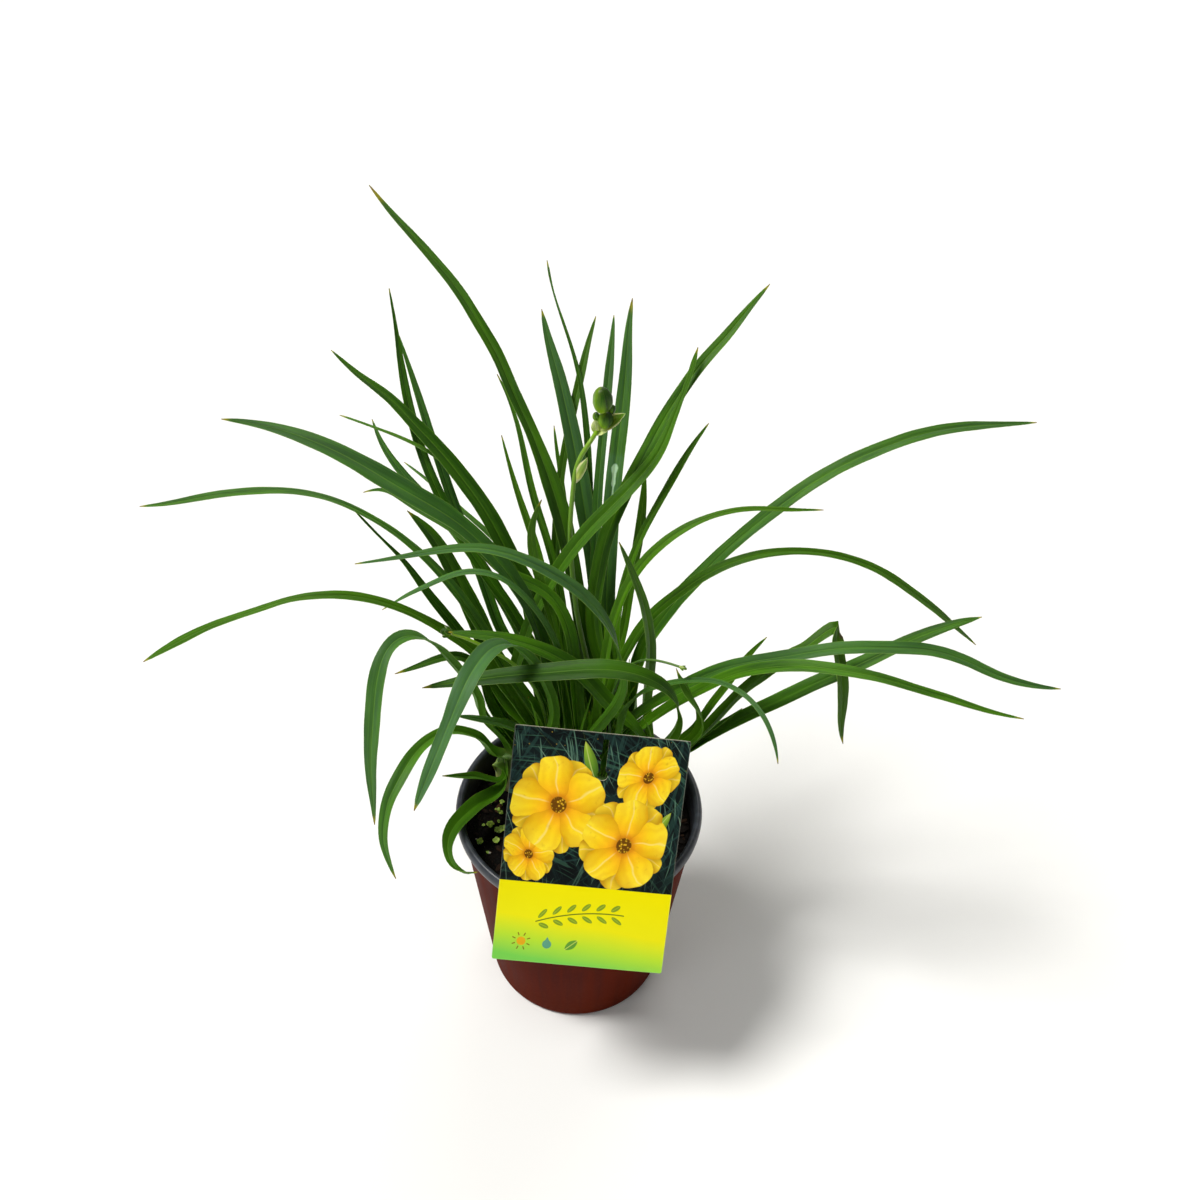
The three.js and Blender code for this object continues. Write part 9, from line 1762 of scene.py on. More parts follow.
def add_tube(build, pts, radii, sides=20, chance=0.5, mat=0, h0=0.0, h1=1.0, flute=0.03, span=None, thin=1.0):
    """A fluted stem through pts, whole or over a span of its arc length in mm."""
    pts, radii = np.array(pts, float), np.array(radii, float)
    si = np.r_[0, np.cumsum(np.linalg.norm(np.diff(pts, axis=0), axis=1))]
    lo, hi = span or (0, si[-1])
    s = stations(lo, hi, 2.2)
    p = spline(s, si, pts)
    r = gentle(s, si, radii) * thin
    t = unit(spline(s + 0.3, si, pts) - spline(s - 0.3, si, pts))
    x = np.array([1.0, 0.2, 0.0])
    xs = []
    for q in t:
        x = unit(x - x.dot(q) * q)
        xs.append(x)
    xs = np.array(xs)
    ys = np.cross(t, xs)
    th = np.linspace(0, 2 * np.pi, sides, endpoint=False)
    rr = r[:, None] * (1 + flute * np.cos(3 * th)[None] + 0.4 * flute * np.cos(7 * th + 1)[None])
    ring = p[:, None] + xs[:, None] * (rr * np.cos(th))[..., None] + ys[:, None] * (rr * np.sin(th))[..., None]
    paint = np.zeros((len(s), sides, 4))
    paint[..., 0] = (np.abs(th - np.pi) / np.pi)[None]
    paint[..., 1] = (h0 + (h1 - h0) * s / si[-1])[:, None]
    paint[..., 3] = chance
    build.add(ring.reshape(-1, 3), tube_faces(len(s), sides), mat, leaf=paint.reshape(-1, 4), spot=(0, 0, 0, 0))


def stem_line(name):
    """Points and radii of a stem from its root, and the arc length where it leaves the crown."""
    root, rows = LEAVES[name][1], np.array(LEAVES[name][2], float)
    if name == "scape":
        pts = np.vstack([root[:3], rows[1:-2, :3], SCAPE_HEAD])
        radii = np.r_[1.9, np.linspace(1.85, 1.42, len(rows) - 3), 1.35, 1.3, 1.2]
    else:
        thick = {"side_scape": 1.3, "young_scape": 0.95}[name]
        pts = np.vstack([root[:3], rows[1:, :3]])
        radii = np.linspace(thick * 1.05, thick * 0.8, len(pts))
    return pts, radii, np.linalg.norm(np.diff(pts[: CUT + 1], axis=0), axis=1).sum()


STEMS = ("scape", "side_scape", "young_scape")
STEM_CHANCE = {"scape": 0.4, "side_scape": 0.6, "young_scape": 0.95}
BLADES = {name: Blade(name) for name in LEAVES if name not in STEMS}
YOUNG = ("left_fan_leaf_6", "front_left_fan_leaf_8", "back_fan_leaf_5", "back_fan_leaf_6")  # each is one piece with its crown
CURVED = ("left_fan_leaf_5", "left_fan_leaf_6", "left_fan_leaf_7")  # bent from their first station on

for name, d in BLADES.items():
    if name in YOUNG:
        continue
    b = Build()
    s = stations(d.si[CUT] - 0.3, d.length)
    s = np.r_[s[:-1], d.length - 2.0, d.length - 0.9, d.length] if d.length - 2.0 > s[-2] else s
    p, t, bb, nn, hw, fold = d.at(s)
    hw = hw * np.clip(np.sqrt(np.maximum(d.length - s, 0.0) / 7.0), 0.16, 1.0) ** 0.6
    up, lo = d.surface(s, p, t, bb, nn, hw, fold)
    add_blade(b, up, lo, d.paint(s, True), d.paint(s, False), s)
    b.object("blade_" + name, [LEAF], [name])

# ---- crowns: an oval stub of joined sheaths, and the folded bases of its leaves -----------------------------
for fan, (fx, fy, az, half, depth, top) in FANS.items():
    b = Build()
    a = math.radians(az)
    ux, uy = math.cos(a), math.sin(a)
    mine = [n for n, row in LEAVES.items() if row[0] == fan]
    chance = (seed_of(fan) % 97) / 97
    sides, levels = 72, 30
    th = np.linspace(0, 2 * np.pi, sides, endpoint=False)
    zs = np.r_[SHEATH_FOOT, np.linspace(SHEATH_FOOT + 4, top, levels - 1)]
    keys = [SHEATH_FOOT, SOIL_TOP - 2, top - 9, top]
    k = gentle(zs, keys, [0.62, 0.93, 0.92, 0.80])
    dk = gentle(zs, keys, [1.0, 1.05, 0.78, 0.40])
    cu = np.sign(np.cos(th)) * np.abs(np.cos(th)) ** 0.8
    rib = 1 + 0.035 * np.sin(th[None] * 9 + zs[:, None] * 0.05 + chance * 6) + 0.02 * np.sin(th[None] * 23 + zs[:, None] * 0.11)
    uu = cu[None] * (half * k[:, None]) * rib
    vv = np.sin(th)[None] * (depth * (k * dk)[:, None]) * rib
    ring = np.stack([fx + ux * uu - uy * vv, fy + uy * uu + ux * vv, np.repeat(zs[:, None], sides, 1)], -1)
    paint = np.zeros((levels, sides, 4))
    paint[..., 0] = (th / 6.2832)[None]
    paint[..., 1] = ((zs - SHEATH_FOOT) / (top - SHEATH_FOOT))[:, None]
    paint[..., 3] = chance
    b.add(ring.reshape(-1, 3), tube_faces(levels, sides), 1, leaf=paint.reshape(-1, 4), spot=(0, 0.5, 0, 0))
    for name in mine:
        if name in STEMS:
            pts, radii, cut = stem_line(name)
            add_tube(b, pts, radii, 16, STEM_CHANCE[name], 2, span=(0, cut + 0.8), thin=0.9)
            continue
        d = BLADES[name]
        # base rows: from the root inside the stub to just past the cut
        rows = np.vstack([d.root, d.rows[(0 if name in CURVED else 1) :]])
        si = np.r_[0, np.cumsum(np.linalg.norm(np.diff(rows[:, :3], axis=0), axis=1))]
        kept = len(rows) - len(d.rows) + CUT
        end = si[kept] + 0.8 if name not in YOUNG else si[-1]
        s = stations(0, end, 2.4)
        base = Blade(name)
        base.rows, base.si, base.length = rows, si, si[-1]
        shift = d.si[CUT] - si[kept]
        # the rows above the cut guide the curve, so that the base runs into its blade
        p, t, bb, nn, hw, fold = base.at(s)
        if name not in YOUNG:
            over = np.clip((s - si[kept] + 12) / 12, 0, 1)[:, None]
            p2, t2, b2, n2, hw2, fold2 = d.at(np.clip(s + shift, 0, None))
            over = over * over * (3 - 2 * over)
            p = p * (1 - over) + p2 * over
            t, bb = unit(t * (1 - over) + t2 * over), unit(bb * (1 - over) + b2 * over)
            bb = unit(bb - (bb * t).sum(1, keepdims=True) * t)
            nn = np.cross(t, bb)
            hw, fold = hw * (1 - over[:, 0]) + hw2 * over[:, 0], fold * (1 - over[:, 0]) + fold2 * over[:, 0]
        else:
            hw = hw * np.clip(np.sqrt(np.maximum(si[-1] - s, 0.0) / 7.0), 0.16, 1.0) ** 0.6
        grow = 1 + 1.1 * np.clip(1 - s / 45, 0, 1)
        thin = np.where(s > si[kept] - 0.4, 0.72, 1.0) if name not in YOUNG else 1.0
        thin = (thin * grow)[:, None]
        narrow = np.where(s > si[kept] - 0.4, 0.965, 1.0)[:, None] if name not in YOUNG else 1.0
        base.length = d.length if name not in YOUNG else si[-1]
        up, lo = base.surface(s + (shift if name not in YOUNG else 0), p, t, bb, nn, hw, fold, thin, narrow)
        real = s + shift
        add_blade(b, up, lo, d.paint(real, True), d.paint(real, False), s)
    # short fresh blades, each between two neighbours of the fan and following both
    order = sorted((n for n in mine if n not in STEMS), key=lambda n: LEAVES[n][1][0] * ux + LEAVES[n][1][1] * uy)
    order = [n for n in order if n not in YOUNG]
    rng = np.random.default_rng(seed_of(fan))
    for left, right in zip(order, order[1:]):
        reach = 44 + 58 * rng.random()
        q = Blade(left)
        s = np.linspace(0, reach, 12)
        one, two = BLADES[left].at(s), BLADES[right].at(s)
        w = 0.5 + 0.16 * (rng.random() - 0.5)
        side = np.sign((one[2] * two[2]).sum(1, keepdims=True))
        mid = one[0] * w + two[0] * (1 - w)
        apart = np.linalg.norm(one[0] - two[0], axis=1)
        if apart[:4].max() > 9:
            continue
        wide = np.interp(s / reach, [0, 0.3, 0.75, 1], [1.0, 0.95, 0.62, 0.15]) * (1.7 + 0.6 * rng.random())
        q.rows = np.column_stack([mid, unit(one[2] * w + two[2] * side * (1 - w)), wide, np.degrees((one[5] + two[5]) / 2)])
        q.si = np.r_[0, np.cumsum(np.linalg.norm(np.diff(mid, axis=0), axis=1))]
        q.length, q.chance, q.tone, q.shade, q.tip = q.si[-1], 1.05 + 0.25 * rng.random(), 0.0, 0.0, 0.4
        s = stations(0, q.length, 3.0)
        at = q.at(s)
        up, lo = q.surface(s, *at)
        q.length += 14
        add_blade(b, up, lo, q.paint(s + 14, True), q.paint(s + 14, False), s)
    b.object("crown_" + fan, [LEAF, SHEATH, STEM], [fan + "_crown"])


# ---- stems, buds and bracts ----------------------------------------------------------------------------------
def add_bud(build, centre, axis, radius, length, turn=0.0, chance=0.5, mat=1, tip=0.16, sides=48, levels=30):
    d = unit(np.array(axis, float))
    x = unit(np.cross(d, np.array([0.3, 1, 0.1])))
    y = np.cross(d, x)
    h = -0.5 * np.cos(np.linspace(0.0, np.pi, levels))
    prof = gentle(h, [-0.5, -0.44, -0.3, -0.1, 0.12, 0.3, 0.42, 0.47, 0.5], [0.26, 0.58, 0.86, 1.0, 0.97, 0.80, 0.56, 0.38, tip])
    th = np.linspace(0, 2 * np.pi, sides, endpoint=False)
    swirl = th[None] + 0.35 * h[:, None] + turn
    lobe = 0.08 * np.cos(3 * swirl) + 0.02 * np.cos(6 * swirl + 0.6)
    gap = np.exp(-(((np.mod(swirl / (2 * np.pi) * 3, 1) - 0.5) / 0.045) ** 2))
    fade = np.sin(np.pi * np.clip(h + 0.5, 0, 1))[:, None] ** 0.5
    rr = radius * prof[:, None] * (1 + (lobe - 0.13 * gap) * fade)
    c = np.array(centre, float)
    ring = c + d * (h * length)[:, None, None] + x * (rr * np.cos(th))[..., None] + y * (rr * np.sin(th))[..., None]
    paint = np.zeros((levels, sides, 4))
    paint[..., 0] = (np.abs(np.mod(swirl / (2 * np.pi) * 3, 1) - 0.5) * 2)
    paint[..., 1] = (h + 0.5)[:, None]
    paint[..., 2] = gap * fade
    paint[..., 3] = chance
    painted_light_side = np.zeros((levels, sides, 4))  # painted shade on the side towards +X, painted light on the side towards -X
    painted_light_side[..., 0] = (x * np.cos(th)[:, None] + y * np.sin(th)[:, None])[:, 0][None] * 1.2
    build.add(ring.reshape(-1, 3), tube_faces(levels, sides), mat, leaf=paint.reshape(-1, 4), spot=(0, 0, 0, 0), tone=painted_light_side.reshape(-1, 4))


def add_bract(build, a, b, side, width, cup, papery=0.0, chance=0.5, mat=2, curl=0.55, twist=0.0, tip=0.02):
    a, b = np.array(a, float), np.array(b, float)
    t = unit(b - a)
    u = np.array(side, float)
    u = unit(u - u.dot(t) * t)
    n = np.cross(t, u)
    k, m = 20, 13
    s, w = np.linspace(0, 1, k), np.linspace(-1, 1, m)
    wid = gentle(s, [0, 0.12, 0.35, 0.6, 0.85, 1.0], [0.5, 0.8, 1.0, 0.9, 0.42, tip]) * width
    c = a + (b - a) * s[:, None] - n * (cup * np.sin(np.pi * s))[:, None]
    lift = curl * (np.sqrt(w * w + 0.02) - 0.14)[None] * wid[:, None]
    frill = 0.05 * width * np.sin(s * 17 + 3 * chance)[:, None] * np.abs(w)[None] ** 3
    thick = (0.16 + 0.22 * (1 - np.abs(w)))[None] * np.clip(wid / width * 2, 0.3, 1)[:, None]
    ang = twist * s
    uu = u * np.cos(ang)[:, None] + n * np.sin(ang)[:, None]
    nn = n * np.cos(ang)[:, None] - u * np.sin(ang)[:, None]
    f = lambda h: c[:, None] + uu[:, None] * (w[None] * wid[:, None])[..., None] + nn[:, None] * h[..., None]
    up, lo = f(lift + frill + thick), f(lift + frill - thick)
    global ACROSS
    keep, ACROSS = ACROSS, w
    paint = np.zeros((k, m, 4))
    paint[..., 0], paint[..., 1], paint[..., 2], paint[..., 3] = (w * 0.5 + 0.5)[None], s[:, None], papery, chance
    add_blade(build, up, lo, (paint, paint * 0), (paint, paint * 0), s, mat)
    ACROSS = keep


HEAD_MATS = [STEM, BUD, BRACT]
b = Build()
pts, radii, cut = stem_line("scape")
add_tube(b, pts, radii, 20, STEM_CHANCE["scape"], 0, span=(cut - 0.3, np.linalg.norm(np.diff(pts, axis=0), axis=1).sum()))
add_bud(b, BUD_TINY[0], (0.25, 0.2, 1), 2.5, 6.4, 0.4, 0.9, 1, 0.1, 28, 18)
add_bud(b, BUD_TINY[1], (-0.3, 0.1, 1), 2.3, 5.8, 1.4, 0.1, 1, 0.1, 28, 18)
for i, (p0, p1, side, width, cup) in enumerate(HEAD_BRACTS):
    add_bract(b, p0, p1, side, width, cup, (0.0, 0.85, 0.75)[i], 0.2 + 0.3 * i, 2, (0.75, 0.55, 0.5)[i])
b.object("scape_stem_and_head", HEAD_MATS, ["scape"])
b = Build()
add_bud(b, BUD_UPPER, BUD_LEAN, BUD_UPPER_RADIUS, BUD_UPPER_LENGTH, 2.75, 0.35, 0)
b.object("flower_bud_upper", [BUD], ["bud_upper"])
b = Build()
add_bud(b, BUD_LOWER, BUD_LOWER_LEAN, BUD_LOWER_RADIUS, BUD_LOWER_LENGTH, 0.6, 0.7, 0)
b.object("flower_bud_lower", [BUD], ["bud_lower"])
b = Build()
add_bract(b, *LOWER_BRACT, 0.12, 0.6, 0, 0.8)
b.object("clasping_bract", [BRACT], ["scape_bract"])
for name, radius, length, cluster in (("side_scape", 3.6, 7.5, 4), ("young_scape", 1.5, 6.0, 2)):
    pts, radii, cut = stem_line(name)
    b = Build()
    add_tube(b, pts, radii, 14, STEM_CHANCE[name], 0, span=(cut - 0.3, np.linalg.norm(np.diff(pts, axis=0), axis=1).sum()))
    end, back = pts[-1], pts[-2]
    dirn = unit(end - back)
    add_bud(b, end, dirn, radius * 0.72, length * 0.94, 0.9, 0.3, 1, 0.1, 28, 20)
    side1 = unit(np.cross(dirn, [0, 0.2, 1]))
    side2 = np.cross(dirn, side1)
    for i in range(cluster):
        a = 6.283 * i / cluster + 0.6
        out = side1 * math.cos(a) + side2 * math.sin(a)
        add_bud(b, end + out * radius * 0.62 - dirn * 0.6, unit(dirn + out * 0.5), radius * 0.4, length * 0.62, a, 0.2 + 0.15 * i, 1, 0.1, 20, 14)
    for i in range(2):
        a = 2.2 + 3.1 * i
        out = side1 * math.cos(a) + side2 * math.sin(a)
        add_bract(b, end - dirn * length * 0.55, end + out * radius * 0.9 + dirn * length * 0.25, np.cross(dirn, out), radius * 0.55, 0.3, 0.35, 0.3, 2)
    b.object(name + "_with_buds", HEAD_MATS, [name])


# ---- pot ----------------------------------------------------------------------------------------------------
def pot():
    h, r = POT_HEIGHT, RIM_RADIUS
    taper = lambda z: BASE_RADIUS + (r - 4.1 - BASE_RADIUS) * z / (h - 12)
    lo_hole, hi_hole = 41.3, 50.7  # the drain holes, between these radii
    outer = [(0.0, 0.0), (20, 0.0), (lo_hole, 0.0), (hi_hole, 0.0), (56, 0.0), (BASE_RADIUS - 2.6, 0.0), (BASE_RADIUS - 1.4, 0.25), (BASE_RADIUS - 0.55, 0.9), (taper(1.8), 1.8), (taper(5.0), 5.0), (taper(9.2), 9.2)]
    outer += [(taper(z), z) for z in np.linspace(12, h - 16, 24)]
    outer += [(taper(h - 13.4), h - 13.4), (taper(h - 12) + 0.05, h - 12)]
    rim = [(r - 3.9, h - 10.4), (r - 3.2, h - 9.6), (r - 1.9, h - 9.2), (r - 0.9, h - 8.6), (r - 0.35, h - 7.4), (r - 0.1, h - 5.8), (r, h - 4.2), (r - 0.2, h - 2.8), (r - 0.75, h - 1.5), (r - 1.6, h - 0.5), (r - 2.6, h), (r - 3.6, h - 0.15), (r - 4.5, h - 0.7), (r - 5.15, h - 1.8), (r - 5.5, h - 3.4), (r - 5.65, h - 5.4), (taper(h - 9) - WALL, h - 9)]
    inner = [(taper(z) - WALL, z) for z in np.linspace(h - 12, 12, 26)]
    inner += [(taper(9.2) - WALL, 9.2), (taper(2.7) - WALL - 0.9, 2.7), (taper(FLOOR) - WALL - 1.6, FLOOR + 0.3), (taper(FLOOR) - WALL - 3, FLOOR), (hi_hole, FLOOR), (lo_hole, FLOOR), (18, FLOOR), (0.0, FLOOR)]
    prof = outer + rim + inner
    first_rim, n_rim_end = len(outer), len(outer) + len(rim)
    cols = 180
    th = np.arange(cols) * 2 * np.pi / cols
    pr, pz = np.array([q[0] for q in prof]), np.array([q[1] for q in prof])
    # soft hand-moulded unevenness of the thin wall, nothing at the base and the holes
    wob = np.clip((pz - 14) / 30, 0, 1)
    dr = wob[:, None] * (0.25 * np.sin(2 * th + 0.7)[None] + 0.12 * np.sin(5 * th + pz[:, None] * 0.02))
    rr = pr[:, None] + dr * ((pr[:, None] > 5) & (pz[:, None] > 3))
    verts = np.stack([rr * np.cos(th), rr * np.sin(th), np.repeat(pz[:, None], cols, 1)], -1)
    nr = len(prof)
    centre0, centre1 = 0, nr - 1
    hole_cols = {c % cols for i in range(6) for c in range(int(round((i + 0.5) * 30)) - 3, int(round((i + 0.5) * 30)) + 3)}
    o_lo = next(i for i, q in enumerate(prof) if q == (lo_hole, 0.0))
    o_hi = o_lo + 1
    i_hi = next(i for i, q in enumerate(prof) if q == (hi_hole, FLOOR))
    i_lo = i_hi + 1
    for mid in range(15, cols, 30):  # the corner points of each hole stand on a circle
        ca, sa = math.cos(th[mid]), math.sin(th[mid])
        for row, start, turn in ((o_lo, 180, -1), (i_lo, 180, -1), (o_hi, 0, 1), (i_hi, 0, 1)):
            for k in range(7):
                phi = math.radians(start + turn * (k - 3) * 360 / 14)
                out, side = 46.0 + 4.7 * math.cos(phi), 4.7 * math.sin(phi)
                verts[row, mid - 3 + k, :2] = out * ca - side * sa, out * sa + side * ca
    faces, mats = [], []
    vid = lambda i, c: i * cols + c % cols
    for i in range(1, nr - 2):
        m = 0 if i + 1 <= first_rim else 1
        for c in range(cols):
            if c in hole_cols and (i == o_lo or i == i_hi):
                continue
            faces.append((vid(i, c), vid(i, c + 1), vid(i + 1, c + 1), vid(i + 1, c)))
            mats.append(m)
    for c in sorted(hole_cols):
        faces.append((vid(o_lo, c), vid(o_lo, c + 1), vid(i_lo, c + 1), vid(i_lo, c)))
        faces.append((vid(i_hi, c), vid(i_hi, c + 1), vid(o_hi, c + 1), vid(o_hi, c)))
        mats += [0, 0]
        if (c - 1) % cols not in hole_cols:
            faces.append((vid(o_lo, c), vid(i_lo, c), vid(i_hi, c), vid(o_hi, c)))
            mats.append(0)
        if (c + 1) % cols not in hole_cols:
            faces.append((vid(o_lo, c + 1), vid(o_hi, c + 1), vid(i_hi, c + 1), vid(i_lo, c + 1)))
            mats.append(0)
    flat = verts.reshape(-1, 3)
    # the centre rings close to a point each: use a polygon over ring 1 and over ring nr-2
    faces.append(tuple(vid(1, c) for c in reversed(range(cols))))
    mats.append(0)
    faces.append(tuple(vid(nr - 2, c) for c in range(cols)))
    mats.append(1)
    # drop the unused centre vertices
    used = sorted({v for f in faces for v in f})
    index = {v: i for i, v in enumerate(used)}
    faces = [tuple(index[v] for v in f) for f in faces]
    b = Build()
    ring = lambda i: [(index[vid(i, c)], index[vid(i, c + 1)]) for c in range(cols)]
    sharp = ring(first_rim) if first_rim else []
    for c in sorted(hole_cols):
        for row in (o_lo, o_hi, i_lo, i_hi):
            sharp.append((index[vid(row, c)], index[vid(row, c + 1)]))
        for cc, other in ((c, c - 1), (c + 1, c + 1)):
            if other % cols not in hole_cols:
                sharp += [(index[vid(o_lo, cc)], index[vid(o_hi, cc)]), (index[vid(i_lo, cc)], index[vid(i_hi, cc)]), (index[vid(o_lo, cc)], index[vid(i_lo, cc)]), (index[vid(o_hi, cc)], index[vid(i_hi, cc)])]
    b.add(flat[used], faces, mats, sharp)
    return b.object("nursery_pot", [TERRACOTTA, BLACK], ["pot"])


pot()


# ---- soil -----------------------------------------------------------------------------------------------------
def rough(x, y, scale, seed):
    return noise.noise(Vector((x * scale, y * scale, seed)))


def soil_height(x, y):
    h = 1.5 * rough(x, y, 0.045, 3.1) + 1.1 * rough(x, y, 0.13, 8.3) + 0.75 * rough(x, y, 0.33, 1.7) + 0.4 * rough(x, y, 0.8, 5.9)
    return SOIL_TOP - 0.2 + h


def soil():
    taper = lambda z: BASE_RADIUS + (RIM_RADIUS - 4.1 - BASE_RADIUS) * z / (POT_HEIGHT - 12) - WALL - 0.35
    cols, rings = 150, 56
    th = np.arange(cols) * 2 * np.pi / cols
    radii = [taper(SOIL_TOP) * ((i + 0.6) / (rings - 0.4)) ** 0.85 for i in range(rings)]
    radii[-1] = taper(SOIL_TOP)
    verts = []
    for i, r in enumerate(radii):
        for a in th:
            x, y = r * math.cos(a), r * math.sin(a)
            z = soil_height(x, y)
            if i >= rings - 3:
                z = z * 0.5 + (SOIL_TOP - 0.3) * 0.5
            verts.append((x, y, min(z, SOIL_TOP + 2.4)))
    low = [(taper(SOIL_TOP - 3.2), SOIL_TOP - 3.2), (taper(110), 110), (taper(60), 60), (taper(14), 14), (taper(5) - 3.4, 2.4), (30, 2.4)]
    for r, z in low:
        verts += [(r * math.cos(a), r * math.sin(a), z) for a in th]
    n = rings + len(low)
    faces = []
    for i in range(n - 1):
        for c in range(cols):
            p, q = i * cols + c, i * cols + (c + 1) % cols
            faces.append((q, p, p + cols, q + cols))
    faces.append(tuple(range(cols)))
    faces.append(tuple((n - 1) * cols + c for c in reversed(range(cols))))
    b = Build()
    b.add(verts, faces, 0)
    # bark and peat pieces lying on and partly in it
    rng = np.random.default_rng(41)
    ico_v, ico_f = icosphere()
    for i in range(880):
        r, a = taper(SOIL_TOP) * math.sqrt(rng.random()) * 0.965, rng.random() * 2 * math.pi
        x, y = r * math.cos(a), r * math.sin(a)
        long = 1.0 + 3.6 * rng.random() ** 2.6
        size = np.array([long, long * (0.35 + 0.4 * rng.random()), long * (0.2 + 0.3 * rng.random())])
        v = ico_v * (1 + 0.5 * (rng.random((len(ico_v), 1)) - 0.5)) * size
        rot = Matrix.Rotation(rng.random() * 6.283, 3, "Z") @ Matrix.Rotation((rng.random() - 0.5) * 1.1, 3, "X") @ Matrix.Rotation((rng.random() - 0.5) * 0.9, 3, "Y")
        v = v @ np.array(rot).T + np.array([x, y, soil_height(x, y) + size[2] * 0.35])
        b.add(v, ico_f, 1, flat=True, leaf=(0, 0, 0, rng.random()))
    for i in range(26):
        r, a = taper(SOIL_TOP) * math.sqrt(rng.random()) * 0.95, rng.random() * 2 * math.pi
        x, y = r * math.cos(a), r * math.sin(a)
        size = 0.55 + 0.75 * rng.random()
        v = ico_v * (1 + 0.45 * (rng.random((len(ico_v), 1)) - 0.5)) * size + np.array([x, y, soil_height(x, y) + size * 0.5])
        b.add(v, ico_f, 2, flat=True, leaf=(0, 0, 0, rng.random()))
    return b.object("potting_mix", [MIX, CHIP, PERLITE], ["soil"])


def icosphere():
    p = (1 + 5**0.5) / 2
    v = np.array([(-1, p, 0), (1, p, 0), (-1, -p, 0), (1, -p, 0), (0, -1, p), (0, 1, p), (0, -1, -p), (0, 1, -p), (p, 0, -1), (p, 0, 1), (-p, 0, -1), (-p, 0, 1)], float)
    v /= np.linalg.norm(v[0])
    f = [(0, 11, 5), (0, 5, 1), (0, 1, 7), (0, 7, 10), (0, 10, 11), (1, 5, 9), (5, 11, 4), (11, 10, 2), (10, 7, 6), (7, 1, 8), (3, 9, 4), (3, 4, 2), (3, 2, 6), (3, 6, 8), (3, 8, 9), (4, 9, 5), (2, 4, 11), (6, 2, 10), (8, 6, 7), (9, 8, 1)]
    return v, f


soil()


# ---- seedlings on the soil -----------------------------------------------------------------------------------
def seedlings():
    rng = np.random.default_rng(5)
    b = Build()
    k, m = 9, 7
    s, w = np.linspace(0, 1, k), np.linspace(-1, 1, m)
    wid = np.sin(np.pi * (0.06 + 0.88 * s)) ** 0.6

    def leaflet(base, direction, length, width, lift, chance):
        d = np.array([math.cos(direction), math.sin(direction), 0.0])
        side = np.array([-d[1], d[0], 0.0])
        c = base + d * (length * s)[:, None] + np.array([0, 0, 1.0]) * (lift * np.sin(s * 1.9))[:, None]
        curve = -0.16 * width * (w * w)[None] * wid[:, None]
        f = lambda h: c[:, None] + side * (w[None] * wid[:, None] * width)[..., None] + np.array([0, 0, 1.0]) * (curve + h)[..., None]
        global ACROSS
        keep, ACROSS = ACROSS, w
        paint = np.zeros((k, m, 4))
        paint[..., 0], paint[..., 1], paint[..., 2], paint[..., 3] = (w * 0.5 + 0.5)[None], s[:, None], 1, chance
        add_blade(b, f(0.12), f(-0.12), (paint, paint * 0), (paint, paint * 0), s)
        ACROSS = keep

    for x, y, size in SEEDLINGS:
        z = soil_height(x, y)
        count = int(rng.integers(3, 6))
        stem = size * (0.5 + 0.6 * rng.random())
        lean = (rng.random(2) - 0.5) * 1.2
        top = np.array([x + lean[0], y + lean[1], z + stem + 0.6])
        add_tube(b, [(x, y, z - 1.0), ((x + top[0]) / 2, (y + top[1]) / 2, z + stem * 0.5), tuple(top)], [0.32, 0.3, 0.26], 8, rng.random(), 0)
        turn = rng.random() * 6.283
        for i in range(count):
            leaflet(top - [0, 0, 0.15], turn + 6.283 * i / count + 0.3 * rng.random(), size * (0.55 + 0.4 * rng.random()), size * (0.34 + 0.14 * rng.random()), size * (0.1 + 0.4 * rng.random()), rng.random())
    obj = b.object("seedlings", [SEEDLING], ())
    return obj


SEEDLINGS = [
    (-59.8, -9.3, 3.4),
    (-54.0, -13.3, 4.0),
    (-51.2, -11.5, 3.4),
    (-64.4, -23.6, 3.2),
    (-53.9, -22.3, 3.4),
    (-55.6, 3.6, 2.4),
    (-53.4, 1.9, 2.2),
    (-53.5, 10.6, 2.6),
    (-57.5, 15.6, 2.2),
    (-61.2, 11.1, 2.2),
    (-64.6, -8.7, 1.3),
    (-54.9, -4.1, 1.6),
    (-44.9, -26.0, 3.0),
    (-43.8, -7.0, 2.6),
    (-59.0, -30.6, 1.6),
]
seedlings()


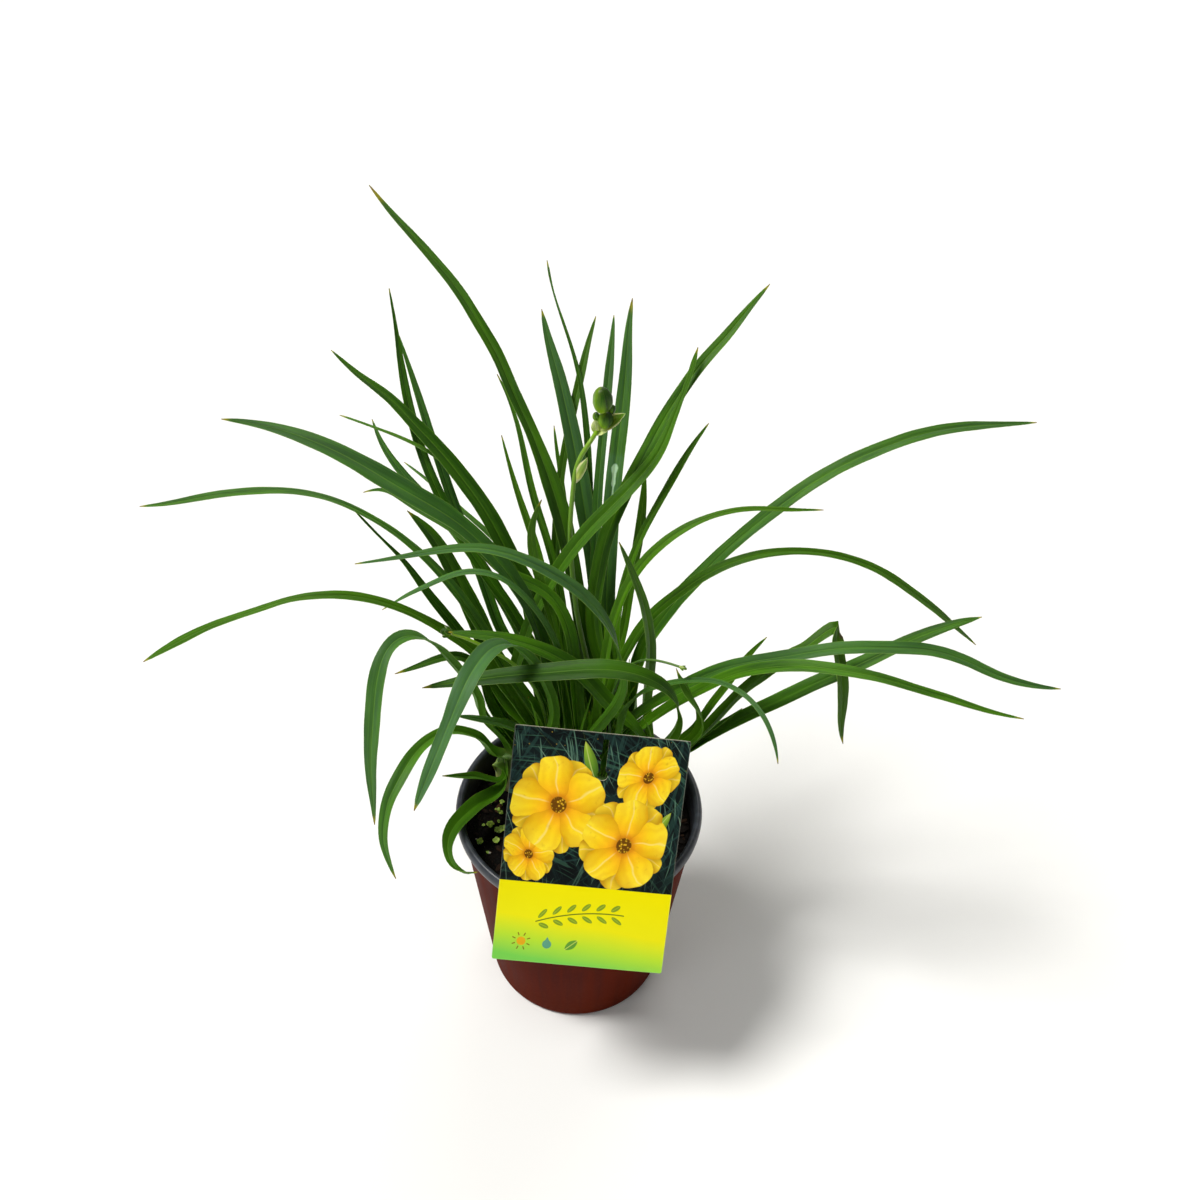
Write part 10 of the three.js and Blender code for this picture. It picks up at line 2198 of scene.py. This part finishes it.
# ---- picture tag ------------------------------------------------------------------------------------------------
def tag():
    """A card with rounded corners and a keyhole slot; its faces are filled by a constrained triangulation."""
    from mathutils.geometry import delaunay_2d_cdt

    hw, hh, r = TAG_WIDTH / 2 - 0.05, TAG_HEIGHT / 2 - 0.05, 1.3
    outer = []
    for cx, cz, a0 in ((hw - r, hh - r, 0), (-hw + r, hh - r, 90), (-hw + r, -hh + r, 180), (hw - r, -hh + r, 270)):
        outer += [(cx + r * math.cos(math.radians(a0 + a)), cz + r * math.sin(math.radians(a0 + a))) for a in (0, 22.5, 45, 67.5, 90)]
    sx, top, middle, bottom, neck, eye = 2.2, 71.6, 60.4, 49.0, 1.7, 3.3
    arc = lambda cx, cz, rad, a0, a1, k: [(cx + rad * math.cos(math.radians(a0 + (a1 - a0) * i / k)), cz + rad * math.sin(math.radians(a0 + (a1 - a0) * i / k))) for i in range(k + 1)]
    slot = [(-neck + 0.5, top), (-neck, top - 0.5), (-neck, middle + 2.9)]
    slot += arc(-neck + 0.5, middle, 1.9, 110, 250, 8)
    slot += [(-neck, middle - 2.9), (-neck, bottom + 3.2)]
    slot += arc(0, bottom, eye, 122, 418, 22)
    slot += [(neck, bottom + 3.2), (neck, middle), (neck, top - 0.5), (neck - 0.5, top)]
    slot = [(sx + x, z) for x, z in slot]
    pts, edges = [], []
    for loop in (outer, slot):
        base = len(pts)
        pts += [Vector(p) for p in loop]
        edges += [(base + i, base + (i + 1) % len(loop)) for i in range(len(loop))]
    grid = [Vector((x, z)) for x in np.arange(-48, 49, 12.0) for z in np.arange(-70, 71, 10.0) if not (-4 < x - sx < 4 and 42 < z < 75)]
    pts += grid
    out_v, out_e, out_f, _, _, _ = delaunay_2d_cdt(pts, edges, [], 1, 1e-5)
    inside = lambda p, loop: sum((a[1] > p[1]) != (c[1] > p[1]) and p[0] < (c[0] - a[0]) * (p[1] - a[1]) / (c[1] - a[1]) + a[0] for a, c in zip(loop, loop[1:] + loop[:1])) % 2
    tris = []
    for f in out_f:
        c = (sum(out_v[i][0] for i in f) / len(f), sum(out_v[i][1] for i in f) / len(f))
        if inside(c, slot):
            continue
        tris.append(tuple(f))
    v2 = np.array([[p[0], p[1]] for p in out_v])
    turn = lambda ax, deg: Matrix.Rotation(math.radians(deg), 3, ax)
    m = np.array(turn("Z", TAG_YAW) @ turn("X", TAG_TILT) @ turn("Y", TAG_ROLL))
    half = TAG_THICKNESS / 2 * 0.85
    nv = len(v2)
    place = lambda y: (np.stack([v2[:, 0], np.full(nv, y), v2[:, 1]], 1) @ m.T) + np.array(TAG_CENTRE)
    front, back = place(-half), place(half)
    area = lambda f: sum(v2[f[i]][0] * v2[f[(i + 1) % 3]][1] - v2[f[(i + 1) % 3]][0] * v2[f[i]][1] for i in range(3))
    tris = [f if area(f) > 0 else f[::-1] for f in tris]
    edge_count = {}
    for f in tris:
        for i in range(3):
            edge_count[(f[i], f[(i + 1) % 3])] = edge_count.get((f[i], f[(i + 1) % 3]), 0) + 1
    rim = [e for e in edge_count if (e[1], e[0]) not in edge_count]
    faces = [tuple(f) for f in tris] + [tuple(nv + i for i in reversed(f)) for f in tris] + [(e[1], e[0], nv + e[0], nv + e[1]) for e in rim]
    mats = [0] * len(tris) + [1] * len(tris) + [2] * len(rim)
    card = np.zeros((2 * nv, 4))
    card[:, 0] = np.r_[v2[:, 0], v2[:, 0]] / 200 + 0.5
    card[:, 1] = np.r_[v2[:, 1], v2[:, 1]] / 200 + 0.5
    sharp = [e for e in rim] + [(nv + a, nv + c) for a, c in rim]
    b = Build()
    b.add(np.vstack([front, back]), faces, mats, sharp, card=card)
    return b.object("picture_card", [CARD_FRONT, CARD_BACK, CARD_EDGE], ["picture_tag"])


tag()

# ---- floor, light and camera ----------------------------------------------------------------------------------
scene = bpy.context.scene
floor_mesh = bpy.data.meshes.new("floor")
ring = [(6 * math.cos(a), 6 * math.sin(a), -0.0002) for a in np.linspace(0, 2 * math.pi, 96, endpoint=False)]
floor_mesh.from_pydata(ring, [], [tuple(range(96))])
floor = bpy.data.objects.new("floor", floor_mesh)
scene.collection.objects.link(floor)
fn = Net("pale_floor")
fvec, _ = fn.place()
ff = fn.noise(fvec, 3.0, 2.0)
floor_mesh.materials.append(fn.finish(fn.mix(ff, (0.80, 0.80, 0.80, 1), (0.84, 0.84, 0.84, 1)), fn.step(ff, 0.2, 0.8, 0.8, 0.9), Specular_IOR_Level=0.1))

world = bpy.data.worlds.new("studio")
scene.world = world
world.use_nodes = True
wn = world.node_tree.nodes["Background"]
wn.inputs[0].default_value = (1.0, 0.995, 0.95, 1)
wn.inputs[1].default_value = 0.27


def light(name, kind, loc, target, power, colour, **props):
    data = bpy.data.lights.new(name, kind)
    data.energy, data.color = power, colour
    for k, v in props.items():
        setattr(data, k, v)
    o = bpy.data.objects.new(name, data)
    o.location = loc
    o.rotation_mode = "QUATERNION"
    o.rotation_quaternion = (Vector(loc) - Vector(target)).to_track_quat("Z", "Y")
    scene.collection.objects.link(o)
    return o


light("key", "SUN", (-0.62, 0.0, 1.15), (0, 0, 0), 3.25, (1.0, 0.985, 0.94), angle=0.3)
light("back_glow", "SUN", (0.25, 1.0, 0.9), (0, 0, 0), 0.7, (1.0, 0.98, 0.92), angle=0.6)
light("front_fill", "AREA", (-1.45, -1.15, 0.75), (0, 0, 0.15), 5.0, (0.95, 0.98, 1.0), shape="DISK", size=1.0)

cam_data = bpy.data.cameras.new("camera")
cam = bpy.data.objects.new("camera", cam_data)
scene.collection.objects.link(cam)
pitch, roll = math.radians(40.73), math.radians(2.07)
fwd = Vector((0, math.cos(pitch), -math.sin(pitch)))
up0, right0 = Vector((0, math.sin(pitch), math.cos(pitch))), Vector((1, 0, 0))
right = right0 * math.cos(roll) + up0 * math.sin(roll)
up = up0 * math.cos(roll) - right0 * math.sin(roll)
cam.matrix_world = Matrix(((right.x, up.x, -fwd.x, 0.0089), (right.y, up.y, -fwd.y, -0.4708), (right.z, up.z, -fwd.z, 0.7497), (0, 0, 0, 1)))
cam_data.sensor_fit, cam_data.sensor_width, cam_data.lens = "HORIZONTAL", 36.0, 32.958
cam_data.clip_start, cam_data.clip_end = 0.01, 50
scene.camera = cam
scene.view_settings.view_transform = "Standard"
